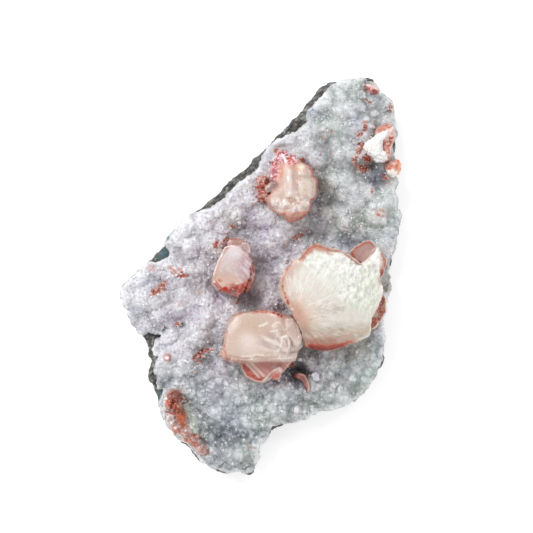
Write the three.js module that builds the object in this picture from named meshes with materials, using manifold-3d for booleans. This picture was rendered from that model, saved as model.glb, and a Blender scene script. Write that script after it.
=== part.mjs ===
// Red apophyllite on botryoidal chalcedony, with its basalt matrix.
//
// A hand-sized plate broken out of a basalt cavity. From the bottom up it is
//   basalt_matrix      the dark rock slab, flat underneath, a ledge of it showing beyond the crust on one side
//   chalcedony_crust   the grey-blue crust of rounded quartz-like lumps that lined the cavity
//   crystals           apophyllite crystals and clusters of them, each rooted on the crust
// Everything is in millimetres, +Z up, with the origin under the middle of the plate on the plane it rests on.
// Plan positions are laid out in plan units, x to the right and y down the page, and turned into millimetres below.

import * as THREE from "three";
import { mergeVertices } from "three/addons/utils/BufferGeometryUtils.js";
import Module from "manifold-3d";

// ---- driving dimensions -------------------------------------------------------------------------------------------
const PLAN_UNIT = 0.3; // millimetres per plan unit: the plate is 403 units, 121 mm, long
const PLAN_ORIGIN = [260.575, 277.098]; // plan point above the part's origin
const EYE_POINT = [266.5, 266.5]; // plan point that tall pieces are foreshortened towards
const EYE_HEIGHT = 600; // mm from the crust's mean level to the eye that the plan was drawn from
const CRUST_LEVEL = 15.0; // mean height of the crust's top above the plane that the plate rests on
const INTERFACE_LEVEL = 9.4; // mean height of the basalt's top under the crust
const INTERFACE_FOLLOW = 0.22; // share of the crust's relief that the basalt's top follows
const LUMP_CELL = 29; // plan units between the crust's broad rounded lumps
const LUMP_RADIUS = 8.5; // mm, their radius of curvature
const EDGE_DROP = 2.4; // the crust's top bends down by this at its rim
const EDGE_REACH = 6; // plan units over which it does
const LEAST_RIM = 1.5; // least crust thickness at the rim
const SEAT_GAP = 0.3; // clear gap between pieces that touch
const SURFACE_STEP = 4.2; // mm between points of the crust's and the basalt's surfaces
const BASE_SCALE = 0.9; // mean size of the flat base against the slab's outline

// ---- outlines in plan units -----------------------------------------------------------------------------------------
// The outlines are drawn as the eye sees them. What lies at height h against the crust's level, below it here, is really
// this much further from the eye point.
const drawnOut = (ring, h) =>
  ring.map(([x, y]) => [EYE_POINT[0] + (x - EYE_POINT[0]) * (1 - h / EYE_HEIGHT), EYE_POINT[1] + (y - EYE_POINT[1]) * (1 - h / EYE_HEIGHT)]);
const CRUST_OUTLINE = drawnOut([
  [338, 82], [345, 80.8], [353, 79.8], [360, 78.8], [364.4, 78.6], [366.2, 81.6], [370, 82.6], [374.2, 82.8],
  [377, 85.5], [379, 90.5], [382.4, 95], [387, 97.6], [391.8, 101], [394.6, 106], [394, 113], [394.4, 120.5],
  [396.2, 128], [396.8, 133], [395.8, 137.5], [393, 141.5], [392.4, 147.5], [392.8, 152.5], [395.4, 156.5],
  [396.8, 163], [396.4, 171], [396.6, 178], [396.4, 184], [393.4, 188], [393.4, 194], [396.4, 198.5], [396.4, 205],
  [396.8, 210], [400.4, 215.5], [399, 221], [398, 227], [398.6, 233.5], [396.6, 241], [393.4, 248], [392, 254.5],
  [389.6, 258.8], [389.2, 263.6], [389.8, 269], [388.8, 275], [389.8, 281], [391.6, 287], [389, 292.5], [386.4, 298],
  [385.4, 305], [385.2, 312], [382.6, 318.5], [382.6, 325], [384.2, 333], [384.8, 341], [383.6, 349], [382.6, 356.4],
  [381.6, 359.6], [378.4, 364.4], [377.4, 369.6], [375.6, 374.6], [373, 380], [370, 386.5], [364.4, 390.4],
  [362.4, 394], [357, 398.6], [352, 400.6], [349, 403.4], [342, 406.6], [334, 408.6], [325.5, 409.6], [318.5, 411.6],
  [311, 415.6], [304, 419], [297, 420.8], [290, 422.6], [284.6, 423.4], [277.6, 424.6], [272.4, 426.2], [270, 431.4],
  [267, 436], [263.4, 440.6], [259.2, 444.6], [257.6, 449.6], [258, 456], [257, 462], [254.6, 468.6], [250.8, 472.4],
  [244, 472.6], [236, 472], [228.6, 472.6], [222, 470], [215.4, 468.6], [208, 465.4], [202.4, 462], [198, 456.5],
  [193.6, 451.2], [190.4, 446.4], [183, 441], [176.4, 434.8], [171, 429.6], [167, 424], [164.2, 418.5], [161.4, 413],
  [159.4, 407.4], [162, 396], [162.8, 390.2], [157.2, 388.5], [157.4, 381], [156.2, 373], [155.8, 366],
  [156.8, 360.6], [158.8, 356.4], [154.4, 353.8], [153.2, 349.5], [154, 345], [156.4, 340.6], [161.3, 335.8],
  [154.4, 333.2], [147.4, 330.8], [141.6, 334.6], [137.8, 332], [135, 327.6], [131.8, 320], [127.2, 312],
  [123.4, 304.5], [121.2, 297.5], [120.8, 291], [123, 286.5], [127, 283], [131, 278.6], [136, 273.4], [141.5, 268],
  [147, 262.8], [155, 263.5], [162, 260], [169, 258], [171.5, 253.5], [168, 248], [164, 245], [166.5, 240],
  [171.5, 234.5], [177.5, 228.5], [184, 222], [190.5, 217], [198, 214.5], [206, 212.5], [214, 210.5], [221.5, 207.5],
  [228, 203], [232.5, 197.5], [236.5, 191.5], [241, 186], [247, 180.5], [253, 175.5], [258.5, 171], [261.5, 165],
  [263, 158], [266, 151.5], [270, 146], [275.5, 141.5], [282, 137.5], [289, 134.5], [296, 132], [302.5, 128],
  [307, 123.5], [307.5, 117], [309, 110.5], [314, 105], [319.5, 99.5], [324, 94], [330, 88.5],
], -2.4);
const BASALT_OUTLINE = drawnOut([
  [331, 81.6], [338, 81], [345, 81.5], [353, 80.8], [362, 80.2], [365.2, 77.8], [370, 77.4], [374.2, 77.8],
  [375.4, 81.5], [376, 86], [378, 91.5], [381, 96], [386, 99], [390, 102], [393, 107], [392.6, 113.5],
  [393.4, 120.5], [395, 127.5], [395.6, 133.5], [396, 139], [396.4, 144], [396.2, 150], [395.4, 154.4], [395, 159],
  [395, 166], [395, 172], [395, 181], [396.8, 187.4], [396.8, 194], [395.4, 199], [395.4, 205], [395.6, 211],
  [398, 216], [397.4, 221.5], [397, 227], [397.2, 233], [395, 240.5], [392.4, 247], [391.4, 254], [391.6, 259.4],
  [391, 264.6], [388.6, 269], [387.6, 275], [388.4, 281], [389.8, 287], [387.4, 293], [385, 300], [384, 306],
  [383.6, 312], [381.4, 318.5], [381.4, 325], [383, 333], [383.6, 341], [383, 347], [383.6, 354.6], [385.2, 358],
  [384.6, 363], [383.2, 367], [379.4, 370.2], [377, 374.4], [372.4, 380], [369.4, 386], [366.8, 390.6],
  [365.6, 394.4], [361.5, 395.6], [357.8, 399.8], [354.6, 403], [350, 401.6], [344, 403.8], [337.5, 405.6],
  [331, 407], [325, 408], [318.5, 409.6], [311, 413], [304, 417.4], [297, 419.4], [290, 421.4], [285, 424.4],
  [281, 428], [275.4, 428.8], [271.8, 432.2], [270, 434], [268.4, 437.4], [265, 441.5], [259.5, 443.6], [256, 449],
  [256.6, 456], [255.6, 462], [254.6, 468], [254.2, 473.4], [249.5, 476.6], [244, 475.6], [241, 471.6],
  [235, 470.8], [228.6, 471.6], [227.6, 474.8], [221.5, 474.2], [215, 471], [212, 466.6], [207, 464.4],
  [202.8, 463.4], [198.4, 461.8], [193.6, 455.6], [189.4, 449.6], [186.2, 444.6], [182.6, 443.4], [177, 437.6],
  [173.5, 431.6], [169.4, 427], [166, 421.6], [163.4, 416.5], [161, 411.5], [158.4, 407.4], [154, 392],
  [151.6, 387.3], [150.3, 381.7], [147.4, 378.6], [146.2, 374.6], [149, 365], [150.7, 359.4], [146.7, 353.7],
  [146, 344.5], [144.4, 339.4], [141.2, 334.4], [139.4, 330], [136, 324], [132.5, 317], [128.4, 309.6],
  [124.8, 303], [122.8, 297], [122.4, 291.6], [124.8, 287], [129, 283], [133, 278], [138, 272.5], [144, 265.6],
  [150.5, 258.6], [157, 250.8], [163.5, 243.5], [170, 236], [176, 228.6], [181, 223.4], [188.5, 217], [196.5, 210],
  [204.5, 203.8], [212, 197], [218.5, 191.4], [225, 184.2], [231.5, 178.6], [238, 172.4], [245, 167], [252, 161],
  [259.4, 153.4], [264.6, 148.4], [270, 143.6], [276.4, 136], [283, 129.8], [290, 122.8], [296.8, 116.2],
  [301.4, 111.6], [305.6, 106], [309.4, 99.6], [313.6, 94.6], [318, 89.6], [323, 84.6], [327, 82.6],
], -5.6);

// Swells and hollows of the crust: plan x, plan y, height in mm, spread in plan units.
const RELIEF = [
  [345, 110, 1.6, 16], [383, 110, 0.8, 10], [330, 135, -0.9, 9], [318, 128, 1.0, 9], [305, 143, 1.4, 10],
  [355, 130, -0.8, 8], [374, 150, 1.0, 9], [368, 167, -3.6, 6.5], [352, 150, 1.0, 7], [385, 205, 1.0, 12],
  [352, 212, 1.5, 9], [365, 235, -1.2, 10], [378, 180, -1.0, 8], [320, 190, -1.8, 9], [318, 215, -1.8, 9],
  [300, 238, -1.0, 7], [285, 228, 1.6, 10], [258, 190, -1.0, 7], [255, 235, -1.8, 9], [256, 265, -2.2, 9],
  [249, 298, -3.0, 9], [270, 262, -0.6, 8], [280, 290, 0.8, 7], [232, 225, 0.6, 9], [200, 232, 1.4, 12],
  [180, 240, 1.0, 10], [245, 205, 0.8, 10], [195, 262, -0.8, 8], [182, 270, 1.0, 7], [160, 290, -1.0, 9],
  [140, 300, 0.8, 10], [210, 318, 2.0, 13], [185, 300, -0.5, 7], [180, 325, -1.0, 7], [165, 340, 0.5, 7],
  [185, 350, 1.2, 10], [208, 362, -2.2, 7], [180, 380, 1.2, 9], [178, 403, -2.6, 7], [165, 400, 0.8, 5],
  [172, 420, 1.0, 6], [188, 438, 0.9, 6], [225, 385, 0.8, 10], [240, 400, 0.8, 10], [225, 436, -1.6, 10],
  [205, 430, -1.0, 8], [275, 400, 0.8, 10], [297, 372, -4.0, 8], [320, 385, 0.8, 9], [312, 350, -1.2, 8],
  [345, 365, 1.2, 12], [340, 395, 0.5, 9], [360, 385, -0.5, 7], [232, 455, 0.6, 8],
];

// ---- plan to millimetres ----------------------------------------------------------------------------------------------
const flat = ([px, py], z) => [(px - PLAN_ORIGIN[0]) * PLAN_UNIT, (PLAN_ORIGIN[1] - py) * PLAN_UNIT, z];
// h is a height above the crust's mean level. What stands above the crust looks larger on the plan, so it is drawn in
// towards the eye point.
const tall = ([px, py, h]) => {
  const k = 1 - h / EYE_HEIGHT;
  return flat([EYE_POINT[0] + (px - EYE_POINT[0]) * k, EYE_POINT[1] + (py - EYE_POINT[1]) * k], CRUST_LEVEL + h);
};

// ---- surfaces ---------------------------------------------------------------------------------------------------------
function relief(px, py) {
  let z = 0;
  for (const [x, y, a, s] of RELIEF) z += a * Math.exp(-((px - x) ** 2 + (py - y) ** 2) / (2 * s * s));
  return z;
}
function rimDistance(px, py, ring) {
  let best = Infinity;
  for (let i = 0; i < ring.length; i++) {
    const [ax, ay] = ring[i], [bx, by] = ring[(i + 1) % ring.length];
    const dx = bx - ax, dy = by - ay;
    const t = Math.max(0, Math.min(1, ((px - ax) * dx + (py - ay) * dy) / (dx * dx + dy * dy)));
    best = Math.min(best, Math.hypot(px - ax - t * dx, py - ay - t * dy));
  }
  return best;
}
function inside(px, py, ring) {
  let odd = false;
  for (let i = 0, j = ring.length - 1; i < ring.length; j = i++) {
    const [ax, ay] = ring[i], [bx, by] = ring[j];
    if (ay > py !== by > py && px < ((bx - ax) * (py - ay)) / (by - ay) + ax) odd = !odd;
  }
  return odd;
}
// Rounded lumps, one to each cell of a staggered grid, each a cap of a sphere.
const chance = (i, j, k) => {
  const v = Math.sin(i * 127.1 + j * 311.7 + k * 74.7) * 43758.5453;
  return v - Math.floor(v);
};
function lumps(px, py) {
  const row = Math.floor(py / LUMP_CELL);
  let best = -Infinity;
  for (let j = row - 2; j <= row + 2; j++) {
    const shift = j & 1 ? 0.5 : 0;
    const column = Math.floor(px / LUMP_CELL - shift);
    for (let i = column - 2; i <= column + 2; i++) {
      const x = (i + shift + 0.2 + 0.6 * chance(i, j, 0)) * LUMP_CELL, y = (j + 0.2 + 0.6 * chance(i, j, 1)) * LUMP_CELL;
      const d = Math.hypot(px - x, py - y) * PLAN_UNIT;
      best = Math.max(best, 0.8 * chance(i, j, 2) - (d * d) / (2 * LUMP_RADIUS));
    }
  }
  return best;
}
const interfaceZ = (px, py) => INTERFACE_LEVEL + INTERFACE_FOLLOW * relief(px, py);
const crustZ = (px, py) =>
  Math.max(
    CRUST_LEVEL + relief(px, py) + lumps(px, py) - EDGE_DROP * Math.exp(-rimDistance(px, py, CRUST_OUTLINE) / EDGE_REACH),
    interfaceZ(px, py) + SEAT_GAP + LEAST_RIM,
  );

// ---- triangulation of a plan outline with points inside it -------------------------------------------------------------
function delaunay(points) {
  const far = 1e4;
  const all = [...points, [-far, -far], [far, -far], [0, far]];
  const n = points.length;
  let triangles = [[n, n + 1, n + 2]];
  const circle = (t) => {
    const [[ax, ay], [bx, by], [cx, cy]] = t.map((i) => all[i]);
    const d = 2 * (ax * (by - cy) + bx * (cy - ay) + cx * (ay - by));
    const a2 = ax * ax + ay * ay, b2 = bx * bx + by * by, c2 = cx * cx + cy * cy;
    const ux = (a2 * (by - cy) + b2 * (cy - ay) + c2 * (ay - by)) / d;
    const uy = (a2 * (cx - bx) + b2 * (ax - cx) + c2 * (bx - ax)) / d;
    return [ux, uy, (ax - ux) ** 2 + (ay - uy) ** 2];
  };
  let circles = triangles.map(circle);
  for (let i = 0; i < n; i++) {
    const [px, py] = all[i];
    const edges = new Map();
    const keep = [], keepCircles = [];
    triangles.forEach((t, k) => {
      const [ux, uy, r2] = circles[k];
      if ((px - ux) ** 2 + (py - uy) ** 2 < r2) {
        for (let e = 0; e < 3; e++) {
          const a = t[e], b = t[(e + 1) % 3];
          const back = b + "," + a;
          if (edges.has(back)) edges.delete(back);
          else edges.set(a + "," + b, [a, b]);
        }
      } else {
        keep.push(t);
        keepCircles.push(circles[k]);
      }
    });
    for (const [a, b] of edges.values()) {
      keep.push([a, b, i]);
      keepCircles.push(circle([a, b, i]));
    }
    triangles = keep;
    circles = keepCircles;
  }
  return triangles.filter((t) => t.every((i) => i < n));
}
// Outline points first, then a staggered grid inside; every triangle turns the same way.
function plate(ring, step) {
  const points = ring.map((p) => [...p]);
  const h = step / PLAN_UNIT;
  let row = 0;
  for (let y = 70; y < 480; y += h * 0.866, row++)
    for (let x = 110 + (row % 2) * (h / 2); x < 410; x += h) {
      const jx = x + 0.13 * h * Math.sin(12.9 * x + 78.2 * y), jy = y + 0.13 * h * Math.sin(39.3 * x + 11.1 * y);
      if (inside(jx, jy, ring) && rimDistance(jx, jy, ring) > h * 0.42) points.push([jx, jy]);
    }
  const triangles = delaunay(points)
    .filter((t) => {
      const cx = (points[t[0]][0] + points[t[1]][0] + points[t[2]][0]) / 3;
      const cy = (points[t[0]][1] + points[t[1]][1] + points[t[2]][1]) / 3;
      return inside(cx, cy, ring);
    })
    .map((t) => {
      const [[ax, ay], [bx, by], [cx, cy]] = t.map((i) => points[i]);
      return (bx - ax) * (cy - ay) - (by - ay) * (cx - ax) > 0 ? [t[0], t[2], t[1]] : t; // y runs down the page
    });
  return { points, triangles };
}

// ---- building solids ----------------------------------------------------------------------------------------------------
function geometry(vertices, triangles) {
  const g = new THREE.BufferGeometry();
  g.setAttribute("position", new THREE.BufferAttribute(new Float32Array(vertices.flat()), 3));
  g.setIndex(triangles.flat());
  return g;
}
const wasm = await Module();
wasm.setup();
function solid(g) {
  const bare = g.clone();
  for (const name of Object.keys(bare.attributes)) if (name !== "position") bare.deleteAttribute(name);
  const merged = mergeVertices(bare, 1e-4);
  const made = new wasm.Manifold(
    new wasm.Mesh({
      numProp: 3,
      vertProperties: new Float32Array(merged.attributes.position.array),
      triVerts: new Uint32Array(merged.index.array),
    }),
  );
  if (made.volume() <= 0) throw new Error("a solid is inside out or empty: " + made.volume());
  return made;
}
function geometryOf(manifold) {
  const m = manifold.getMesh();
  const v = [];
  for (let i = 0; i < m.numVert; i++) v.push(Array.from(m.vertProperties.subarray(i * m.numProp, i * m.numProp + 3)));
  return geometry(v, Array.from(m.triVerts));
}
const joined = (list) => list.reduce((a, b) => a.add(b));

// The crust's solid: a top that swells and dips, a rim wall with a low bulge, and an underside that follows the basalt.
// lift raises it, and with it the cut that it makes in whatever stands on it.
const crustPlate = plate(CRUST_OUTLINE, SURFACE_STEP);
function crustSolid() {
  const { points, triangles } = crustPlate;
  const n = points.length, r = CRUST_OUTLINE.length;
  const top = points.map((p) => flat(p, crustZ(...p)));
  const scaled = (p, s) => [PLAN_ORIGIN[0] + (p[0] - PLAN_ORIGIN[0]) * s, PLAN_ORIGIN[1] + (p[1] - PLAN_ORIGIN[1]) * s];
  const wall = CRUST_OUTLINE.map((p) => flat(scaled(p, 1.002), interfaceZ(...p) + SEAT_GAP + 0.45 * (crustZ(...p) - interfaceZ(...p))));
  const bottom = points.map((p, i) => flat(i < r ? scaled(p, 0.993) : p, interfaceZ(...p) + SEAT_GAP));
  const faces = triangles.map((t) => [...t]);
  for (const [a, b, c] of triangles) faces.push([n + r + a, n + r + c, n + r + b]);
  for (let i = 0; i < r; i++) {
    const j = (i + 1) % r;
    faces.push([i, j, n + j], [i, n + j, n + i]);
    faces.push([n + i, n + j, n + r + j], [n + i, n + r + j, n + r + i]);
  }
  return solid(geometry([...top, ...wall, ...bottom], faces));
}

// The basalt: its top follows the interface, its broken sides lean in unevenly, and its base is flat.
function basaltSolid() {
  const { points, triangles } = plate(BASALT_OUTLINE, SURFACE_STEP * 1.15);
  const n = points.length, r = BASALT_OUTLINE.length;
  const scaled = (p, s) => [PLAN_ORIGIN[0] + (p[0] - PLAN_ORIGIN[0]) * s, PLAN_ORIGIN[1] + (p[1] - PLAN_ORIGIN[1]) * s];
  const chip = (i, k) => Math.sin(i * 2.39 + k * 1.7) * 0.5 + Math.sin(i * 0.91 + k * 3.1) * 0.5;
  const sway = (i, k) => Math.sin((i / r) * 12.6 + k) * 0.6 + Math.sin((i / r) * 31.4 + 2 * k) * 0.4;
  const top = points.map((p, i) => flat(p, interfaceZ(...p) - (i < r ? 0.35 + 0.25 * chip(i, 0) : 0)));
  const upper = BASALT_OUTLINE.map((p, i) => flat(scaled(p, 0.998 + 0.003 * chip(i, 1)), 6.4 + 0.9 * chip(i, 2)));
  const lower = BASALT_OUTLINE.map((p, i) => flat(scaled(p, 0.972 + 0.006 * chip(i, 3) + 0.006 * sway(i, 1)), 2.6 + 0.6 * chip(i, 4) + 0.7 * sway(i, 2)));
  const base = BASALT_OUTLINE.map((p, i) => flat(scaled(p, BASE_SCALE + 0.02 * sway(i, 3) + 0.006 * chip(i, 5)), 0));
  const faces = triangles.map((t) => [...t]);
  const rings = [0, n, n + r, n + 2 * r];
  for (let k = 0; k < 3; k++)
    for (let i = 0; i < r; i++) {
      const j = (i + 1) % r, a = rings[k], b = rings[k + 1];
      faces.push([a + i, a + j, b + j], [a + i, b + j, b + i]);
    }
  const outline2d = base.map(([x, y]) => new THREE.Vector2(x, y));
  for (const [a, b, c] of THREE.ShapeUtils.triangulateShape(outline2d, [])) {
    const [p, q, s] = [base[a], base[b], base[c]];
    const turn = (q[0] - p[0]) * (s[1] - p[1]) - (q[1] - p[1]) * (s[0] - p[0]);
    const f = [rings[3] + a, rings[3] + b, rings[3] + c];
    faces.push(turn > 0 ? [f[0], f[2], f[1]] : f); // faces down
  }
  return solid(geometry([...top, ...upper, ...lower, ...base], faces));
}

// A crystal as rings of plan points from its root to its top, closed by a point in the middle of each end.
// outline runs round the widest part. Each level is [share of the outline's size, height or a function of the plan point].
function crystal(outline, levels, middle) {
  const area = outline.reduce((s, [x, y], i) => {
    const [u, v] = outline[(i + 1) % outline.length];
    return s + x * v - u * y;
  }, 0);
  const ring = area > 0 ? outline : [...outline].reverse(); // clockwise on the page, so the rings turn one way
  const n = ring.length;
  const c = middle || [ring.reduce((s, p) => s + p[0], 0) / n, ring.reduce((s, p) => s + p[1], 0) / n];
  const vertices = [];
  for (const [share, z] of levels)
    for (const [x, y] of ring) {
      const p = [c[0] + (x - c[0]) * share, c[1] + (y - c[1]) * share];
      vertices.push(tall([p[0], p[1], typeof z === "function" ? z(p[0], p[1]) : z]));
    }
  const faces = [];
  for (let k = 0; k + 1 < levels.length; k++)
    for (let i = 0; i < n; i++) {
      const j = (i + 1) % n, a = k * n, b = (k + 1) * n;
      faces.push([a + i, b + j, a + j], [a + i, b + i, b + j]);
    }
  const zAt = (z) => (typeof z === "function" ? z(c[0], c[1]) : z);
  const low = vertices.push(tall([c[0], c[1], zAt(levels[0][1])])) - 1;
  const high = vertices.push(tall([c[0], c[1], zAt(levels.at(-1)[1])])) - 1;
  const last = (levels.length - 1) * n;
  for (let i = 0; i < n; i++) {
    const j = (i + 1) % n;
    faces.push([low, i, j], [high, last + j, last + i]);
  }
  return solid(geometry(vertices, faces));
}
const dome = (cx, cy, peak, kx, ky) => (x, y) => peak - kx * (x - cx) ** 2 - ky * (y - cy) ** 2;
const slope = (cx, cy, z, gx, gy) => (x, y) => z + gx * (x - cx) + gy * (y - cy);
const under = (f, drop) => (x, y) => f(x, y) - drop;
const oval = (cx, cy, rx, ry, n = 12, turn = 0) =>
  Array.from({ length: n }, (_, i) => {
    const a = (2 * Math.PI * i) / n, x = rx * Math.cos(a), y = ry * Math.sin(a);
    return [cx + x * Math.cos(turn) - y * Math.sin(turn), cy + x * Math.sin(turn) + y * Math.cos(turn)];
  });
const ROOT = -4.6; // every crystal is drawn down to here, then cut off on the crust

// The great fan: a thick disc of fibres that spread from its lower left, with a spur and a fin grown out of its far side.
const FAN_OUTLINE = [
  [305, 346.5], [313.5, 349.5], [321, 350.6], [328, 350.9], [336, 349.6], [344, 347.3], [352, 343.6], [360.5, 340.6],
  [370.6, 335.2], [371.4, 326], [372, 318], [377, 309.5], [380.5, 302], [381.8, 294], [381.8, 286], [381.2, 277],
  [380, 268.8], [375, 262], [368, 261.5], [361, 263.5], [355, 259.5], [347.5, 254], [340, 249.5], [331, 248.8],
  [324.5, 245.6], [317.5, 243.4], [310.5, 245.4], [303.3, 251.5], [298, 258.6], [291, 262], [284.6, 269.6],
  [280, 278.5], [277.6, 287], [278.6, 294.6], [283.6, 301.6], [290.4, 309.6], [297, 320.8], [301.5, 332],
];
const fanTop = (x, y) => {
  const along = ((x - 297) * 0.78 - (y - 317) * 0.62) / 80; // from the foot of the fibres to their far ends
  const across = ((x - 297) * 0.62 + (y - 317) * 0.78) / 55;
  return 15.5 + 7.4 * Math.sin(Math.min(1.9, Math.max(-0.3, 0.35 + 1.55 * along))) - 3.2 * across ** 2 - (y > 318 ? 0.0058 * (y - 318) ** 2 : 0);
};
function fanSolid() {
  return joined([
    crystal(
      FAN_OUTLINE,
      [[0.74, ROOT], [0.84, 2], [0.94, 9], [1, under(fanTop, 3.4)], [0.985, under(fanTop, 1.4)], [0.92, fanTop], [0.68, fanTop], [0.36, fanTop]],
      [326, 300],
    ),
    crystal(
      [[350, 252], [355.3, 246.3], [364.5, 241], [371.6, 241], [377, 246], [383, 253.5], [386.4, 260.6], [386, 268], [383, 276], [376, 279], [364, 275], [354, 263]],
      [[0.8, ROOT], [0.94, 3], [1, 11], [0.86, 13.4], [0.4, 14.2]],
    ),
    crystal(
      [[375, 292], [382.9, 295.3], [385.4, 300.4], [385.2, 311.6], [380, 321.8], [371.6, 328.5], [362, 326], [364, 305]],
      [[0.8, ROOT], [0.96, 2.5], [1, 7.5], [0.85, 9.4], [0.4, 10]],
    ),
  ]);
}

// The block: a broad blunt crystal with a bevelled upper face, and a redder wedge grown out from under its front.
const BLOCK_OUTLINE = [
  [220, 352], [223.4, 346.5], [224.6, 334], [228.6, 322.4], [235.5, 313.8], [244, 311.6], [254, 310.8], [262, 309.8],
  [270, 309.8], [279, 312], [286, 314.5], [292, 315], [296.5, 320], [300, 326], [303.5, 335], [304.5, 341], [303, 346.5],
  [298.4, 351], [294.6, 361.4], [281.8, 362.2], [264, 361.5], [252, 362.8], [241, 363], [230, 362.4], [222, 358],
];
const blockTop = (x, y) => 12.6 - 0.0011 * (x - 252) ** 2 - 0.0012 * (y - 338) ** 2 - (x > 280 ? 0.09 * (x - 280) : 0);
function blockSolid() {
  return joined([
    crystal(
      BLOCK_OUTLINE,
      [[0.8, ROOT], [0.93, 1.5], [0.98, 5], [1, under(blockTop, 3.4)], [0.985, under(blockTop, 1.6)], [0.9, blockTop], [0.6, blockTop], [0.3, blockTop]],
      [262, 337],
    ),
    crystal(
      [[240, 358], [241, 368.6], [246, 377.3], [256, 382.4], [265.3, 383], [271.6, 379], [278, 379.2], [284.4, 371], [292, 362.5], [288, 352], [262, 348]],
      [[0.8, ROOT], [0.97, 0.5], [1, slope(262, 366, 4.4, 0, -0.06)], [0.88, slope(262, 366, 5.8, 0, -0.08)], [0.4, slope(262, 366, 6.2, 0, -0.08)]],
    ),
  ]);
}

// The left crystal: a leaning rectangular prism with a lower rear step.
function leftSolid() {
  const top = slope(232, 268, 9.2, -0.045, -0.02);
  return joined([
    crystal(
      [[224.5, 247], [232, 244.8], [241, 246.5], [248.5, 253], [253.6, 262.5], [251.5, 276.5], [245, 289.5], [239, 298], [233, 295.5], [219, 291.5], [211, 284], [213, 275], [217.5, 261]],
      [[0.82, ROOT], [0.95, 0.5], [1, under(top, 2.6)], [0.97, under(top, 1.0)], [0.88, top], [0.45, top]],
    ),
    crystal(
      [[226.5, 243], [230, 238.8], [237, 238], [246, 241.2], [250.5, 247], [250, 256], [229, 256]],
      [[0.82, ROOT], [1, 0.5], [1, 5], [0.86, 6.2], [0.4, 6.5]],
    ),
  ]);
}

// The upper cluster: one lumpy body with a ridge down it, a raised face on its right, a salmon foot, a cap of small crystals
// at its head, a clear chip and a red patch at its left foot.
const UPPER_OUTLINE = [
  [286.5, 158], [292, 158.5], [298, 160.5], [304.5, 163.8], [309.5, 166.2], [313.6, 170.8], [313.2, 176], [317, 178.4],
  [318.4, 182], [317.2, 187], [317, 195], [315.6, 198.6], [312.6, 200.4], [311, 205], [310, 210.6], [306.2, 215.4],
  [302, 218.8], [296.6, 221.2], [291, 222.8], [288.4, 222.2], [285.2, 219], [280.8, 215.4], [275.6, 213.4],
  [271.6, 210.6], [268.6, 206.6], [266.4, 201.6], [265.6, 199.2], [271.8, 192.4], [278.4, 186.2], [276, 182.6],
  [272.4, 179.6], [270.8, 177], [272.5, 172], [274.5, 166], [276.5, 161], [281, 158],
];
const upperTop = (x, y) => 11.6 - 0.0075 * (x - 293) ** 2 - 0.003 * (y - 190) ** 2;
const raised = (f, lift) => (x, y) => f(x, y) + lift;
function upperSolid() {
  return joined([
    crystal(UPPER_OUTLINE, [[0.8, ROOT], [0.95, 1], [1, under(upperTop, 3.2)], [0.94, under(upperTop, 1.1)], [0.62, upperTop]], [292, 190]),
    crystal(
      [[284.5, 163], [290.5, 163.5], [293.4, 172], [293, 182], [293.6, 196], [289, 200], [284, 196], [283, 182], [282.5, 172]],
      [[0.9, 5], [1, raised(upperTop, 0)], [0.55, raised(upperTop, 1.7)]],
    ),
    crystal(
      [[297, 178], [303, 176.4], [310, 178.6], [313.6, 183], [312.8, 192], [309, 199], [302, 200], [297.4, 194], [296, 186]],
      [[0.9, 5], [1, raised(upperTop, -0.1)], [0.75, raised(upperTop, 1.4)]],
    ),
    crystal(
      [[299, 167], [304.5, 164.6], [310, 167], [313.2, 171.4], [312.6, 176], [306, 177.6], [300, 175.4]],
      [[0.9, 4], [1, raised(upperTop, -0.6)], [0.6, raised(upperTop, 1.3)]],
    ),
    ...[[283.7, 205.2, 5, 0.9], [294.9, 208.5, 5.6, 0.9], [305, 204.4, 4.8, 1], [275.6, 202.6, 5.2, 0.8]].map(([x, y, r, lift]) =>
      crystal(oval(x, y, r, r, 8), [[0.9, 3], [1, raised(upperTop, -0.7)], [0.6, raised(upperTop, lift)]]),
    ),
    crystal(oval(284.4, 158.6, 12.4, 8.4, 12), [[0.8, ROOT], [0.98, 1], [1, 4.6], [0.75, 7.4]]),
    crystal(oval(274.4, 172, 4.6, 9.4, 8, 0.2), [[0.8, ROOT], [1, 4], [0.7, 6.6]]),
    crystal([[266, 186], [271, 182], [277, 182.6], [278, 186.4], [271.8, 191.6], [266.6, 193.5], [264.5, 190]], [[0.9, ROOT], [1, 3.6], [0.8, 5.2]]),
    crystal(
      [[256.5, 181], [259, 177], [264, 176], [268.2, 179], [268, 186], [266, 190], [259.5, 189.4], [258, 185]],
      [[0.82, ROOT], [1, 0.6], [0.9, 2.8], [0.5, 3.8]],
    ),
    crystal(
      [[258.6, 190], [263, 187], [268, 189], [271, 193], [268.6, 197], [264.5, 202.4], [261.6, 202.6], [259.4, 198.4]],
      [[0.82, ROOT], [1, 0.6], [0.9, 2.6], [0.5, 3.6]],
    ),
  ]);
}

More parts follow.
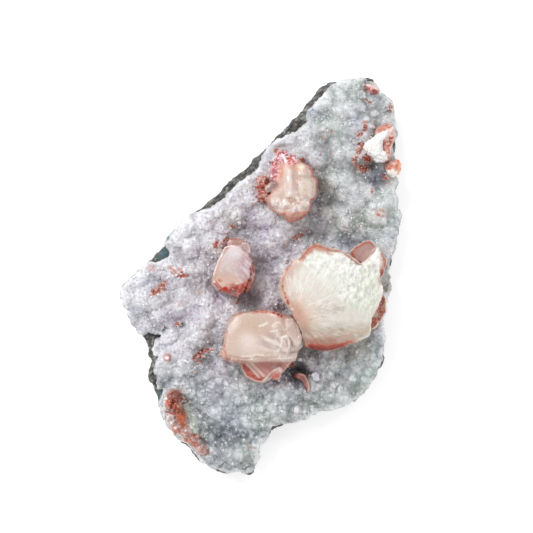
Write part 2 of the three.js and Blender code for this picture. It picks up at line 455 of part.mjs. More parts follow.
// A white knob with a red-brown crystal behind it, near the right edge.
function knobSolid() {
  return joined([
    crystal(oval(373.6, 150.5, 8.6, 11.4, 14), [[0.74, ROOT], [0.96, 2], [1, 4.4], [0.85, 7], [0.5, 8.6]]),
    crystal(
      [[375, 134], [380, 128], [387, 124.4], [392, 126.5], [394.8, 134], [393.6, 142], [390.5, 149], [389.5, 158], [385, 162.5], [377, 158], [374, 146]],
      [[0.82, ROOT], [1, 1], [0.97, 3.6], [0.8, 5.6], [0.4, 6.3]],
    ),
  ]);
}
const edgeSolid = () =>
  crystal(
    [[384.6, 167], [387, 163], [391.5, 161], [397.5, 160.6], [401, 165], [401.2, 170], [398.6, 175], [392.6, 177.8], [387.6, 175]],
    [[0.78, -3.4], [1, 0.4], [0.97, 2.6], [0.75, 4.2], [0.35, 4.8]],
  );
const hollowSolid = () =>
  crystal(
    [[294, 374.6], [299.6, 372.4], [305, 374.4], [308.4, 380], [310.6, 387.5], [308.6, 393], [304.4, 391], [301.6, 384.6], [296.4, 379.6]],
    [[0.85, ROOT], [1, -0.6], [0.9, 1.2], [0.45, 1.8]],
  );
const clearSolid = () =>
  crystal(
    [[311.8, 373.4], [315.6, 371.4], [319.4, 374], [319.8, 378.6], [317, 381.8], [313, 380.4]],
    [[0.9, ROOT], [1, 1.4], [0.86, 3], [0.4, 3.7]],
  );
// The red ridge along the lower left edge: a row of beads, two abreast, each [plan x, plan y, half width, half height,
// turn, height].
const RIDGE_BEADS = [
  [172, 396, 6.8, 7.4, 0, 3.5], [168, 405.5, 5, 5.6, 0.3, 2.4], [176.4, 406.4, 5, 6.4, -0.2, 3.2],
  [172, 418, 6.2, 7.4, 0.2, 2.2], [180.6, 418.6, 5.8, 8.2, -0.5, 3.1], [177.4, 429.2, 6.2, 5.2, 0.6, 1.8],
  [186, 432.6, 6.4, 6.8, -0.6, 2.4], [193.2, 441.4, 5.8, 6.8, -0.7, 2.2], [201, 449.6, 5.2, 7.4, -0.7, 1.4],
];
const ridgeSolid = () =>
  joined(RIDGE_BEADS.map(([x, y, rx, ry, turn, h]) => crystal(oval(x, y, rx, ry, 8, turn), [[0.84, ROOT], [1, h - 2.6], [0.7, h]])));
const beadSolid = () => crystal(oval(167.2, 357.4, 4.4, 4.4, 10), [[0.8, ROOT], [1, 0.6], [0.82, 2.2], [0.4, 2.8]]);
const crownSolid = () =>
  crystal(
    [[365.4, 85.6], [370.6, 84.6], [376.4, 87], [379.2, 91.4], [375.6, 94.4], [369.4, 92.6]],
    [[0.84, ROOT], [1, -1], [0.85, 0.8], [0.4, 1.5]],
  );

// ---- fitting the pieces together --------------------------------------------------------------------------------------
const crust = crustSolid();
const basalt = basaltSolid();
// What a crystal is cut by: the crust grown by the gap upwards and sideways, over everything below it.
const seat = joined([
  ...[1, 0, -3, -7, -11].map((k) => crust.translate([0, 0, k * SEAT_GAP])),
  ...[[1, 0], [-1, 0], [0, 1], [0, -1]].map(([x, y]) => crust.translate([x * SEAT_GAP, y * SEAT_GAP, 0])),
]);
const rooted = (s) => biggest(s.subtract(seat));
function biggest(s) {
  return s.decompose().reduce((a, b) => (b.volume() > a.volume() ? b : a));
}
// Keeps the gap to a neighbour, by cutting away what lies within the gap along each axis.
function clearOf(s, neighbour) {
  const g = SEAT_GAP;
  for (const d of [[g, 0, 0], [-g, 0, 0], [0, g, 0], [0, -g, 0], [0, 0, g], [0, 0, -g]]) s = s.subtract(neighbour.translate(d));
  return biggest(s);
}

const fan = rooted(fanSolid());
const pieces = {
  basalt_matrix: basalt,
  chalcedony_crust: crust,
  fan_crystal: fan,
  block_crystal: clearOf(rooted(blockSolid()), fan),
  left_crystal: rooted(leftSolid()),
  upper_crystal_cluster: rooted(upperSolid()),
  white_knob_crystal: rooted(knobSolid()),
  edge_crystal: rooted(edgeSolid()),
  hollow_crystal: rooted(hollowSolid()),
  clear_crystal: rooted(clearSolid()),
  red_ridge_crystals: rooted(ridgeSolid()),
  bead_crystal: rooted(beadSolid()),
  crown_crystal: rooted(crownSolid()),
};
pieces.edge_crystal = clearOf(pieces.edge_crystal, pieces.white_knob_crystal);

const LOOKS = {
  basalt_matrix: [0x3c3a39, 0.9],
  chalcedony_crust: [0xb4b8bf, 0.42],
  fan_crystal: [0xe6dccb, 0.4],
  block_crystal: [0xdcbfb0, 0.22],
  left_crystal: [0xdcb4ab, 0.22],
  upper_crystal_cluster: [0xd9b3a4, 0.3],
  white_knob_crystal: [0xf0e8e2, 0.6],
  edge_crystal: [0xdf9a82, 0.4],
  hollow_crystal: [0xa06a5c, 0.3],
  clear_crystal: [0xe8e2f0, 0.1],
  red_ridge_crystals: [0xb2644e, 0.45],
  bead_crystal: [0xc98f80, 0.3],
  crown_crystal: [0xa85a50, 0.4],
};

const specimen = new THREE.Group();
for (const [name, manifold] of Object.entries(pieces)) {
  const [color, roughness] = LOOKS[name];
  const mesh = new THREE.Mesh(geometryOf(manifold), new THREE.MeshStandardMaterial({ color, roughness, metalness: 0 }));
  mesh.name = name;
  specimen.add(mesh);
}

export default specimen;
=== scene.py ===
# Red apophyllite on botryoidal chalcedony: the fine surfaces, colours and light.
import math

import bpy
import numpy as np
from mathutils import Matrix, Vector


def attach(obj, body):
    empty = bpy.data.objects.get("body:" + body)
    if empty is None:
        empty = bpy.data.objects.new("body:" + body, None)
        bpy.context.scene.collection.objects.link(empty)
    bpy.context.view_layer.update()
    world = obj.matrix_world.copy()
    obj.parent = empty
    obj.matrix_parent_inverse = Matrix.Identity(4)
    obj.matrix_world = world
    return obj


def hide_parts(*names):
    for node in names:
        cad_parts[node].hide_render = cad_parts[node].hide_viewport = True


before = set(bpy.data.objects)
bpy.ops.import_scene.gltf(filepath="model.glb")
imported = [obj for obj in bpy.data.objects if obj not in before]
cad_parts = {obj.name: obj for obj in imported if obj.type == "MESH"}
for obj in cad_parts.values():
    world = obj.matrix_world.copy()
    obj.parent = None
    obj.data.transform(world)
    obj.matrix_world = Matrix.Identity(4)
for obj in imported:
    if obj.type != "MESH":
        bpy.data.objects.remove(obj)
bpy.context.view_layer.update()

scene = bpy.context.scene

# ---- the part's own plan: x to the right, y down the page, PLAN_UNIT mm each ------------------------------------------
PLAN_UNIT = 0.3
OX, OY = 260.575, 277.098
EX, EY = 266.5, 266.5
EYE_HEIGHT = 600.0
CRUST_LEVEL = 15.0
INTERFACE_LEVEL = 9.4
INTERFACE_FOLLOW = 0.22
LUMP_CELL = 29.0
LUMP_RADIUS = 8.5
EDGE_DROP = 2.4
EDGE_REACH = 6.0

CRUST_OUTLINE = [
    (338, 82), (345, 80.8), (353, 79.8), (360, 78.8), (364.4, 78.6), (366.2, 81.6), (370, 82.6), (374.2, 82.8),
    (377, 85.5), (379, 90.5), (382.4, 95), (387, 97.6), (391.8, 101), (394.6, 106), (394, 113), (394.4, 120.5),
    (396.2, 128), (396.8, 133), (395.8, 137.5), (393, 141.5), (392.4, 147.5), (392.8, 152.5), (395.4, 156.5),
    (396.8, 163), (396.4, 171), (396.6, 178), (396.4, 184), (393.4, 188), (393.4, 194), (396.4, 198.5), (396.4, 205),
    (396.8, 210), (400.4, 215.5), (399, 221), (398, 227), (398.6, 233.5), (396.6, 241), (393.4, 248), (392, 254.5),
    (389.6, 258.8), (389.2, 263.6), (389.8, 269), (388.8, 275), (389.8, 281), (391.6, 287), (389, 292.5),
    (386.4, 298), (385.4, 305), (385.2, 312), (382.6, 318.5), (382.6, 325), (384.2, 333), (384.8, 341), (383.6, 349),
    (382.6, 356.4), (381.6, 359.6), (378.4, 364.4), (377.4, 369.6), (375.6, 374.6), (373, 380), (370, 386.5),
    (364.4, 390.4), (362.4, 394), (357, 398.6), (352, 400.6), (349, 403.4), (342, 406.6), (334, 408.6),
    (325.5, 409.6), (318.5, 411.6), (311, 415.6), (304, 419), (297, 420.8), (290, 422.6), (284.6, 423.4),
    (277.6, 424.6), (272.4, 426.2), (270, 431.4), (267, 436), (263.4, 440.6), (259.2, 444.6), (257.6, 449.6),
    (258, 456), (257, 462), (254.6, 468.6), (250.8, 472.4), (244, 472.6), (236, 472), (228.6, 472.6), (222, 470),
    (215.4, 468.6), (208, 465.4), (202.4, 462), (198, 456.5), (193.6, 451.2), (190.4, 446.4), (183, 441),
    (176.4, 434.8), (171, 429.6), (167, 424), (164.2, 418.5), (161.4, 413), (159.4, 407.4), (162, 396),
    (162.8, 390.2), (157.2, 388.5), (157.4, 381), (156.2, 373), (155.8, 366), (156.8, 360.6), (158.8, 356.4),
    (154.4, 353.8), (153.2, 349.5), (154, 345), (156.4, 340.6), (161.3, 335.8), (154.4, 333.2), (147.4, 330.8),
    (141.6, 334.6), (137.8, 332), (135, 327.6), (131.8, 320), (127.2, 312), (123.4, 304.5), (121.2, 297.5),
    (120.8, 291), (123, 286.5), (127, 283), (131, 278.6), (136, 273.4), (141.5, 268), (147, 262.8), (155, 263.5),
    (162, 260), (169, 258), (171.5, 253.5), (168, 248), (164, 245), (166.5, 240), (171.5, 234.5), (177.5, 228.5),
    (184, 222), (190.5, 217), (198, 214.5), (206, 212.5), (214, 210.5), (221.5, 207.5), (228, 203), (232.5, 197.5),
    (236.5, 191.5), (241, 186), (247, 180.5), (253, 175.5), (258.5, 171), (261.5, 165), (263, 158), (266, 151.5),
    (270, 146), (275.5, 141.5), (282, 137.5), (289, 134.5), (296, 132), (302.5, 128), (307, 123.5), (307.5, 117),
    (309, 110.5), (314, 105), (319.5, 99.5), (324, 94), (330, 88.5),
]
# The rim lies a little below the crust's level, so it is drawn out from the eye point.
CRUST_OUTLINE = [(EX + (x - EX) * (1 + EDGE_DROP / EYE_HEIGHT), EY + (y - EY) * (1 + EDGE_DROP / EYE_HEIGHT)) for x, y in CRUST_OUTLINE]
# the crust's broken edge bulges a little over the slab's ledge at the upper left
EDGE_BULGE = [4.6 * math.exp(-((x - 228) ** 2 + (y - 205) ** 2) / 38.0**2) for x, y in CRUST_OUTLINE]
CRUST_OUTLINE = [(x - 0.66 * k, y - 0.75 * k) for (x, y), k in zip(CRUST_OUTLINE, EDGE_BULGE)]
# Swells and hollows: plan x, plan y, height in mm, spread in plan units.
RELIEF = [
    (345, 110, 1.6, 16), (383, 110, 0.8, 10), (330, 135, -0.9, 9), (318, 128, 1.0, 9), (305, 143, 1.4, 10),
    (355, 130, -0.8, 8), (374, 150, 1.0, 9), (368, 167, -3.6, 6.5), (352, 150, 1.0, 7), (385, 205, 1.0, 12),
    (352, 212, 1.5, 9), (365, 235, -1.2, 10), (378, 180, -1.0, 8), (320, 190, -1.8, 9), (318, 215, -1.8, 9),
    (300, 238, -1.0, 7), (285, 228, 1.6, 10), (258, 190, -1.0, 7), (255, 235, -1.8, 9), (256, 265, -2.2, 9),
    (249, 298, -3.0, 9), (270, 262, -0.6, 8), (280, 290, 0.8, 7), (232, 225, 0.6, 9), (200, 232, 1.4, 12),
    (180, 240, 1.0, 10), (245, 205, 0.8, 10), (195, 262, -0.8, 8), (182, 270, 1.0, 7), (160, 290, -1.0, 9),
    (140, 300, 0.8, 10), (210, 318, 2.0, 13), (185, 300, -0.5, 7), (180, 325, -1.0, 7), (165, 340, 0.5, 7),
    (185, 350, 1.2, 10), (208, 362, -2.2, 7), (180, 380, 1.2, 9), (178, 403, -2.6, 7), (165, 400, 0.8, 5),
    (172, 420, 1.0, 6), (188, 438, 0.9, 6), (225, 385, 0.8, 10), (240, 400, 0.8, 10), (225, 436, -1.6, 10),
    (205, 430, -1.0, 8), (275, 400, 0.8, 10), (297, 372, -4.0, 8), (320, 385, 0.8, 9), (312, 350, -1.2, 8),
    (345, 365, 1.2, 12), (340, 395, 0.5, 9), (360, 385, -0.5, 7), (232, 455, 0.6, 8),
]


def place(px, py, z):
    return np.stack([(px - OX) * PLAN_UNIT, (OY - py) * PLAN_UNIT, z + 0 * px], -1)


def tall(px, py, h):
    k = 1 - h / EYE_HEIGHT
    return place(EX + (px - EX) * k, EY + (py - EY) * k, CRUST_LEVEL + h)


def plan_of(v):
    """Plan coordinates at which a point of the finished shape was drawn."""
    px, py = OX + v[:, 0] / PLAN_UNIT, OY - v[:, 1] / PLAN_UNIT
    k = 1 - (v[:, 2] - CRUST_LEVEL) / EYE_HEIGHT
    return EX + (px - EX) / k, EY + (py - EY) / k


# ---- noise and small helpers ------------------------------------------------------------------------------------------
def chance(ix, iy, iz, seed):
    h = (ix * 73856093) ^ (iy * 19349663) ^ (iz * 83492791) ^ (seed * 40503 + 977)
    h = h & 0xFFFFFFFF
    h = ((h ^ (h >> 15)) * 2246822519) & 0xFFFFFFFF
    h = ((h ^ (h >> 13)) * 3266489917) & 0xFFFFFFFF
    h = h ^ (h >> 16)
    return (h & 0xFFFFFF) / float(0x1000000)


def noise(x, y, z=0.0, seed=0):
    """Smooth value noise from -1 to 1."""
    x, y, z = np.broadcast_arrays(np.asarray(x, float), np.asarray(y, float), np.asarray(z, float))
    ix, iy, iz = (np.floor(a).astype(np.int64) for a in (x, y, z))
    fx, fy, fz = x - ix, y - iy, z - iz
    ux, uy, uz = (f * f * f * (f * (f * 6 - 15) + 10) for f in (fx, fy, fz))
    total = 0.0
    for a in (0, 1):
        wx = ux if a else 1 - ux
        for b in (0, 1):
            wy = uy if b else 1 - uy
            for c in (0, 1):
                wz = uz if c else 1 - uz
                total = total + wx * wy * wz * chance(ix + a, iy + b, iz + c, seed)
    return total * 2 - 1


def fbm(x, y, z=0.0, octaves=4, seed=0, gain=0.5):
    total, amp, norm, f = 0.0, 1.0, 0.0, 1.0
    for k in range(octaves):
        total = total + amp * noise(x * f, y * f, z * f, seed + 31 * k)
        norm += amp
        amp *= gain
        f *= 2.07
    return total / norm


def smooth(a, b, x):
    t = np.clip((x - a) / (b - a), 0, 1)
    return t * t * (3 - 2 * t)


def beads(px, py, cell, rlo, rhi, seed, lift=0.5):
    """A bed of balls, all in plan units: height above the bed, distance from the nearest ball's middle as a share of its
    radius, that ball's own chance number, and how far it stands above the next one."""
    gi, gj = np.floor(px / cell).astype(np.int64), np.floor(py / cell).astype(np.int64)
    best = np.full(px.shape, -1e9)
    second = best.copy()
    share = np.ones(px.shape)
    own = np.zeros(px.shape)
    for dj in range(-2, 3):
        for di in range(-2, 3):
            i, j = gi + di, gj + dj
            cx = (i + 0.5 + 0.45 * (2 * chance(i, j, 1, seed) - 1)) * cell
            cy = (j + 0.5 + 0.45 * (2 * chance(i, j, 2, seed) - 1)) * cell
            c = chance(i, j, 3, seed)
            r = rlo + (rhi - rlo) * c * c
            d = np.hypot(px - cx, py - cy)
            h = np.where(d < r, np.sqrt(np.maximum(r * r - d * d, 0)), -(d - r) * 1.6)
            h = h + lift * r * (chance(i, j, 4, seed) - 0.5) - 0.6 * r
            up = h > best
            second = np.where(up, best, np.maximum(second, h))
            share = np.where(up, d / r, share)
            own = np.where(up, chance(i, j, 5, seed), own)
            best = np.where(up, h, best)
    return best, share, own, best - second


def edge_distance(px, py, ring, want_slope=False):
    """Distance to the ring's edge in plan units, above 0 inside it."""
    px, py = np.asarray(px, float), np.asarray(py, float)
    best = np.full(px.shape, 1e18)
    gx, gy = np.zeros(px.shape), np.zeros(px.shape)
    odd = np.zeros(px.shape, bool)
    n = len(ring)
    for i in range(n):
        (ax, ay), (bx, by) = ring[i], ring[(i + 1) % n]
        dx, dy = bx - ax, by - ay
        t = np.clip(((px - ax) * dx + (py - ay) * dy) / (dx * dx + dy * dy), 0, 1)
        ex, ey = px - ax - t * dx, py - ay - t * dy
        d2 = ex * ex + ey * ey
        up = d2 < best
        best = np.where(up, d2, best)
        gx, gy = np.where(up, ex, gx), np.where(up, ey, gy)
        if ay != by:
            odd ^= ((ay > py) != (by > py)) & (px < (bx - ax) * (py - ay) / (by - ay) + ax)
    d = np.sqrt(best)
    s = np.where(odd, 1.0, -1.0)
    if not want_slope:
        return d * s
    inv = s / np.maximum(d, 1e-6)
    return d * s, gx * inv, gy * inv


def blob(px, py, cx, cy, rx, ry, turn=0.0, soft=0.35):
    """1 in the middle of an ellipse, falling to 0 at its edge."""
    c, s = math.cos(turn), math.sin(turn)
    x, y = (px - cx) * c + (py - cy) * s, -(px - cx) * s + (py - cy) * c
    q = np.sqrt((x / rx) ** 2 + (y / ry) ** 2)
    return 1 - smooth(1 - soft, 1 + soft, q)


def stroke(px, py, points, width, soft=0.8):
    """1 along an open line of points, falling to 0 beyond its width."""
    best = np.full(px.shape, 1e18)
    for (ax, ay), (bx, by) in zip(points, points[1:]):
        dx, dy = bx - ax, by - ay
        t = np.clip(((px - ax) * dx + (py - ay) * dy) / max(dx * dx + dy * dy, 1e-9), 0, 1)
        best = np.minimum(best, np.hypot(px - ax - t * dx, py - ay - t * dy))
    return 1 - smooth(width * (1 - soft), width * (1 + soft), best)


def hue(r, g, b):
    """A colour given in display values, as linear light."""
    c = np.array([r, g, b], float) / 255
    return np.where(c <= 0.04045, c / 12.92, ((c + 0.055) / 1.055) ** 2.4)


def blend(base, colour, weight):
    w = np.clip(weight, 0, 1)[:, None]
    return base * (1 - w) + np.asarray(colour) * w


# ---- heights of the crust, as in the solids ----------------------------------------------------------------------------
def relief(px, py):
    z = 0.0
    for x, y, a, s in RELIEF:
        z = z + a * np.exp(-((px - x) ** 2 + (py - y) ** 2) / (2 * s * s))
    return z


def sine_chance(i, j, k):
    v = np.sin(i * 127.1 + j * 311.7 + k * 74.7) * 43758.5453
    return v - np.floor(v)


def lumps(px, py):
    row = np.floor(py / LUMP_CELL)
    best = np.full(np.shape(px), -1e9)
    for dj in range(-2, 3):
        j = row + dj
        shift = np.where(np.mod(j, 2) == 1, 0.5, 0.0)
        column = np.floor(px / LUMP_CELL - shift)
        for di in range(-2, 3):
            i = column + di
            x = (i + shift + 0.2 + 0.6 * sine_chance(i, j, 0)) * LUMP_CELL
            y = (j + 0.2 + 0.6 * sine_chance(i, j, 1)) * LUMP_CELL
            d = np.hypot(px - x, py - y) * PLAN_UNIT
            best = np.maximum(best, 0.8 * sine_chance(i, j, 2) - d * d / (2 * LUMP_RADIUS))
    return best


def interface_z(px, py):
    return INTERFACE_LEVEL + INTERFACE_FOLLOW * relief(px, py)


def broad_z(px, py, rim):
    z = CRUST_LEVEL + relief(px, py) + lumps(px, py) - EDGE_DROP * np.exp(-np.maximum(rim, 0) / EDGE_REACH)
    return np.maximum(z, interface_z(px, py) + 1.8)


# How beady, how sugary and how smooth the crust is from place to place.
def beadiness(px, py):
    low = smooth(335, 372, py + 0.1 * (px - 250))
    centre = blob(px, py, 278, 262, 38, 46, 0.3, 0.5) * 0.9
    right = blob(px, py, 372, 345, 26, 40, 0, 0.5) * 0.3
    return np.clip(low + centre + right - blob(px, py, 165, 365, 22, 24, 0, 0.5) * 0.6, 0, 1)


def sugariness(px, py):
    return np.clip(1 - 0.75 * smooth(250, 330, px - 0.25 * (py - 250)) - 0.35 * smooth(360, 420, py), 0.15, 1)


def bead_beds(px, py):
    wx = px + 1.8 * fbm(px * 0.08, py * 0.08, 0, 2, 5)
    wy = py + 1.8 * fbm(px * 0.08, py * 0.08, 7, 2, 6)
    return beads(wx, wy, 8.6, 3.8, 7.2, 11), beads(wx, wy, 4.1, 1.7, 3.6, 12), beads(wx, wy, 16.5, 8.0, 14.5, 13, 0.5)


def faces_of(px, py, cell, seed):
    """Small flat faces, each with its own tilt: height in plan units, and a number of its own for each face."""
    gi, gj = np.floor(px / cell).astype(np.int64), np.floor(py / cell).astype(np.int64)
    best = np.full(px.shape, 1e9)
    out, own = np.zeros(px.shape), np.zeros(px.shape)
    for dj in (-1, 0, 1):
        for di in (-1, 0, 1):
            i, j = gi + di, gj + dj
            cx, cy = (i + chance(i, j, 1, seed)) * cell, (j + chance(i, j, 2, seed)) * cell
            d = np.abs(px - cx) * (0.7 + 0.6 * chance(i, j, 5, seed)) + np.abs(py - cy) * (0.7 + 0.6 * chance(i, j, 6, seed))
            tilt = (2 * chance(i, j, 3, seed) - 1) * (px - cx) + (2 * chance(i, j, 4, seed) - 1) * (py - cy)
            near = d < best
            best = np.where(near, d, best)
            out = np.where(near, tilt, out)
            own = np.where(near, chance(i, j, 7, seed), own)
    return out, own


# Larger round lumps of the crust: plan x, plan y, radius in plan units, height in mm.
PALE_LUMPS = [
    (360.7, 106.4, 6.2, 1.1), (362, 94.3, 5.2, 0.9), (353, 116.4, 4.8, 0.8), (366.4, 118.6, 4.2, 0.7), (375, 113, 4.8, 0.8), (371.4, 127, 2.4, 0.6),
    (345, 222, 5.2, 0.7), (384, 222, 4.6, 0.7), (372, 206, 4.4, 0.6), (331, 376, 5.0, 0.7), (352, 378, 4.4, 0.6), (247, 424, 5.0, 0.6), (262, 408, 4.4, 0.6),
]


def pale_lumps(px, py):
    z, q = np.zeros(px.shape), np.full(px.shape, 9.0)
    for x, y, r, high in PALE_LUMPS:
        d = np.hypot(px - x, py - y) / r
        z = np.maximum(z, high * np.sqrt(np.clip(1 - d * d, 0, 1)))
        q = np.minimum(q, d)
    return z, q


def fine_z(px, py):
    """The crust's rounded beads and sugary grains, in mm, with what the colour needs to know about them."""
    b = beadiness(px, py)
    g = sugariness(px, py)
    (big, big_q, big_own, big_gap), (small, small_q, small_own, small_gap), (soft, soft_q, soft_own, soft_gap) = bead_beds(px, py)
    z = (0.03 + 0.14 * b) * np.maximum(big, -2.2) + (0.06 + 0.04 * b) * np.maximum(small, -1.8) * (0.6 + 0.6 * g)
    z = z + (0.105 - 0.065 * b) * np.maximum(soft, -7)
    z = z + (0.08 + 0.12 * g) * fbm(px * 0.42, py * 0.42, 0, 3, 21) + 0.06 * fbm(px * 0.95, py * 0.95, 3, 2, 22)
    pale, pale_q = pale_lumps(px, py)
    wide, wide_own = faces_of(px, py, 4.4, 23)
    narrow, narrow_own = faces_of(px + 0.4 * wide, py, 2.5, 24)
    z = z + (0.045 + 0.045 * g) * wide * smooth(0.8, 1.2, pale_q) + (0.05 + 0.05 * g) * narrow * smooth(0.7, 1.2, pale_q) + pale
    return z, dict(b=b, g=g, q=big_q, own=big_own, gap=big_gap, sq=small_q, sown=small_own, sgap=small_gap, fq=soft_q, fown=soft_own, fgap=soft_gap, pq=pale_q, n1=wide_own, n2=narrow_own)


def crust_z(px, py, rim):
    return broad_z(px, py, rim) + fine_z(px, py)[0]


# Height of the crust on a plain grid, to tell what stands up from what lies low.
RASTER_X, RASTER_Y = np.arange(100.0, 424.0), np.arange(60.0, 496.0)


def softened(z, spread):
    k = np.arange(-int(3 * spread) - 1, int(3 * spread) + 2)
    w = np.exp(-0.5 * (k / spread) ** 2)
    w /= w.sum()
    for axis in (0, 1):
        pad = [(0, 0), (0, 0)]
        pad[axis] = (len(k) // 2, len(k) // 2)
        padded = np.pad(z, pad, mode="edge")
        z = sum(wi * np.take(padded, np.arange(n, n + z.shape[axis]), axis) for n, wi in enumerate(w))
    return z


def sampled(field, px, py):
    x, y = np.clip(px - RASTER_X[0], 0, len(RASTER_X) - 1.001), np.clip(py - RASTER_Y[0], 0, len(RASTER_Y) - 1.001)
    i, j = x.astype(int), y.astype(int)
    u, w = x - i, y - j
    return (field[j, i] * (1 - u) + field[j, i + 1] * u) * (1 - w) + (field[j + 1, i] * (1 - u) + field[j + 1, i + 1] * u) * w


def standing():
    gx, gy = np.meshgrid(RASTER_X, RASTER_Y)
    z = (CRUST_LEVEL + relief(gx, gy) + lumps(gx, gy) + fine_z(gx.ravel(), gy.ravel())[0].reshape(gx.shape))
    s1, s3, s8, s20 = (softened(z, k) for k in (1.0, 3.0, 8.0, 20.0))
    return z - s1, s1 - s3, s3 - s8, s8 - s20


# ---- colour of the crust ------------------------------------------------------------------------------------------------
RED = hue(190, 78, 46)
DEEP_RED = hue(158, 42, 26)
SALMON = hue(206, 118, 98)
# Iron-red stains: blobs (x, y, half width, half height, turn, strength) and thin veins (points, width, strength).
STAINS = [
    (156, 291.5, 6.5, 3.2, -0.5, 1.0), (163, 285.5, 5, 2.4, -0.7, 0.8), (149, 269, 4, 1.8, 0.3, 0.35),
    (199, 292, 4.5, 3, 0, 0.35), (208, 287, 8, 2.5, 0.1, 0.22), (217, 245.5, 3.8, 2.6, -0.5, 0.75), (223, 242, 4, 2.2, -0.5, 0.7),
    (228, 239.5, 2.5, 1.8, 0, 0.7), (231.5, 226, 3.2, 2.4, 0.4, 0.6), (212, 222, 3, 2.5, 0, 0.35), (206, 250, 3.5, 2.5, 0, 0.25),
    (254, 204, 1.8, 1.6, 0, 0.7), (237, 302, 2, 1.6, 0.6, 0.8), (180.5, 303.5, 2.2, 2, 0, 0.6), (176, 324, 2.8, 2.2, 0, 0.4),
    (277, 149.5, 4.5, 2, -0.4, 0.4), (302, 160.5, 2.8, 2.2, 0, 0.95), (331.7, 131.2, 1.3, 1.3, 0, 0.9), (332.5, 154, 1.3, 1, 0, 0.8),
    (319.6, 154.3, 1.4, 1.4, 0, 0.95), (359.6, 149, 3.2, 6.2, 0.35, 0.8), (368, 159, 3.6, 4.6, -0.2, 0.9), (356, 163.6, 2.4, 2.6, 0, 0.55),
    (361, 168, 3, 4, 0.5, 0.6), (367, 169, 4, 3.2, -0.2, 0.7), (380.5, 213.5, 6, 4.4, 0.1, 0.5), (386, 178, 4, 1.2, -0.25, 0.85),
    (389, 184, 3, 3.5, 0.4, 0.3), (393, 107.5, 2, 5.5, 0.15, 0.5), (314, 117, 2.5, 2, 0, 0.25), (360, 227, 5, 2.2, 0.1, 0.25),
    (296, 236, 6, 2.2, -0.5, 0.45), (303.5, 233, 5, 2.2, -0.9, 0.55), (286, 243, 2.8, 3.2, 0, 0.4), (292.4, 365, 3, 2.2, 0.2, 0.85),
    (334, 388.4, 1.4, 1.2, 0, 1.0), (206, 453, 3.6, 2.6, 0.9, 0.55), (197, 449, 3, 2.5, 0.6, 0.4), (373, 89, 7.4, 4.6, 0.35, 0.9),
    (363.5, 84, 2.2, 2.2, 0, 0.35), (288, 364.2, 2.4, 1.6, 0, 0.6), (200, 353.5, 2.6, 1.8, -0.5, 0.8),
    (177, 397, 6.5, 7.5, 0.2, 0.8), (180, 411, 5.5, 6, -0.4, 0.7), (188, 424, 4, 6, -0.6, 0.45), (195, 437, 4.5, 6, -0.8, 0.4), (204, 449, 4.5, 7, -0.7, 0.5),
    (262.5, 184, 6.4, 8.4, 0.35, 0.75), (263, 197, 6.8, 5.2, -0.5, 0.8), (205, 312, 2.2, 1.4, 0, 0.3), (250, 447, 1.2, 4, -0.5, 0.35),
]
VEINS = [
    ([(171.5, 268.5), (175, 273.5), (179, 276.4), (184, 276), (187, 274.4)], 0.9, 0.9),
    ([(181.5, 268.4), (182.6, 273.4)], 0.8, 0.7),
    ([(364.4, 122.5), (366, 127), (363.6, 130.4), (362.4, 134.6), (358, 136.4)], 1.1, 1.0),
    ([(322, 135.5), (325.8, 140.5), (325.2, 147), (321.5, 152)], 0.6, 0.5),
    ([(366.6, 98.6), (368.6, 101.4), (370.8, 104.2)], 0.9, 0.9),
    ([(372.2, 188.6), (371.8, 194)], 0.9, 0.8),
    ([(195.5, 358.4), (198.2, 354.2), (202.4, 351.4), (208, 349.8), (213.6, 349.6)], 1.2, 0.95),
    ([(196, 361), (198.6, 362.4)], 0.9, 0.7),
    ([(151.5, 266), (155, 270)], 0.9, 0.3),
]


def stain(px, py):
    wx = px + 1.3 * fbm(px * 0.33, py * 0.33, 1, 2, 41)
    wy = py + 1.3 * fbm(px * 0.33, py * 0.33, 5, 2, 42)
    vein = smooth(0.15, 0.75, 1 - 3.2 * np.abs(fbm(wx * 0.36, wy * 0.36, 2, 2, 43)))
    grain = smooth(-0.25, 0.35, fbm(px * 0.5, py * 0.5, 9, 2, 44))
    red = np.zeros(px.shape)
    for x, y, rx, ry, turn, s in STAINS:
        near = (np.abs(px - x) < 3 * max(rx, ry)) & (np.abs(py - y) < 3 * max(rx, ry))
        if near.any():
            m = blob(wx[near], wy[near], x, y, rx, ry, turn, 0.55)
            red[near] = np.maximum(red[near], m * s * (0.35 + 0.65 * grain[near]) * (0.45 + 0.55 * vein[near]) * 1.25)
    for points, width, s in VEINS:
        red = np.maximum(red, stroke(px + 1.0 * (wx - px), py + 1.0 * (wy - py), points, width * 1.3, 0.9) * s * (0.25 + 0.75 * grain))
    return np.clip(red, 0, 1)


def glint_specks(px, py, cell, lo, hi, seed, share):
    """Painted glints as bright points: 1 at the middle of each, with a share of the cells holding one."""
    gi, gj = np.floor(px / cell).astype(np.int64), np.floor(py / cell).astype(np.int64)
    out = np.zeros(px.shape)
    for dj in (-1, 0, 1):
        for di in (-1, 0, 1):
            i, j = gi + di, gj + dj
            cx, cy = (i + chance(i, j, 1, seed)) * cell, (j + chance(i, j, 2, seed)) * cell
            r = lo + (hi - lo) * chance(i, j, 3, seed) ** 2
            turn = 3.1416 * chance(i, j, 4, seed)
            dx, dy = px - cx, py - cy
            u, w = dx * np.cos(turn) + dy * np.sin(turn), -dx * np.sin(turn) + dy * np.cos(turn)
            d = np.hypot(u, w * (1 + 1.6 * chance(i, j, 6, seed)))
            out = np.maximum(out, smooth(r * 1.3, r * 0.5, d) * (chance(i, j, 5, seed) < share * (1 + 0 * d)) * (0.6 + 0.4 * chance(i, j, 7, seed)))
    return out


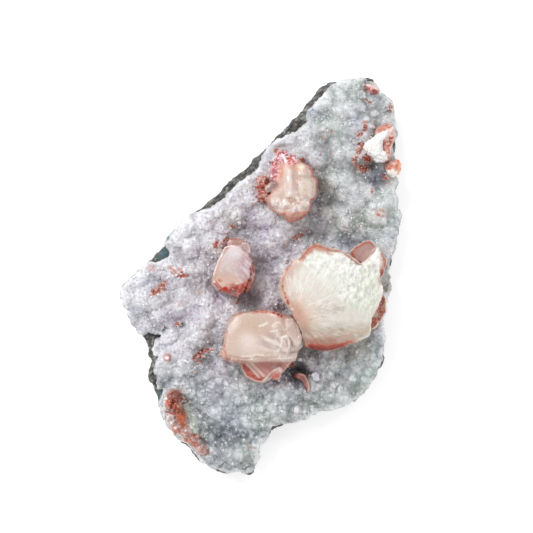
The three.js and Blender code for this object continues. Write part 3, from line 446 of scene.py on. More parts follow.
def threads(px, py, freq, seed, sharp=5.0):
    """Fine bright lines, curling."""
    wx = px + 5 * fbm(px * 0.05, py * 0.05, seed, 2, seed)
    wy = py + 5 * fbm(px * 0.05, py * 0.05, seed + 3.3, 2, seed + 1)
    return smooth(0.45, 0.95, 1 - sharp * np.abs(fbm(wx * freq, wy * freq, seed * 0.7, 2, seed + 2)))


def crust_colour(px, py, rim, f):
    south = smooth(320, 420, py)
    east = smooth(250, 360, px - 0.15 * (py - 270))
    west = smooth(235, 175, px + 0.12 * (py - 270)) * smooth(392, 345, py)
    b, g = f["b"], f["g"]
    near, mid, wide = f["near"], f["mid"], f["wide"]
    # the middle tone, then painted shade on what lies low and painted highlight on what stands up
    c = np.tile(hue(206, 201, 208), (len(px), 1))
    c = blend(c, hue(182, 190, 188), 0.9 * east)
    c = blend(c, hue(171, 180, 178), 0.85 * south)
    c = blend(c, hue(176, 178, 194), 0.7 * south * smooth(262, 215, px + 12 * fbm(px * 0.03, py * 0.03, 5, 2, 59)))
    c = blend(c, hue(164, 172, 162), 0.6 * south * smooth(0.0, 0.4, fbm(px * 0.03, py * 0.03, 3, 2, 60)))
    c = blend(c, hue(196, 186, 202), 0.65 * blob(px, py, 262, 275, 34, 52, 0.3, 0.6))
    c = blend(c, hue(222, 220, 226), 0.75 * west)
    c = blend(c, hue(212, 206, 200), 0.5 * blob(px, py, 235, 205, 45, 14, -0.7, 0.6))
    c = blend(c, hue(168, 178, 204), 0.5 * smooth(0.0, 0.45, fbm(px * 0.045, py * 0.045, 4, 2, 61)) * (0.5 + 0.5 * east))
    c = blend(c, hue(202, 186, 212), 0.45 * smooth(0.05, 0.5, fbm(px * 0.06, py * 0.06, 9, 2, 62)) * (1 - 0.75 * np.maximum(east, south)))
    c = blend(c, hue(184, 204, 194), 0.5 * smooth(0.0, 0.45, fbm(px * 0.05, py * 0.05, 14, 2, 63)) * np.maximum(east, 0.5 * south))
    low = smooth(0.10, -0.55, wide)
    c = c * (1 - (0.17 - 0.05 * west) * low)[:, None]
    c = blend(c, hue(238, 239, 242), 0.34 * smooth(0.05, 0.75, wide) * (1 - 0.35 * south))
    c = c * (1 - 0.12 * smooth(0.02, -0.32, mid))[:, None]
    c = blend(c, hue(240, 242, 246), 0.34 * smooth(0.04, 0.42, mid))
    # painted light brightens the middle between the crystals and a patch at the lower right; some broad patches are
    # made darker
    c = c * (1 + 0.20 * blob(px, py, 260, 270, 16, 38, 0.1, 0.7) - 0.11 * blob(px, py, 200, 405, 46, 40, 0, 0.7) - 0.10 * blob(px, py, 375, 140, 42, 66, 0, 0.7) - 0.09 * blob(px, py, 235, 440, 50, 34, 0, 0.7) - 0.05 * blob(px, py, 320, 395, 60, 24, -0.2, 0.7) + 0.06 * blob(px, py, 368, 360, 26, 34, 0, 0.7))[:, None]
    # smooth lumps: a pale, milky heart seen through a greyer skin, which also stands as a painted highlight on each
    # lump's top, and painted shade in the seams between lumps
    lump = (1 - b) * (0.35 + 0.65 * east)
    c = blend(c, hue(238, 240, 240), 0.42 * lump * smooth(0.75, 0.1, f["fq"]) * smooth(0.15, 0.6, f["fown"]))
    c = c * (1 - 0.16 * lump * np.exp(-f["fgap"] / 1.3))[:, None]
    # every bead: a pale heart that is partly a painted highlight, a darker ring near its edge, a bright skin line, and
    # painted shade in the seam where it meets the next
    own = f["own"] - 0.5
    tone = 1 + 0.30 * b * own + 0.16 * (f["sown"] - 0.5)
    tone *= 1 - 0.17 * b * np.exp(-(((f["q"] - 0.74) / 0.11) ** 2)) * smooth(0.1, 0.5, f["sown"])
    tone *= 1 - 0.08 * b * np.exp(-f["gap"] / 0.6) - (0.06 + 0.02 * b) * np.exp(-f["sgap"] / 0.38)
    tone *= 1 + 0.10 * (f["n1"] - 0.5) + 0.16 * (f["n2"] - 0.5)
    c = c * tone[:, None]
    pale_heart_highlight = b * smooth(0.55, 0.10, f["q"]) * smooth(0.25, 0.75, f["own"])
    c = blend(c, hue(232, 233, 236), 0.60 * pale_heart_highlight)
    c = blend(c, hue(226, 229, 233), 0.45 * b * np.exp(-(((f["q"] - 0.52) / 0.07) ** 2)) * smooth(0.3, 0.8, f["sown"]))
    # painted shade and highlight: the finest relief darker where it lies low and lighter where it stands up, with fine
    # grain
    c = c * (1 + 0.9 * np.clip(near, -0.16, 0.2) + 0.14 * g * fbm(px * 0.55, py * 0.55, 2, 3, 64) + 0.08 * fbm(px * 1.1, py * 1.1, 6, 2, 65))[:, None]
    c = blend(c, hue(232, 236, 238), 0.55 * smooth(0.85, 0.35, f["pq"]))
    c = c * (1 - 0.16 * np.exp(-(((f["pq"] - 0.98) / 0.14) ** 2)))[:, None]
    # painted glints on small faces that stand up
    c = blend(c, hue(250, 251, 253), 0.75 * smooth(0.90, 0.97, f["n2"]) * smooth(-0.2, 0.2, near) * (0.4 + 0.6 * smooth(0.3, 0.7, f["n1"])))
    # painted shade and shadow: deep hollows and the crust beside and below the crystals are darkened
    painted_shade_factor = np.ones(len(px))
    for x, y, rx, ry, turn, s in [
        (371, 166, 7, 5, 0.2, 0.80), (297, 371, 15, 7.5, 0.25, 0.82), (181, 403, 8, 6.5, 0.5, 0.62), (206, 358.5, 8, 5.5, -0.3, 0.45),
        (258, 282, 7, 20, 0.12, 0.12), (247, 303, 11, 7, -0.3, 0.36), (256, 262, 5, 12, 0, 0.10), (321, 195, 5, 20, 0.1, 0.30),
        (262, 206, 7, 5, 0, 0.25), (306, 352, 11, 5, 0, 0.42), (364, 236, 14, 6, 0.2, 0.20), (378, 181, 12, 6, 0.2, 0.34), (164.4, 328.6, 2.6, 3.8, 0.5, 0.85),
        (340, 357, 26, 4, 0.0, 0.22), (250, 386, 14, 5, 0.4, 0.16), (181.6, 325.4, 3.4, 2.8, -0.6, 0.8), (330, 204, 8, 5, 0.7, 0.25), (352, 244, 10, 4, 0.4, 0.28),
        (290, 249, 8, 5, -0.8, 0.28), (346, 168, 9, 5, -0.8, 0.22), (354, 200, 14, 4, -0.7, 0.2), (230, 440, 14, 10, 0.2, 0.16), (316, 120, 8, 6, -0.5, 0.2),
    ]:
        painted_shade_factor *= 1 - s * blob(px, py, x, y, rx, ry, turn, 0.75)
    c = c * painted_shade_factor[:, None]
    # milk-white threads along growth layers, partly painted reflection, and painted glints as bright points
    patch = smooth(-0.15, 0.45, fbm(px * 0.055, py * 0.055, 21, 2, 81))
    line = np.maximum(threads(px, py, 0.22, 83), 0.8 * threads(px, py, 0.40, 87, 4.0))
    c = blend(c, hue(244, 246, 248), 0.62 * line * patch * (0.55 + 0.45 * (1 - b)) * np.clip(painted_shade_factor * 1.4 - 0.4, 0, 1))
    dark_line = threads(px, py, 0.27, 93)
    c = c * (1 - 0.20 * dark_line * (0.5 + 0.5 * south))[:, None]
    sparkle = smooth(-0.5, 0.5, fbm(px * 0.05, py * 0.05, 31, 2, 97))
    tiny = glint_specks(px, py, 4.6, 0.5, 1.1, 99, 0.18) * (0.35 + 0.65 * sparkle)
    large = glint_specks(px, py, 11.0, 0.9, 1.8, 101, 0.28) * (0.4 + 0.6 * sparkle)
    c = blend(c, hue(254, 254, 255), 0.95 * np.maximum(tiny, large) * np.clip(painted_shade_factor * 1.6 - 0.35, 0.25, 1))
    # white frosting on the rim and in patches of druse
    frost = smooth(4.2, 0.6, rim + 1.8 * fbm(px * 0.2, py * 0.2, 3, 2, 67)) * (0.85 - 0.25 * east)
    c = blend(c, hue(244, 245, 246), 0.88 * frost * smooth(-0.3, 0.3, fbm(px * 0.1, py * 0.1, 13, 2, 68) + 0.25))
    c = blend(c, hue(120, 108, 88), 0.4 * smooth(1.9, 0.2, rim) * smooth(0.0, 0.45, fbm(px * 0.14, py * 0.14, 8, 2, 73)))
    # painted light brightens the middle between the crystals and two patches lower down, with a cooler tint
    lift = 0.10 * blob(px, py, 265, 262, 20, 42, 0, 0.7) + 0.07 * blob(px, py, 357, 372, 24, 22, 0, 0.6) + 0.05 * blob(px, py, 240, 415, 34, 30, 0, 0.6)
    c = c * (1 + lift[:, None] * np.array([0.8, 1.15, 1.1]))
    c = blend(c, hue(186, 183, 189), np.full(len(px), 0.09))
    c = blend(c, hue(178, 184, 180), 0.05 * blob(px, py, 357, 372, 24, 22, 0, 0.6))
    c = blend(c, hue(180, 174, 182), 0.16 * blob(px, py, 265, 262, 20, 42, 0, 0.7))
    seams = np.maximum.reduce([
        stroke(px + 1.2 * fbm(px * 0.2, py * 0.2, 1, 2, 103), py, line, width, 0.9)
        for line, width in [
            ([(151, 294), (156, 289), (162, 284), (167, 281)], 1.9), ([(153, 296), (160, 292), (166, 289)], 1.1), ([(147, 264), (153, 268), (160, 270)], 0.9),
            ([(170, 267), (175, 272), (181, 276), (187, 278)], 1.3), ([(178, 268), (182, 273), (186, 277)], 0.9),
        ]
    ])
    c = blend(c, hue(208, 112, 82), 0.8 * seams * smooth(-0.35, 0.15, fbm(px * 0.5, py * 0.5, 2, 3, 104)))
    # the olive knot beside the fan
    knot = blob(px, py, 387, 284, 5.5, 10.5, -0.35, 0.3)
    c = blend(c, hue(152, 150, 130), 0.85 * knot * (0.75 + 0.25 * noise(px * 0.5, py * 0.5, 2, 74)))
    c = c * (1 - 0.35 * knot * np.maximum(stroke(px, py, [(383, 278), (388, 283), (387, 289), (383, 294)], 0.9, 0.8), stroke(px, py, [(381, 283), (384, 288)], 0.7, 0.8)))[:, None]
    # iron red: a pink halo with a strong orange-red in the seams
    r = stain(px, py)
    c = blend(c, hue(220, 172, 154), 0.75 * smooth(0.02, 0.34, r))
    c = blend(c, RED, 0.95 * smooth(0.26, 0.62, r))
    c = blend(c, DEEP_RED, 0.7 * smooth(0.66, 0.95, r))
    c = blend(c, hue(78, 104, 112), 0.85 * blob(px, py, 167, 238, 3.0, 2.4, -0.8, 0.4))
    # the pale greenish strip beside the red ridge
    strip = stroke(px, py, [(184, 407), (189.5, 415), (193, 424), (194.5, 432)], 3.6, 0.5)
    c = blend(c, hue(196, 204, 188), 0.75 * strip)
    c = blend(c, hue(232, 238, 230), 0.7 * stroke(px, py, [(180, 404), (186, 411), (189.6, 419), (191.2, 428)], 0.9, 0.8))
    return c


# ---- meshes ---------------------------------------------------------------------------------------------------------------
def mesh_object(name, v, faces, colour=None, flat=False):
    """v in mm. faces is a list of index arrays, each of triangles or of quads."""
    me = bpy.data.meshes.new(name)
    loops = np.concatenate([np.asarray(f, np.int32).ravel() for f in faces])
    sizes = np.concatenate([np.full(len(f), np.asarray(f).shape[1], np.int32) for f in faces])
    me.vertices.add(len(v))
    me.vertices.foreach_set("co", (np.asarray(v, float) * 0.001).astype(np.float32).ravel())
    me.loops.add(len(loops))
    me.loops.foreach_set("vertex_index", loops)
    me.polygons.add(len(sizes))
    me.polygons.foreach_set("loop_start", np.concatenate([[0], np.cumsum(sizes)[:-1]]).astype(np.int32))
    me.polygons.foreach_set("use_smooth", np.full(len(sizes), not flat))
    me.update(calc_edges=True)
    me.validate()
    if colour is not None:
        a = me.color_attributes.new("tint", "FLOAT_COLOR", "POINT")
        rgba = np.ones((len(v), 4), np.float32)
        rgba[:, :3] = np.clip(colour, 0.004, 0.95)
        a.data.foreach_set("color", rgba.ravel())
    ob = bpy.data.objects.new(name, me)
    scene.collection.objects.link(ob)
    return ob


def arrays_of(me):
    v = np.zeros(len(me.vertices) * 3, np.float32)
    me.vertices.foreach_get("co", v)
    loops = np.zeros(len(me.loops), np.int32)
    me.loops.foreach_get("vertex_index", loops)
    sizes = np.zeros(len(me.polygons), np.int32)
    me.polygons.foreach_get("loop_total", sizes)
    starts = np.concatenate([[0], np.cumsum(sizes)[:-1]])
    faces = [loops[starts[sizes == k][:, None] + np.arange(k)] for k in (3, 4) if (sizes == k).any()]
    return v.reshape(-1, 3).astype(float), faces


def normals_of(v, faces):
    n = np.zeros_like(v)
    for f in faces:
        a = np.cross(v[f[:, 1]] - v[f[:, 0]], v[f[:, -1]] - v[f[:, 0]])
        if f.shape[1] == 4:
            a = np.cross(v[f[:, 2]] - v[f[:, 0]], v[f[:, 3]] - v[f[:, 1]])
        for k in range(f.shape[1]):
            for axis in range(3):
                n[:, axis] += np.bincount(f[:, k], a[:, axis], len(v))
    return n / np.maximum(np.linalg.norm(n, axis=1, keepdims=True), 1e-12)


def relaxed(v, faces, rounds, amount=0.5):
    ends = np.concatenate([np.stack([f[:, k], f[:, (k + 1) % f.shape[1]]], 1) for f in faces for k in range(f.shape[1])])
    count = np.maximum(np.bincount(ends[:, 0], minlength=len(v)) + np.bincount(ends[:, 1], minlength=len(v)), 1)
    for _ in range(rounds):
        mean = np.stack(
            [np.bincount(ends[:, 0], v[ends[:, 1], k], len(v)) + np.bincount(ends[:, 1], v[ends[:, 0], k], len(v)) for k in range(3)], 1
        ) / count[:, None]
        v = v + amount * (mean - v)
    return v


def remeshed(shells, voxel):
    """One closed skin round a set of overlapping closed shells, with points about voxel mm apart."""
    v, faces, base = [], [], 0
    for sv, sf in shells:
        v.append(sv)
        for f in sf:
            faces.append(np.asarray(f) + base)
        base += len(sv)
    me = bpy.data.meshes.new("shells")
    flat_faces = [list(map(int, row)) for f in faces for row in f]
    me.from_pydata([tuple(p) for p in np.concatenate(v)], [], flat_faces)
    me.update()
    ob = bpy.data.objects.new("shells", me)
    scene.collection.objects.link(ob)
    m = ob.modifiers.new("skin", "REMESH")
    m.mode = "VOXEL"
    m.voxel_size = voxel
    m.adaptivity = 0
    bpy.context.view_layer.update()
    ev = ob.evaluated_get(bpy.context.evaluated_depsgraph_get())
    out = arrays_of(ev.to_mesh())
    ev.to_mesh_clear()
    bpy.data.objects.remove(ob)
    bpy.data.meshes.remove(me)
    return out


def rounded_ring(ring, times):
    """The same closed outline with its corners eased, times as many points."""
    p = np.array(ring, float)
    a, b, c, d = np.roll(p, 1, 0), p, np.roll(p, -1, 0), np.roll(p, -2, 0)
    out = []
    for k in range(times):
        t = k / times
        out.append(0.5 * (2 * b + (c - a) * t + (2 * a - 5 * b + 4 * c - d) * t * t + (3 * b - a - 3 * c + d) * t**3))
    return np.stack(out, 1).reshape(-1, 2)


def shell(outline, levels, middle=None, ease=1, rows=1):
    """Rings of plan points from a crystal's root to its top. Each level is (share of the outline's size, height)."""
    ring = np.array(outline, float)
    x, y = ring[:, 0], ring[:, 1]
    if np.sum(x * np.roll(y, -1) - np.roll(x, -1) * y) < 0:
        ring = ring[::-1]
    if ease > 1:
        ring = rounded_ring(ring, ease)
    n = len(ring)
    c = np.array(middle, float) if middle else ring.mean(0)
    height = lambda z, p: z(p[:, 0], p[:, 1]) if callable(z) else np.full(len(p), float(z))
    rings = []
    for k, (share, z) in enumerate(levels):
        p = c + (ring - c) * share
        rings.append((p, height(z, p)))
        if k + 1 < len(levels):
            share2, z2 = levels[k + 1]
            for m in range(1, rows):
                t = m / rows
                q = c + (ring - c) * (share * (1 - t) + share2 * t)
                rings.append((q, height(z, q) * (1 - t) + height(z2, q) * t))
    v = [tall(p[:, 0], p[:, 1], h) for p, h in rings]
    low = np.array([c]); zl = height(levels[0][1], low)
    high = np.array([c]); zh = height(levels[-1][1], high)
    v += [tall(low[:, 0], low[:, 1], zl), tall(high[:, 0], high[:, 1], zh)]
    v = np.concatenate(v)
    i = np.arange(n)
    j = (i + 1) % n
    quads = np.concatenate([np.stack([k * n + i, (k + 1) * n + i, (k + 1) * n + j, k * n + j], 1) for k in range(len(rings) - 1)])
    last = (len(rings) - 1) * n
    a, b = len(v) - 2, len(v) - 1
    tris = np.concatenate([np.stack([np.full(n, a), i, j], 1), np.stack([np.full(n, b), last + j, last + i], 1)])
    return v, [quads, tris]


def oval(cx, cy, rx, ry, n=12, turn=0.0):
    a = 2 * math.pi * np.arange(n) / n
    x, y = rx * np.cos(a), ry * np.sin(a)
    return [(cx + p * math.cos(turn) - q * math.sin(turn), cy + p * math.sin(turn) + q * math.cos(turn)) for p, q in zip(x, y)]


def under(f, drop):
    return lambda x, y: f(x, y) - drop


def tilted(cx, cy, z, gx, gy):
    return lambda x, y: z + gx * (x - cx) + gy * (y - cy)


def domed(cx, cy, peak, kx, ky):
    return lambda x, y: peak - kx * (x - cx) ** 2 - ky * (y - cy) ** 2


# ---- materials ------------------------------------------------------------------------------------------------------------
def material(name, roughness=(0.3, 0.5), fine=9000.0, contrast=0.12, bump=0.25, bump_mm=0.05, bump_scale=6000.0, inner=0.0,
             inner_mm=(1.0, 0.6, 0.45), clear=0.0, clear_noise=None, ior=1.54, coat=0.0, sheen=0.0, grain=2.2, glint=0.0):
    """One surface: the mesh's tint, varied finely, with its own roughness and bump."""
    m = bpy.data.materials.new(name)
    m.use_nodes = True
    nt = m.node_tree
    nt.nodes.clear()
    out = nt.nodes.new("ShaderNodeOutputMaterial")
    bsdf = nt.nodes.new("ShaderNodeBsdfPrincipled")
    nt.links.new(bsdf.outputs["BSDF"], out.inputs["Surface"])
    where = nt.nodes.new("ShaderNodeTexCoord")
    tint = nt.nodes.new("ShaderNodeAttribute")
    tint.attribute_name = "tint"

    def texture(scale, detail, rough, dist=0.0):
        t = nt.nodes.new("ShaderNodeTexNoise")
        t.inputs["Scale"].default_value = scale
        t.inputs["Detail"].default_value = detail
        t.inputs["Roughness"].default_value = rough
        t.inputs["Distortion"].default_value = dist
        nt.links.new(where.outputs["Object"], t.inputs["Vector"])
        return t

    speckle = texture(fine, 3.0, 0.62)
    ramp = nt.nodes.new("ShaderNodeMapRange")
    ramp.inputs["From Min"].default_value = 0.32
    ramp.inputs["From Max"].default_value = 0.68
    ramp.inputs["To Min"].default_value = 1 - contrast
    ramp.inputs["To Max"].default_value = 1 + contrast
    nt.links.new(speckle.outputs["Fac"], ramp.inputs["Value"])
    cloud = texture(fine * 0.08, 2.0, 0.5)
    ramp2 = nt.nodes.new("ShaderNodeMapRange")
    ramp2.inputs["From Min"].default_value = 0.3
    ramp2.inputs["From Max"].default_value = 0.7
    ramp2.inputs["To Min"].default_value = 1 - contrast * 0.5
    ramp2.inputs["To Max"].default_value = 1 + contrast * 0.5
    nt.links.new(cloud.outputs["Fac"], ramp2.inputs["Value"])
    both = nt.nodes.new("ShaderNodeMath")
    both.operation = "MULTIPLY"
    nt.links.new(ramp.outputs["Result"], both.inputs[0])
    nt.links.new(ramp2.outputs["Result"], both.inputs[1])
    scale = nt.nodes.new("ShaderNodeVectorMath")
    scale.operation = "SCALE"
    nt.links.new(tint.outputs["Color"], scale.inputs[0])
    nt.links.new(both.outputs[0], scale.inputs["Scale"])
    nt.links.new(scale.outputs["Vector"], bsdf.inputs["Base Color"])

    rmap = nt.nodes.new("ShaderNodeMapRange")
    rmap.inputs["From Min"].default_value = 0.35
    rmap.inputs["From Max"].default_value = 0.65
    rmap.inputs["To Min"].default_value = roughness[0]
    rmap.inputs["To Max"].default_value = roughness[1]
    rtex = texture(fine * 0.35, 3.0, 0.6)
    nt.links.new(rtex.outputs["Fac"], rmap.inputs["Value"])
    nt.links.new(rmap.outputs["Result"], bsdf.inputs["Roughness"])

    if bump > 0:
        height = texture(bump_scale, 4.0, 0.6)
        grains = nt.nodes.new("ShaderNodeTexVoronoi")
        grains.inputs["Scale"].default_value = bump_scale * 0.55
        nt.links.new(where.outputs["Object"], grains.inputs["Vector"])
        mix = nt.nodes.new("ShaderNodeMath")
        mix.operation = "ADD"
        nt.links.new(height.outputs["Fac"], mix.inputs[0])
        nt.links.new(grains.outputs["Distance"], mix.inputs[1])
        bp = nt.nodes.new("ShaderNodeBump")
        bp.inputs["Strength"].default_value = bump
        bp.inputs["Distance"].default_value = bump_mm * 0.001
        nt.links.new(mix.outputs[0], bp.inputs["Height"])
        nt.links.new(bp.outputs["Normal"], bsdf.inputs["Normal"])

    bsdf.inputs["IOR"].default_value = ior
    bsdf.inputs["Coat Weight"].default_value = coat
    bsdf.inputs["Coat Roughness"].default_value = 0.12
    bsdf.inputs["Transmission Weight"].default_value = clear
    if inner > 0:
        bsdf.inputs["Subsurface Weight"].default_value = inner
        bsdf.inputs["Subsurface Radius"].default_value = inner_mm
        bsdf.inputs["Subsurface Scale"].default_value = 0.001
    return m


M_CRUST = material("chalcedony", (0.10, 0.42), 4200, 0.08, 0.5, 0.08, 3000, 0.40, (0.6, 0.62, 0.7))
M_DRUSE = material("druse_grains", (0.12, 0.30), 3000, 0.06, 0.05, 0.01, 3000, inner=0.0, ior=1.6)
M_BASALT = material("basalt", (0.55, 0.9), 2000, 0.42, 1.0, 0.3, 1900, 0.0)
M_FAN = material("fan_fibres", (0.35, 0.6), 3500, 0.06, 0.35, 0.06, 3500, 0.22, (0.6, 0.45, 0.35))
M_PEACH = material("peach_crystal", (0.14, 0.30), 2500, 0.05, 0.15, 0.03, 1500, 0.35, (0.9, 0.55, 0.45), clear=0.08, ior=1.535, coat=0.15)
M_PINK = material("pearly_pink", (0.16, 0.36), 3200, 0.08, 0.3, 0.05, 2600, 0.4, (0.8, 0.5, 0.4), coat=0.3)
M_WHITE = material("white_fluff", (0.6, 0.85), 4000, 0.06, 0.6, 0.10, 4000, 0.35, (1.0, 1.0, 1.0))
M_ORANGE = material("orange_crystal", (0.3, 0.5), 3200, 0.10, 0.4, 0.06, 3000, 0.3, (0.6, 0.4, 0.3))
M_RED = material("red_crystal", (0.16, 0.40), 3200, 0.14, 0.4, 0.06, 2600, 0.25, (0.4, 0.25, 0.2), coat=0.2)
M_POINTS = material("red_points", (0.12, 0.3), 3000, 0.10, 0.05, 0.01, 3000, inner=0.0, ior=1.55)
M_CLEAR = material("clear_crystal", (0.05, 0.14), 2500, 0.04, 0.15, 0.03, 1500, 0.0, clear=0.30, ior=1.54, coat=0.3)


# ---- the crust --------------------------------------------------------------------------------------------------------------
def finish_piece(ob, mat, replaces=()):
    ob.data.materials.clear()
    ob.data.materials.append(mat)
    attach(ob, "root")
    if replaces:
        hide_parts(*replaces)
    return ob


def clipped_plate(ring, step, ragged=0.0, seed=3):
    """Grid cells inside a ragged outline, its border pulled onto the outline: points, cells, and the border in order."""
    r = np.array(ring, float)
    xs = np.arange(r[:, 0].min() - 4, r[:, 0].max() + 4, step)
    ys = np.arange(r[:, 1].min() - 4, r[:, 1].max() + 4, step)
    gx, gy = np.meshgrid(xs, ys)

    def rim(px, py):
        d = edge_distance(px, py, ring)
        return d + ragged * fbm(px * 0.22, py * 0.22, seed, 3, seed)

    d = rim(gx.ravel(), gy.ravel()).reshape(gx.shape)
    keep = (d[:-1, :-1] + d[1:, :-1] + d[:-1, 1:] + d[1:, 1:]) / 4 > 0
    for _ in range(6):  # no two cells may meet only at a corner
        a = keep[:-1, :-1] & keep[1:, 1:] & ~keep[1:, :-1] & ~keep[:-1, 1:]
        b = ~keep[:-1, :-1] & ~keep[1:, 1:] & keep[1:, :-1] & keep[:-1, 1:]
        if not (a.any() or b.any()):
            break
        keep[1:, :-1] |= a
        keep[:-1, :-1] |= b
    # the largest joined region only
    label = np.where(keep, np.arange(keep.size).reshape(keep.shape), -1)
    while True:
        grown = label.copy()
        grown[1:] = np.maximum(grown[1:], label[:-1]); grown[:-1] = np.maximum(grown[:-1], label[1:])
        grown[:, 1:] = np.maximum(grown[:, 1:], label[:, :-1]); grown[:, :-1] = np.maximum(grown[:, :-1], label[:, 1:])
        grown = np.where(keep, grown, -1)
        flat = grown.ravel()
        flat = np.where(flat >= 0, flat[np.maximum(flat, 0)], -1)  # jump to the label's own label
        grown = flat.reshape(grown.shape)
        if (grown == label).all():
            break
        label = grown
    names, sizes = np.unique(label[label >= 0], return_counts=True)
    keep = label == names[np.argmax(sizes)]
    jj, ii = np.nonzero(keep)
    w = len(xs)
    cells = np.stack([jj * w + ii, (jj + 1) * w + ii, (jj + 1) * w + ii + 1, jj * w + ii + 1], 1)  # y runs down the page
    used, cells = np.unique(cells, return_inverse=True)
    cells = cells.reshape(-1, 4)
    px, py = gx.ravel()[used], gy.ravel()[used]
    edges = np.concatenate([np.stack([cells[:, k], cells[:, (k + 1) % 4]], 1) for k in range(4)])
    n = len(px)
    key = edges[:, 0].astype(np.int64) * n + edges[:, 1]
    back = edges[:, 1].astype(np.int64) * n + edges[:, 0]
    border = edges[~np.isin(key, back)]
    after = dict(map(tuple, border))
    loops = []
    while after:
        start = next(iter(after))
        loop = [start]
        nxt = after.pop(start)
        while nxt != start:
            loop.append(nxt)
            nxt = after.pop(nxt)
        loops.append(loop)
    loop = np.array(max(loops, key=len))
    for _ in range(3):
        e = 0.05
        bx, by = px[loop], py[loop]
        d0 = rim(bx, by)
        sx, sy = (rim(bx + e, by) - d0) / e, (rim(bx, by + e) - d0) / e
        g2 = np.maximum(sx * sx + sy * sy, 0.3)
        px[loop] = bx - np.clip(d0 * sx / g2, -0.6 * step, 0.6 * step)
        py[loop] = by - np.clip(d0 * sy / g2, -0.6 * step, 0.6 * step)
    # even out the border
    for _ in range(2):
        px[loop] = 0.5 * px[loop] + 0.25 * (np.roll(px[loop], 1) + np.roll(px[loop], -1))
        py[loop] = 0.5 * py[loop] + 0.25 * (np.roll(py[loop], 1) + np.roll(py[loop], -1))
    tx, ty = np.roll(px[loop], -1) - np.roll(px[loop], 1), np.roll(py[loop], -1) - np.roll(py[loop], 1)
    length = np.maximum(np.hypot(tx, ty), 1e-9)
    return px, py, cells, loop, (tx / length, ty / length), rim


def crust():
    step = 0.96
    px, py, cells, loop, (tx, ty), rim_of = clipped_plate(CRUST_OUTLINE, step, 1.5)
    rim = np.maximum(rim_of(px, py), 0)
    fz, f = fine_z(px, py)
    f["near"], f["small"], f["mid"], f["wide"] = (sampled(k, px, py) for k in standing())
    z = broad_z(px, py, rim) + fz * smooth(-0.5, 3.0, rim + 1.0)
    z = np.maximum(z, interface_z(px, py) + 1.2)
    colour = crust_colour(px, py, rim, f)
    v = place(px, py, z)
    # the broken rim, in rings from the top edge down into the basalt
    rows = 11
    n = len(loop)
    bx, by, bz = px[loop], py[loop], z[loop]
    # outwards is to one side of the border's direction
    area = np.sum(bx * np.roll(by, -1) - np.roll(bx, -1) * by)
    ox, oy = (ty, -tx) if area > 0 else (-ty, tx)
    foot = interface_z(bx, by) - 0.5
    rings, tints = [], []
    top = colour[loop]
    for k in range(1, rows + 1):
        t = k / rows
        zz = bz * (1 - t) + foot * t
        out = (0.45 * math.sin(math.pi * min(1, t * 1.25)) - 0.9 * t * t) / PLAN_UNIT
        out = out + 1.9 * fbm(bx * 0.18, by * 0.18, zz * 0.55, 4, 91) * math.sin(math.pi * min(1, t * 1.1)) ** 0.5
        out = out + 1.1 * fbm(bx * 0.38, by * 0.38, zz * 1.5, 3, 94) * math.sin(math.pi * min(1, t * 1.1)) ** 0.5
        rings.append(place(bx + ox * out, by + oy * out, zz))
        band = fbm(bx * 0.05, by * 0.05, zz * 2.2, 3, 92)
        wall = np.tile(hue(162, 168, 174), (n, 1))
        wall = blend(wall, hue(206, 208, 210), smooth(0.0, 0.5, band))
        wall = blend(wall, hue(128, 138, 140), smooth(0.1, 0.6, -band) * 0.8)
        wall = blend(wall, hue(92, 112, 108), smooth(0.72, 0.98, t + 0.12 * band) * 0.85)
        wall = wall * (1 + 0.30 * fbm(bx * 0.5, by * 0.5, zz * 1.6, 3, 93))[:, None]
        wall = wall * (1 - smooth(0.05, 0.2, t)) + wall * smooth(0.05, 0.2, t)
        tints.append(top * (1 - smooth(0.0, 0.22, t)) + wall * smooth(0.0, 0.22, t))
    base = len(v)
    v = np.concatenate([v] + rings)
    colour = np.concatenate([colour] + tints)
    i = np.arange(n)
    j = (i + 1) % n
    walls = []
    previous = loop
    for k in range(rows):
        current = base + k * n + i
        walls.append(np.stack([previous[j], previous[i], current[i], current[j]], 1))
        previous = current
    centre = len(v)
    v = np.concatenate([v, np.array([[0.0, 0.0, float(foot.mean())]])])
    colour = np.concatenate([colour, hue(120, 120, 120)[None]])
    # the hidden underside
    from mathutils.geometry import tessellate_polygon

    under_ring = v[previous]
    tris = np.array(tessellate_polygon([[Vector(p) for p in under_ring]]))
    a, b, c = under_ring[tris[:, 0]], under_ring[tris[:, 1]], under_ring[tris[:, 2]]
    turn = (b[:, 0] - a[:, 0]) * (c[:, 1] - a[:, 1]) - (b[:, 1] - a[:, 1]) * (c[:, 0] - a[:, 0])
    tris[turn > 0] = tris[turn > 0][:, ::-1]
    v, colour = v[:-1], colour[:-1]
    ob = mesh_object("crust_surface", v, [cells, np.concatenate(walls), previous[tris]], colour)
    print("crust", len(v), "points")
    return finish_piece(ob, M_CRUST, ["chalcedony_crust"])


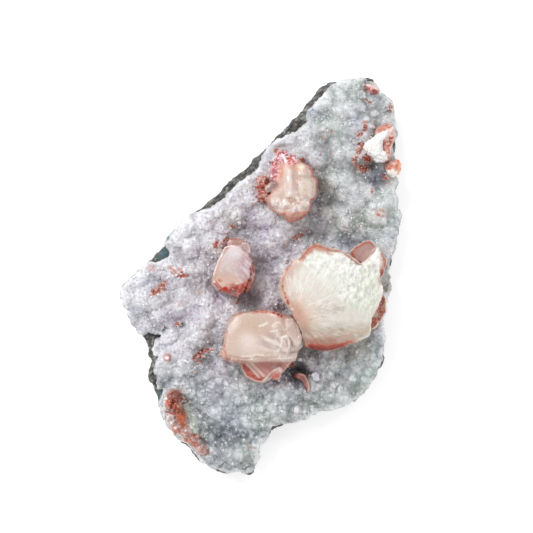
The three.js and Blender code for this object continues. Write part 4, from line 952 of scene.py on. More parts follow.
def basalt():
    v, f = arrays_of(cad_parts["basalt_matrix"].data)
    v, f = remeshed([(v * 1000, f)], 0.62)
    v = relaxed(v, f, 2)
    n = normals_of(v, f)
    x, y, z = v.T
    rough = fbm(x * 0.5, y * 0.5, z * 0.5, 4, 101)
    hackle = np.abs(fbm(x * 0.22, y * 0.22, z * 0.35, 3, 102))
    fine = fbm(x * 1.6, y * 1.6, z * 1.6, 2, 103)
    side = 1 - np.abs(n[:, 2])
    out = 0.55 * rough * (0.35 + side) - 1.1 * hackle * side + 0.18 * fine
    # small gas holes
    cell = 2.6
    ci = np.floor(v / cell).astype(np.int64)
    hole = np.zeros(len(v))
    for a in (-1, 0, 1):
        for b in (-1, 0, 1):
            for c in (-1, 0, 1):
                q = ci + [a, b, c]
                centre = (q + 0.5 + 0.4 * np.stack([2 * chance(q[:, 0], q[:, 1], q[:, 2], 110 + k) - 1 for k in range(3)], 1)) * cell
                r = 0.15 + 1.05 * chance(q[:, 0], q[:, 1], q[:, 2], 114) ** 3
                d = np.linalg.norm(v - centre, axis=1)
                hole = np.maximum(hole, np.where(d < r, np.sqrt(np.maximum(r * r - d * d, 0)), 0))
    out -= 0.75 * hole
    inward = smooth(0.2, 0.9, (-0.70 * n[:, 0] + 0.72 * n[:, 1])) * smooth(8, 0, x + 0.9 * y - 22) * smooth(4, 8, z)
    out -= 0.45 * inward
    flat = (n[:, 2] < -0.7) & (z < 1.0)
    out = np.where(flat, np.minimum(out * 0.5, 0) * (-1), out)  # the flat back is only pitted inwards
    moved = v + n * out[:, None]
    moved[:, 2] = np.where(flat, z + np.minimum(-np.abs(0), 0) + np.clip(0.5 * hole + 0.10 * np.maximum(rough, 0), 0, 0.7), moved[:, 2])
    moved[:, 2] = np.maximum(moved[:, 2], 0.0)
    c = np.tile(hue(76, 75, 74), (len(v), 1))
    c = blend(c, hue(58, 56, 56), smooth(-0.1, 0.5, rough) * 0.7)
    c = blend(c, hue(122, 118, 110), smooth(0.2, 0.7, fine + 0.6 * rough) * 0.7)
    c = blend(c, hue(172, 170, 166), smooth(0.50, 0.70, noise(x * 2.3, y * 2.3, z * 2.3, 121)) * 0.5 * smooth(-0.4, 0.3, rough))
    c = blend(c, hue(44, 42, 42), smooth(0.38, 0.58, noise(x * 1.5, y * 1.5, z * 1.5, 126)) * 0.7)
    c = blend(c, hue(96, 82, 62), smooth(0.2, 0.6, fbm(x * 0.2, y * 0.2, z * 0.2, 3, 122)) * 0.45)
    ledge = smooth(0.35, 0.8, n[:, 2]) * smooth(4.0, 6.0, z)
    c = blend(c, hue(128, 125, 120), ledge * 0.55 * smooth(-0.25, 0.2, fine + 0.3 * rough))
    c = blend(c, hue(182, 179, 173), ledge * 0.65 * smooth(0.22, 0.42, noise(x * 1.9, y * 1.9, z * 1.9, 128)))
    c = blend(c, hue(50, 47, 46), ledge * 0.7 * smooth(0.25, 0.5, -noise(x * 1.3, y * 1.3, z * 1.3, 129)))
    # painted shade in the gas holes
    c = c * (1 - 0.55 * smooth(0.1, 0.6, hole))[:, None]
    # green celadonite, on the contact with the crust and in some of the holes
    px, py = plan_of(moved)
    green = np.maximum.reduce([
        blob(px, py, 163, 254, 8.5, 4.6, -0.55, 0.4), blob(px, py, 159, 393.5, 4.6, 4.6, 0.2, 0.4), blob(px, py, 190, 449, 3, 3, 0, 0.5),
        0.75 * blob(px, py, 170.5, 238, 3.2, 3.4, -0.7, 0.4),
    ])
    contact = smooth(7.0, 8.6, z) * side * smooth(0.0, 0.5, fbm(x * 0.15, y * 0.15, z * 0.3, 3, 123))
    green = green * smooth(1.5, 6.5, z + 3 * fbm(x * 0.12, y * 0.12, z * 0.12, 3, 127))
    green = np.clip(np.maximum(green, 0.7 * contact), 0, 1) * smooth(-0.5, 0.1, fbm(x * 0.7, y * 0.7, z * 0.7, 3, 124))
    c = blend(c, hue(88, 116, 122), green * 0.9)
    white = smooth(0.45, 0.7, fbm(x * 0.33, y * 0.33, z * 0.33, 2, 125)) * smooth(0.1, 0.4, hole)
    c = blend(c, hue(196, 196, 190), white * 0.8)
    ob = mesh_object("basalt_slab", moved, f, c)
    print("basalt", len(v), "points")
    return finish_piece(ob, M_BASALT, ["basalt_matrix"])


# ---- crystals ---------------------------------------------------------------------------------------------------------------
ROOT = -6.4


def edge_tone(px, py, ring, w):
    return smooth(w, 0.0, edge_distance(px, py, ring))


FAN_OUTLINE = [
    (305, 346.5), (313.5, 349.5), (321, 350.6), (328, 350.9), (336, 349.6), (344, 347.3), (352, 343.6), (360.5, 340.6),
    (370.6, 335.2), (371.4, 326), (372, 318), (377, 309.5), (380.5, 302), (381.8, 294), (381.8, 286), (381.2, 277),
    (380, 268.8), (375, 262), (368, 261.5), (361, 263.5), (355, 259.5), (347.5, 254), (340, 249.5), (331, 248.8),
    (324.5, 245.6), (317.5, 243.4), (310.5, 245.4), (303.3, 251.5), (298, 258.6), (291, 262), (284.6, 269.6),
    (280, 278.5), (277.6, 287), (278.6, 294.6), (283.6, 301.6), (290.4, 309.6), (297, 320.8), (301.5, 332),
]
SPUR_OUTLINE = [
    (350, 252), (355.3, 246.3), (364.5, 241), (371.6, 241), (377, 246), (383, 253.5), (386.4, 260.6), (386, 268),
    (383, 276), (376, 279), (364, 275), (354, 263),
]
FIN_OUTLINE = [(375, 292), (382.9, 295.3), (385.4, 300.4), (385.2, 311.6), (380, 321.8), (371.6, 328.5), (362, 326), (364, 305)]
WHITE_PATCH = [
    (306, 252.5), (313, 250), (318, 249.6), (322, 249), (331, 250.6), (340, 252.8), (348, 255.3), (353, 258.6), (358.6, 265.2), (362, 264.4),
    (367.5, 259), (373.7, 254.6), (377.3, 248.6), (380, 253.8), (381, 264.5), (380, 272.5), (378.6, 278), (380.4, 286.8),
    (382, 292), (380, 300), (375.5, 309), (370, 318), (362, 314), (352, 309), (338, 300), (324, 288), (312, 276), (303, 264),
]


def ragged(ring, amount, freq, seed, where=None):
    """The same outline with a broken edge."""
    r = np.array(ring, float)
    if np.sum(r[:, 0] * np.roll(r[:, 1], -1) - np.roll(r[:, 0], -1) * r[:, 1]) < 0:
        r = r[::-1]
    length = np.hypot(*(np.roll(r, -1, 0) - r).T)
    at = np.concatenate([[0], np.cumsum(length)])
    u = np.linspace(0, at[-1], int(at[-1] / 1.1), endpoint=False)
    closed = np.concatenate([r, r[:1]])
    x, y = np.interp(u, at, closed[:, 0]), np.interp(u, at, closed[:, 1])
    tx, ty = np.roll(x, -1) - np.roll(x, 1), np.roll(y, -1) - np.roll(y, 1)
    size = np.maximum(np.hypot(tx, ty), 1e-6)
    k = amount * (fbm(x * freq, y * freq, seed, 3, seed) + 0.35 * noise(x * freq * 3.1, y * freq * 3.1, seed, seed + 1))
    if where is not None:
        k = k * where(x, y)
    return [(float(a), float(b)) for a, b in zip(x + ty / size * k, y - tx / size * k)]


def fan_top(x, y):
    along = ((x - 297) * 0.78 - (y - 317) * 0.62) / 80
    across = ((x - 297) * 0.62 + (y - 317) * 0.78) / 55
    low = np.where(y > 318, 0.0058 * (y - 318) ** 2, 0)
    return 15.5 + 7.4 * np.sin(np.clip(0.35 + 1.55 * along, -0.3, 1.9)) - 3.2 * across**2 - low


def fan():
    voxel = 0.265
    v, f = remeshed([
        shell(ragged(FAN_OUTLINE, 1.6, 0.22, 231, lambda x, y: 0.35 + 0.65 * smooth(330, 345, x) * smooth(322, 300, y)),
              [(0.72, ROOT), (0.84, 2), (0.94, 9), (1, under(fan_top, 3.4)), (0.998, under(fan_top, 1.5)), (0.98, under(fan_top, 0.6)),
               (0.945, fan_top), (0.68, fan_top), (0.36, fan_top)], (326, 300), 1, 2),
        shell(ragged(SPUR_OUTLINE, 0.8, 0.25, 232), [(0.8, ROOT), (0.94, 3), (1, 10), (1, 12.6), (0.95, 13.5), (0.86, 13.7), (0.4, 14.2)], None, 1, 2),
        shell(ragged(FIN_OUTLINE, 1.8, 0.26, 233), [(0.62, -3.0), (0.8, -1.5), (0.96, 2.5), (1, 6), (1, 8.6), (0.95, 9.5), (0.4, 10)], None, 1, 2),
        # the white spike that runs down the right side and the ridge on the spur
        shell([(379, 283), (382.6, 286.5), (383, 294), (380.6, 300), (377, 296)], [(0.95, 6), (1, 13), (0.9, 16.5), (0.5, 18)], (378, 291)),
        shell([(371.5, 250.5), (377.4, 246.4), (380.4, 252), (381.6, 262), (380, 272), (372, 274), (366, 264.5)], [(0.98, 9), (1, 14.2), (0.9, 15.6), (0.5, 16.6)], (375, 262)),
        # chips of the brick-red margin at the right
        shell([(381.5, 294.5), (385.2, 296.4), (386.2, 302), (383, 305)], [(0.95, 2), (1, 9.8), (0.7, 11.4)]),
        shell([(370.5, 320), (378.5, 320.6), (377, 326.5), (371.3, 329.8)], [(0.95, 2), (1, 9.4), (0.8, 10.8)]),
        shell([(379.4, 268), (384.6, 268), (384.5, 273.6), (380.4, 279)], [(0.95, 2), (1, 13.6), (0.75, 15.2)]),
    ], voxel)
    v = relaxed(v, f, 1)
    n = normals_of(v, f)
    px, py = plan_of(v)
    h = v[:, 2] - CRUST_LEVEL
    up = smooth(0.25, 0.75, n[:, 2])
    side = 1 - up
    dx, dy = px - 296, 319 - py
    rho, theta = np.hypot(dx, dy), np.arctan2(dy, dx)
    white = smooth(-1.0, 3.5, edge_distance(px, py, WHITE_PATCH) + 2.6 * fbm(px * 0.13, py * 0.13, 0, 3, 201)) * smooth(-0.1, 0.5, n[:, 2])
    # two sets of fibres: from the foot on the left, and steep ones, gathered in folds, on the right
    right = smooth(322, 348, px + 0.25 * (py - 290)) * smooth(330, 316, py)
    bx, by = px - 350, 430 - py
    across = np.arctan2(bx, by) * 150 + 2.0 * noise(px * 0.10, py * 0.10, 2, 205)
    along = np.hypot(bx, by) + 3.0 * noise(px * 0.14, py * 0.14, 5, 206)
    fold, fold_q, fold_own, fold_gap = beads(across, along * 0.34, 3.5, 1.3, 3.0, 207, 1.1)
    folds = right * white * smooth(322, 300, py)
    flossy = fbm(across * 0.45, along * 0.10, h * 0.05, 3, 203)
    fibre = fbm(theta * 30, rho * 0.08, h * 0.05, 3, 204)
    weave = fbm((px - py) * 0.20, (px + py) * 0.5, 0, 2, 208)
    crumbs = fbm(px * 0.33, py * 0.33, h * 0.3, 3, 209)
    top_rows = smooth(286, 262, py + 0.10 * np.abs(px - 340)) * white
    out = 0.07 * fibre * (1 - right) + 0.06 * weave + 0.10 * flossy * right
    floss = fbm(across * 0.9, along * 0.28, h * 0.1, 3, 241)
    tufts = fbm(across * 0.72, along * 0.36, h * 0.4, 3, 243)
    out += folds * (0.10 * np.clip(fold, -1.4, 1.4) + 0.16 * crumbs + 0.18 * floss + 0.16 * tufts)
    out += top_rows * (0.36 * crumbs + 0.30 * tufts + 0.16 * np.abs(fbm(across * 0.5, along * 0.16, 0, 2, 210)))
    seam = stroke(px, py + 0.8 * noise(px * 0.2, py * 0.2, 3, 211), [(308, 320.5), (320, 317.5), (335, 315), (352, 315.6), (371, 318.5)], 1.0, 0.9) * up
    out -= 0.12 * seam * smooth(345, 330, px)
    thin = fbm(theta * 50, h * 0.07, rho * 0.05, 3, 244)
    out += side * (0.28 * fbm(theta * 16, h * 0.06, rho * 0.02, 3, 212) + 0.16 * thin + 0.15 * fbm(px * 0.2, py * 0.2, h * 0.7, 3, 213))
    ledge = stroke(px, py, [(308, 337), (322, 336), (337, 334.4), (350, 333)], 1.1, 0.9) * up
    out += 0.16 * ledge
    nest = blob(px, py, 328, 309, 15, 7.5, -0.15, 0.6) * up
    feather = threads(theta * 60, rho * 0.9, 0.14, 214, 3.4)
    out += 0.10 * nest * (feather - 0.6)
    v2 = v + n * out[:, None]

    e = edge_distance(px, py, FAN_OUTLINE)
    es = edge_distance(px, py, SPUR_OUTLINE)
    ef = edge_distance(px, py, FIN_OUTLINE)
    w1 = fbm(px * 0.28, py * 0.28, h * 0.1, 2, 215)
    w2 = fbm(px * 0.6, py * 0.6, h * 0.2, 2, 216)
    c = np.tile(hue(228, 222, 213), (len(v), 1))
    c = blend(c, hue(222, 194, 176), smooth(36, 8, rho + 5 * w1) * 0.95)
    c = blend(c, hue(222, 194, 178), smooth(13, 4, e + 2 * w1) * smooth(312, 300, px) * smooth(264, 274, py) * 0.85)
    c = blend(c, hue(210, 184, 174), smooth(11, 4, e + 1.6 * w1) * smooth(312, 300, px) * smooth(276, 264, py) * 0.85)
    c = blend(c, hue(218, 190, 174), smooth(15, 6, e + 2.2 * w1) * smooth(316, 302, px) * 0.7)
    c = blend(c, hue(214, 166, 146), smooth(15, 3, e + 2 * w1) * smooth(299, 308, py) * smooth(322, 306, px) * 0.85)
    lower = smooth(319, 334, py + 1.5 * w1)
    c = blend(c, hue(199, 183, 164), lower * 0.85)
    c = blend(c, hue(208, 190, 166), lower * smooth(345, 362, px) * 0.85)
    c = blend(c, hue(200, 166, 148), smooth(327, 338, py + 0.05 * (px - 325) + 1.5 * w1) * smooth(366, 346, px) * 0.85)
    c = blend(c, hue(190, 150, 126), smooth(15, 5, e + w1) * smooth(322, 334, py) * smooth(318, 306, px) * 0.8)
    c = blend(c, hue(176, 112, 84), smooth(333, 343, py + 2 * w1) * smooth(358, 338, px) * 0.85)
    c = blend(c, hue(168, 86, 54), smooth(337, 344, py + 2 * w1) * smooth(352, 330, px) * 0.7)
    c = blend(c, hue(236, 236, 228), white * 0.92)
    c = blend(c, hue(222, 226, 206), white * 0.6 * smooth(345, 372, px + 0.2 * (py - 280)) * smooth(262, 280, py))
    # painted highlight on the tops of the crumbs in the white rows
    c = blend(c, hue(250, 251, 249), white * top_rows * 0.8 * smooth(-0.1, 0.3, crumbs))
    c = c * (1 + 0.06 * fibre * (1 - 0.5 * white) * (1 - right) + 0.035 * weave + 0.07 * flossy * right + 0.04 * w2)[:, None]
    # painted shade in the fold gaps and where crumbs and tufts lie low, then painted shade, greenish grey, in the floss
    # seams and painted highlight on its raised tufts
    c = c * (1 - folds * 0.08 * np.exp(-np.maximum(fold_gap, 0) / 0.4) + folds * 0.08 * (fold_own - 0.5) + 0.22 * top_rows * np.clip(crumbs, -1, 0) + 0.20 * np.maximum(folds, top_rows) * np.clip(tufts, -1, 0.15))[:, None]
    c = blend(c, hue(204, 208, 190), folds * 0.55 * smooth(0.05, 0.3, -floss - 0.5 * tufts))
    c = blend(c, hue(253, 253, 251), folds * 0.6 * smooth(0.08, 0.3, floss + 0.6 * tufts))
    c = blend(c, hue(214, 208, 196), (1 - right) * (0.45 - 0.3 * lower) * smooth(0.05, 0.4, fbm(theta * 22, rho * 0.11, 4, 3, 232)) * smooth(14, 30, rho))
    c = blend(c, hue(246, 246, 242), (1 - right) * (0.55 - 0.4 * lower) * smooth(0.10, 0.45, fbm(theta * 26, rho * 0.10, 8, 3, 233)) * smooth(14, 30, rho))
    # the feathery nest above the seam
    c = blend(c, hue(210, 196, 184), nest * 0.55 * (1 - feather))
    c = blend(c, hue(248, 244, 238), nest * 0.6 * feather)
    c = c * (1 - 0.16 * blob(px, py, 336, 310, 10, 4, -0.3, 0.6) * (1 - feather) * up)[:, None]
    c = blend(c, hue(176, 150, 140), stroke(px, py, [(309, 320.4), (320, 317.6), (331, 316.4)], 0.7, 0.8) * smooth(-0.2, 0.3, w2) * 0.7)
    fan_lines = threads(theta * 55, rho * 0.55, 0.12, 217, 3.6) * smooth(8, 20, rho) * smooth(44, 30, rho) * up
    c = blend(c, hue(250, 244, 238), 0.45 * fan_lines * (1 - 0.8 * lower))
    c = blend(c, hue(240, 226, 214), ledge * 0.4 * smooth(-0.3, 0.2, w2))
    # painted glint near the fan's foot
    c = blend(c, hue(254, 250, 246), 0.9 * blob(px, py, 291.6, 309.3, 1.9, 1.3, 0.4, 0.5))
    combed = fbm(theta * 34, rho * 0.13, 6, 3, 245)
    c = c * (1 + lower * 0.14 * np.clip(combed, -1, 1))[:, None]
    c = blend(c, hue(236, 228, 214), lower * 0.55 * smooth(0.12, 0.4, fbm(theta * 28, rho * 0.16, 7, 3, 246)) * smooth(343, 333, py))
    c = blend(c, hue(176, 152, 132), lower * 0.45 * smooth(0.15, 0.45, -combed))
    c = c * (1 - 0.11 * smooth(14, 4, e + 2 * w1) * smooth(314, 300, px) * smooth(260, 270, py) - 0.03 * lower - 0.015 * white)[:, None]
    # brown-pink margin along the upper left
    margin = smooth(9.5, 4.5, e + 1.8 * w1) * smooth(264, 256, py + 0.10 * (px - 305)) * smooth(336, 326, px) * smooth(298, 303, px)
    c = blend(c, hue(196, 156, 142), margin * 0.9)
    c = blend(c, hue(184, 118, 94), smooth(6.5, 3.0, e + 1.8 * w1) * smooth(262, 258, py) * smooth(334, 322, px) * smooth(296.5, 299.5, px) * 0.85)
    c = blend(c, hue(156, 72, 48), smooth(3.4, 1.6, e + 1.0 * w1) * smooth(262, 258, py) * smooth(334, 322, px) * smooth(296.5, 299.5, px) * 0.9)
    c = blend(c, hue(158, 80, 54), stroke(px, py + 0.6 * w1, [(328, 249.6), (334, 250.2), (342, 251.4), (347, 254.6), (352.5, 258.6), (357, 263)], 1.5, 0.7) * 0.9)
    # red beads strung inside the left margin, with a clear skin outside them
    line = stroke(px + 0.7 * w1, py, [(292, 262.8), (287.6, 267.6), (284.4, 273.4), (282.0, 279), (281.8, 284), (283.2, 290), (285.4, 297), (288.2, 303.4)], 1.3, 0.8)
    dots = smooth(-0.2, 0.25, noise(px * 0.42, py * 0.42, 3, 218))
    c = blend(c, hue(200, 140, 118), line * 0.85)
    c = blend(c, hue(172, 66, 48), line * dots * 0.95)
    c = blend(c, hue(182, 174, 166), smooth(4.0, 2.6, e + 0.4 * w1) * smooth(275, 281, py) * smooth(287, 281, px) * 0.85)
    c = blend(c, hue(224, 180, 160), smooth(3.4, 2.0, e) * smooth(266, 272, py) * smooth(285, 279, py) * smooth(286, 281, px) * 0.8)
    c = blend(c, hue(176, 172, 156), 0.8 * blob(px, py, 286.8, 308.4, 2.6, 3.4, 0.2, 0.4))
    # the orange-red foot
    band_low = smooth(7.0, 4.6, e + 1.0 * w1 + 0.12 * np.maximum(px - 336, 0) + 0.9 * np.maximum(311 - px, 0)) * smooth(338, 342, py) * smooth(366, 350, px)
    band_low = band_low * (1 - smooth(0.3, 0.0, n[:, 2]) * smooth(12.4, 9.8, h + 3.5 * fbm(theta * 26, h * 0.05, 0, 3, 242)))
    c = blend(c, hue(186, 66, 10), band_low * 0.95)
    c = blend(c, hue(140, 28, 4), band_low * smooth(5.0, 2.6, e + w1) * smooth(305, 310, px) * smooth(350, 338, px) * 0.92)
    c = blend(c, hue(214, 142, 108), smooth(311, 306, px) * smooth(342, 345, py) * smooth(3.5, 1.0, e) * 0.85)
    c = blend(c, hue(206, 160, 136), 0.6 * smooth(3.0, 1.0, e) * smooth(338, 342, py) * smooth(344, 352, px))
    # the spur: a brown-pink window in a red rim, white on its right
    ridge = smooth(-0.8, 0.8, edge_distance(px, py, [(377.6, 246.6), (380.4, 252), (380.6, 262), (379.6, 271), (374, 273), (360.6, 265.4), (362.5, 262.4), (368.4, 258.6), (373.4, 254)]) + 0.8 * w1)
    spur = smooth(-0.5, 0.8, es) * smooth(1.5, -0.5, e)
    near = spur * (1 - np.maximum(white, ridge))
    window = hue(170, 134, 126) * (1 + 0.10 * fbm(px * 0.4, py * 0.4, 1, 2, 219))[:, None]
    c = blend(c, window, near)
    c = blend(c, hue(192, 168, 160), near * smooth(2, 9, (px - 362) * 0.5 + (py - 248) * 0.6) * 0.6)
    c = blend(c, hue(164, 80, 58), near * smooth(4.4, 1.6, es + 1.2 * w1) * smooth(375, 370, px) * 0.9)
    c = blend(c, hue(112, 52, 48), 0.8 * blob(px, py, 359.8, 263.2, 2.6, 2.2, 0.7, 0.4))
    c = blend(c, hue(250, 250, 246), ridge * spur * 0.95)
    flank = smooth(379.2, 381, px + 0.6 * w1) * smooth(247, 251, py) * smooth(284, 276, py) * smooth(-0.6, 0.6, es)
    c = blend(c, hue(222, 184, 172), flank * 0.9)
    c = blend(c, hue(248, 240, 236), flank * 0.8 * smooth(0.1, 0.4, w2))
    c = blend(c, hue(166, 78, 54), flank * smooth(3.0, 1.3, es + 0.8 * w1) * 0.95)
    c = blend(c, hue(166, 78, 54), flank * smooth(266, 270, py) * 0.85)
    # the fin: brick red with a pale chip
    fin = smooth(-0.9, 0.2, np.maximum(ef, 1.5 - np.hypot(px - 384, py - 300))) * smooth(1.0, -0.4, e)
    c = blend(c, hue(160, 76, 52) * (1 + 0.34 * fbm(px * 0.5, py * 0.5, h * 0.5, 3, 220))[:, None], fin * 0.97)
    c = blend(c, hue(216, 168, 152), fin * 0.7 * smooth(0.22, 0.42, w2))
    c = blend(c, hue(222, 176, 164), fin * blob(px, py, 380.5, 303.5, 2.2, 4.0, 0.5, 0.5) * smooth(-0.1, 0.3, w2) * 0.9)
    c = blend(c, hue(200, 184, 168), blob(px, py, 375.2, 314.4, 3.0, 3.2, 0.5, 0.35) * 0.9 * smooth(2.5, 1.0, e))
    c = blend(c, hue(164, 80, 58), blob(px, py, 380.6, 280.6, 1.9, 4.0, 0, 0.35) * 0.9)
    c = blend(c, hue(246, 248, 240), blob(px, py, 381, 291.5, 1.7, 6.0, 0.08, 0.35) * 0.95)
    # the sides: pinkish, streaked, redder towards the crust
    streak = fbm(theta * 20, h * 0.08, 0, 3, 221)
    wall = np.tile(hue(214, 176, 156), (len(v), 1))
    wall = blend(wall, hue(238, 226, 212), smooth(0.0, 0.5, streak))
    wall = blend(wall, hue(170, 92, 68), smooth(0.15, 0.55, -streak + 0.4 * smooth(9, 0, h)) * 0.8)
    wall = blend(wall, hue(240, 238, 230), smooth(9, 17, h + 4 * streak) * smooth(300, 345, px) * 0.7)
    wall = blend(wall, hue(246, 240, 232), 0.5 * smooth(0.1, 0.4, thin))
    wall = blend(wall, hue(176, 118, 96), 0.45 * smooth(0.1, 0.4, -thin))
    keep = np.clip(np.maximum(up, np.maximum(0.75 * fin, 1.2 * band_low)), 0, 1)
    c = c * keep[:, None] + (0.45 * c + 0.55 * wall) * (1 - keep)[:, None]
    ob = mesh_object("fan_fibres", v2, f, c)
    print("fan", len(v), "points")
    return finish_piece(ob, M_FAN, ["fan_crystal"])


BLOCK_OUTLINE = [
    (220, 352), (223.4, 346.5), (224.6, 334), (228.6, 322.4), (235.5, 313.8), (244, 311.6), (254, 310.8), (262, 309.8),
    (270, 309.8), (279, 312), (286, 314.5), (292, 315), (296.5, 320), (300, 326), (303.5, 335), (304.5, 341), (303, 346.5),
    (298.4, 351), (294.6, 361.4), (281.8, 362.2), (264, 361.5), (252, 362.8), (241, 363), (230, 362.4), (222, 358),
]
WEDGE_OUTLINE = [
    (240, 358), (241, 368.6), (246, 377.3), (256, 382.4), (265.3, 383), (271.6, 379), (278, 379.2), (284.4, 371),
    (292, 362.5), (288, 352), (262, 348),
]


def block_top(x, y):
    return 12.6 - 0.0011 * (x - 252) ** 2 - 0.0012 * (y - 338) ** 2 - np.where(x > 280, 0.09 * (x - 280), 0)


def lines(c, px, py, colour, marks):
    """Fine strokes: each is (points, width, strength)."""
    for points, width, strength in marks:
        c = blend(c, colour, stroke(px, py, points, width, 0.85) * strength)
    return c


def block():
    voxel = 0.22
    step_a = [(240, 357.6), (252, 356.8), (256, 355.2), (266, 356), (280, 356.6), (295, 355.4), (296.8, 357.6), (294.6, 361.4), (281.8, 362.2), (264, 361.8), (252.6, 361), (250, 359.4), (240, 360.4)]
    step_b = [(228, 353.4), (240, 355.4), (252, 354.8), (256, 353.2), (266, 353.8), (285, 354), (297, 352.5), (296, 358), (280, 358.4), (262, 357.8), (248, 358.6), (238, 359), (228, 358.6), (225, 356)]
    v, f = remeshed([
        shell(BLOCK_OUTLINE, [(0.8, ROOT), (0.93, 1.5), (0.985, 5), (1, under(block_top, 5.2)), (0.995, under(block_top, 3.0)), (0.97, under(block_top, 1.5)), (0.94, under(block_top, 0.5)),
                              (0.9, block_top), (0.6, block_top), (0.3, block_top)], (262, 337), 1, 2),
        shell(WEDGE_OUTLINE, [(0.8, ROOT), (0.97, 0.5), (1, tilted(262, 366, 4.4, 0, -0.06)), (0.88, tilted(262, 366, 5.8, 0, -0.08)), (0.4, tilted(262, 366, 6.2, 0, -0.08))], None, 1, 2),
        # flat growth sheets that step out along the front edge
        shell(step_a, [(0.97, 4.6), (1.0, 4.8), (1.0, 8.0), (0.98, 8.2)], (266, 358.6)),
        shell(step_b, [(0.97, 8.0), (1.0, 8.2), (1.0, 10.0), (0.97, 10.2)], (262, 356)),
        # the small lobe at the lower left
        shell([(218.8, 354.6), (221, 350), (224.4, 347), (227, 352), (227.6, 360), (222.4, 359.4)], [(0.9, -2), (1, 6.4), (0.85, 8.2), (0.4, 8.8)]),
        # the blade low on the wedge
        shell([(272, 370.6), (279.4, 365.2), (283.6, 368.6), (279.6, 379.6), (273, 380.2)], [(0.95, 1.0), (1, tilted(277, 372, 6.4, 0, -0.05)), (0.85, tilted(277, 372, 7.0, 0, -0.05))]),
        # stepped faces on the right shoulder
        shell([(287, 318.6), (293, 317.6), (299, 326), (302.6, 336), (301.6, 344), (295, 347.5), (289, 340), (286, 328)], [(0.96, 6), (1.0, 10.3), (0.95, 10.8)]),
        shell([(281, 336), (287.5, 334.6), (290.5, 342), (290, 351), (283, 353.2), (279, 346)], [(0.95, 9), (1.0, 12.0), (0.88, 12.5)]),
    ], voxel)
    v = relaxed(v, f, 1)
    n = normals_of(v, f)
    px, py = plan_of(v)
    h = v[:, 2] - CRUST_LEVEL
    up = smooth(0.3, 0.8, n[:, 2])
    side = 1 - up
    e = edge_distance(px, py, BLOCK_OUTLINE)
    ew = edge_distance(px, py, WEDGE_OUTLINE)
    wedge = smooth(0.8, -0.8, e) * smooth(7.8, 6.8, h)
    oblique = px * 0.62 - py * 0.78
    out = 0.05 * fbm(px * 0.1, py * 0.1, h * 0.3, 2, 301)
    # growth lines: level steps round the sides, oblique ones on the wedge
    course = np.sin(h * 2.6 + 3.4 * fbm(px * 0.035, py * 0.035, h * 0.10, 3, 302))
    out += side * (1 - wedge) * (0.08 * np.tanh(2.2 * course) + 0.10 * fbm(px * 0.10, py * 0.10, h * 0.5, 3, 312))
    ribs = np.maximum(stroke(px, py, [(250.6, 362), (256, 367.6), (263.6, 375.6)], 1.1, 0.7), stroke(px, py, [(246.4, 363.6), (252, 369.4), (259, 377)], 0.9, 0.7))
    out += wedge * (0.22 * ribs + 0.05 * np.tanh(2.5 * np.sin(oblique * 1.1 + 1.2 * fbm(px * 0.05, py * 0.05, 0, 2, 303))))
    chip = smooth(0.15, 0.5, fbm(px * 0.12, py * 0.12, h * 0.3, 3, 304)) * smooth(278, 290, px)
    out -= 0.22 * chip * (1 - wedge)
    dents = blob(px, py, 272, 342, 12, 9, -0.2, 0.6) * up
    out += 0.07 * dents * np.sin(np.arctan2(py - 352, px - 292) * 16 + fbm(px * 0.1, py * 0.1, 0, 2, 305))
    v2 = v + n * out[:, None]
    w1 = fbm(px * 0.25, py * 0.25, h * 0.7, 2, 306)
    w2 = fbm(px * 0.5, py * 0.5, h * 1.4, 2, 307)
    c = np.tile(hue(222, 198, 184), (len(v), 1))
    c = blend(c, hue(214, 186, 166), 0.6 * blob(px, py, 254, 327, 15, 8, 0.15, 0.8))
    # painted soft highlights, milky white, on the face
    c = blend(c, hue(244, 228, 222), 0.95 * np.maximum(blob(px, py, 248.5, 342.5, 7.5, 8.5, -0.3, 0.95), 0.85 * blob(px, py, 234.5, 325, 3.2, 7.5, 0.55, 0.9)))
    c = blend(c, hue(236, 218, 208), 0.5 * blob(px, py, 258, 346, 20, 7, -0.1, 0.9))
    c = blend(c, hue(222, 206, 202), 0.65 * smooth(266, 288, px))
    c = blend(c, hue(228, 196, 182), 0.5 * blob(px, py, 285, 324, 12, 8, 0.4, 0.7))
    rays = smooth(-0.1, 0.7, np.sin(np.arctan2(py - 352, px - 292) * 16 + fbm(px * 0.1, py * 0.1, 0, 2, 305)) + 0.5 * w2)
    c = blend(c, hue(190, 166, 168), 0.55 * dents * (1 - rays))
    c = blend(c, hue(246, 236, 232), 0.55 * dents * rays)
    thread = threads(px, py, 0.13, 308, 4.0)
    c = blend(c, hue(248, 238, 230), 0.55 * thread * smooth(262, 280, px) * smooth(314, 320, py))
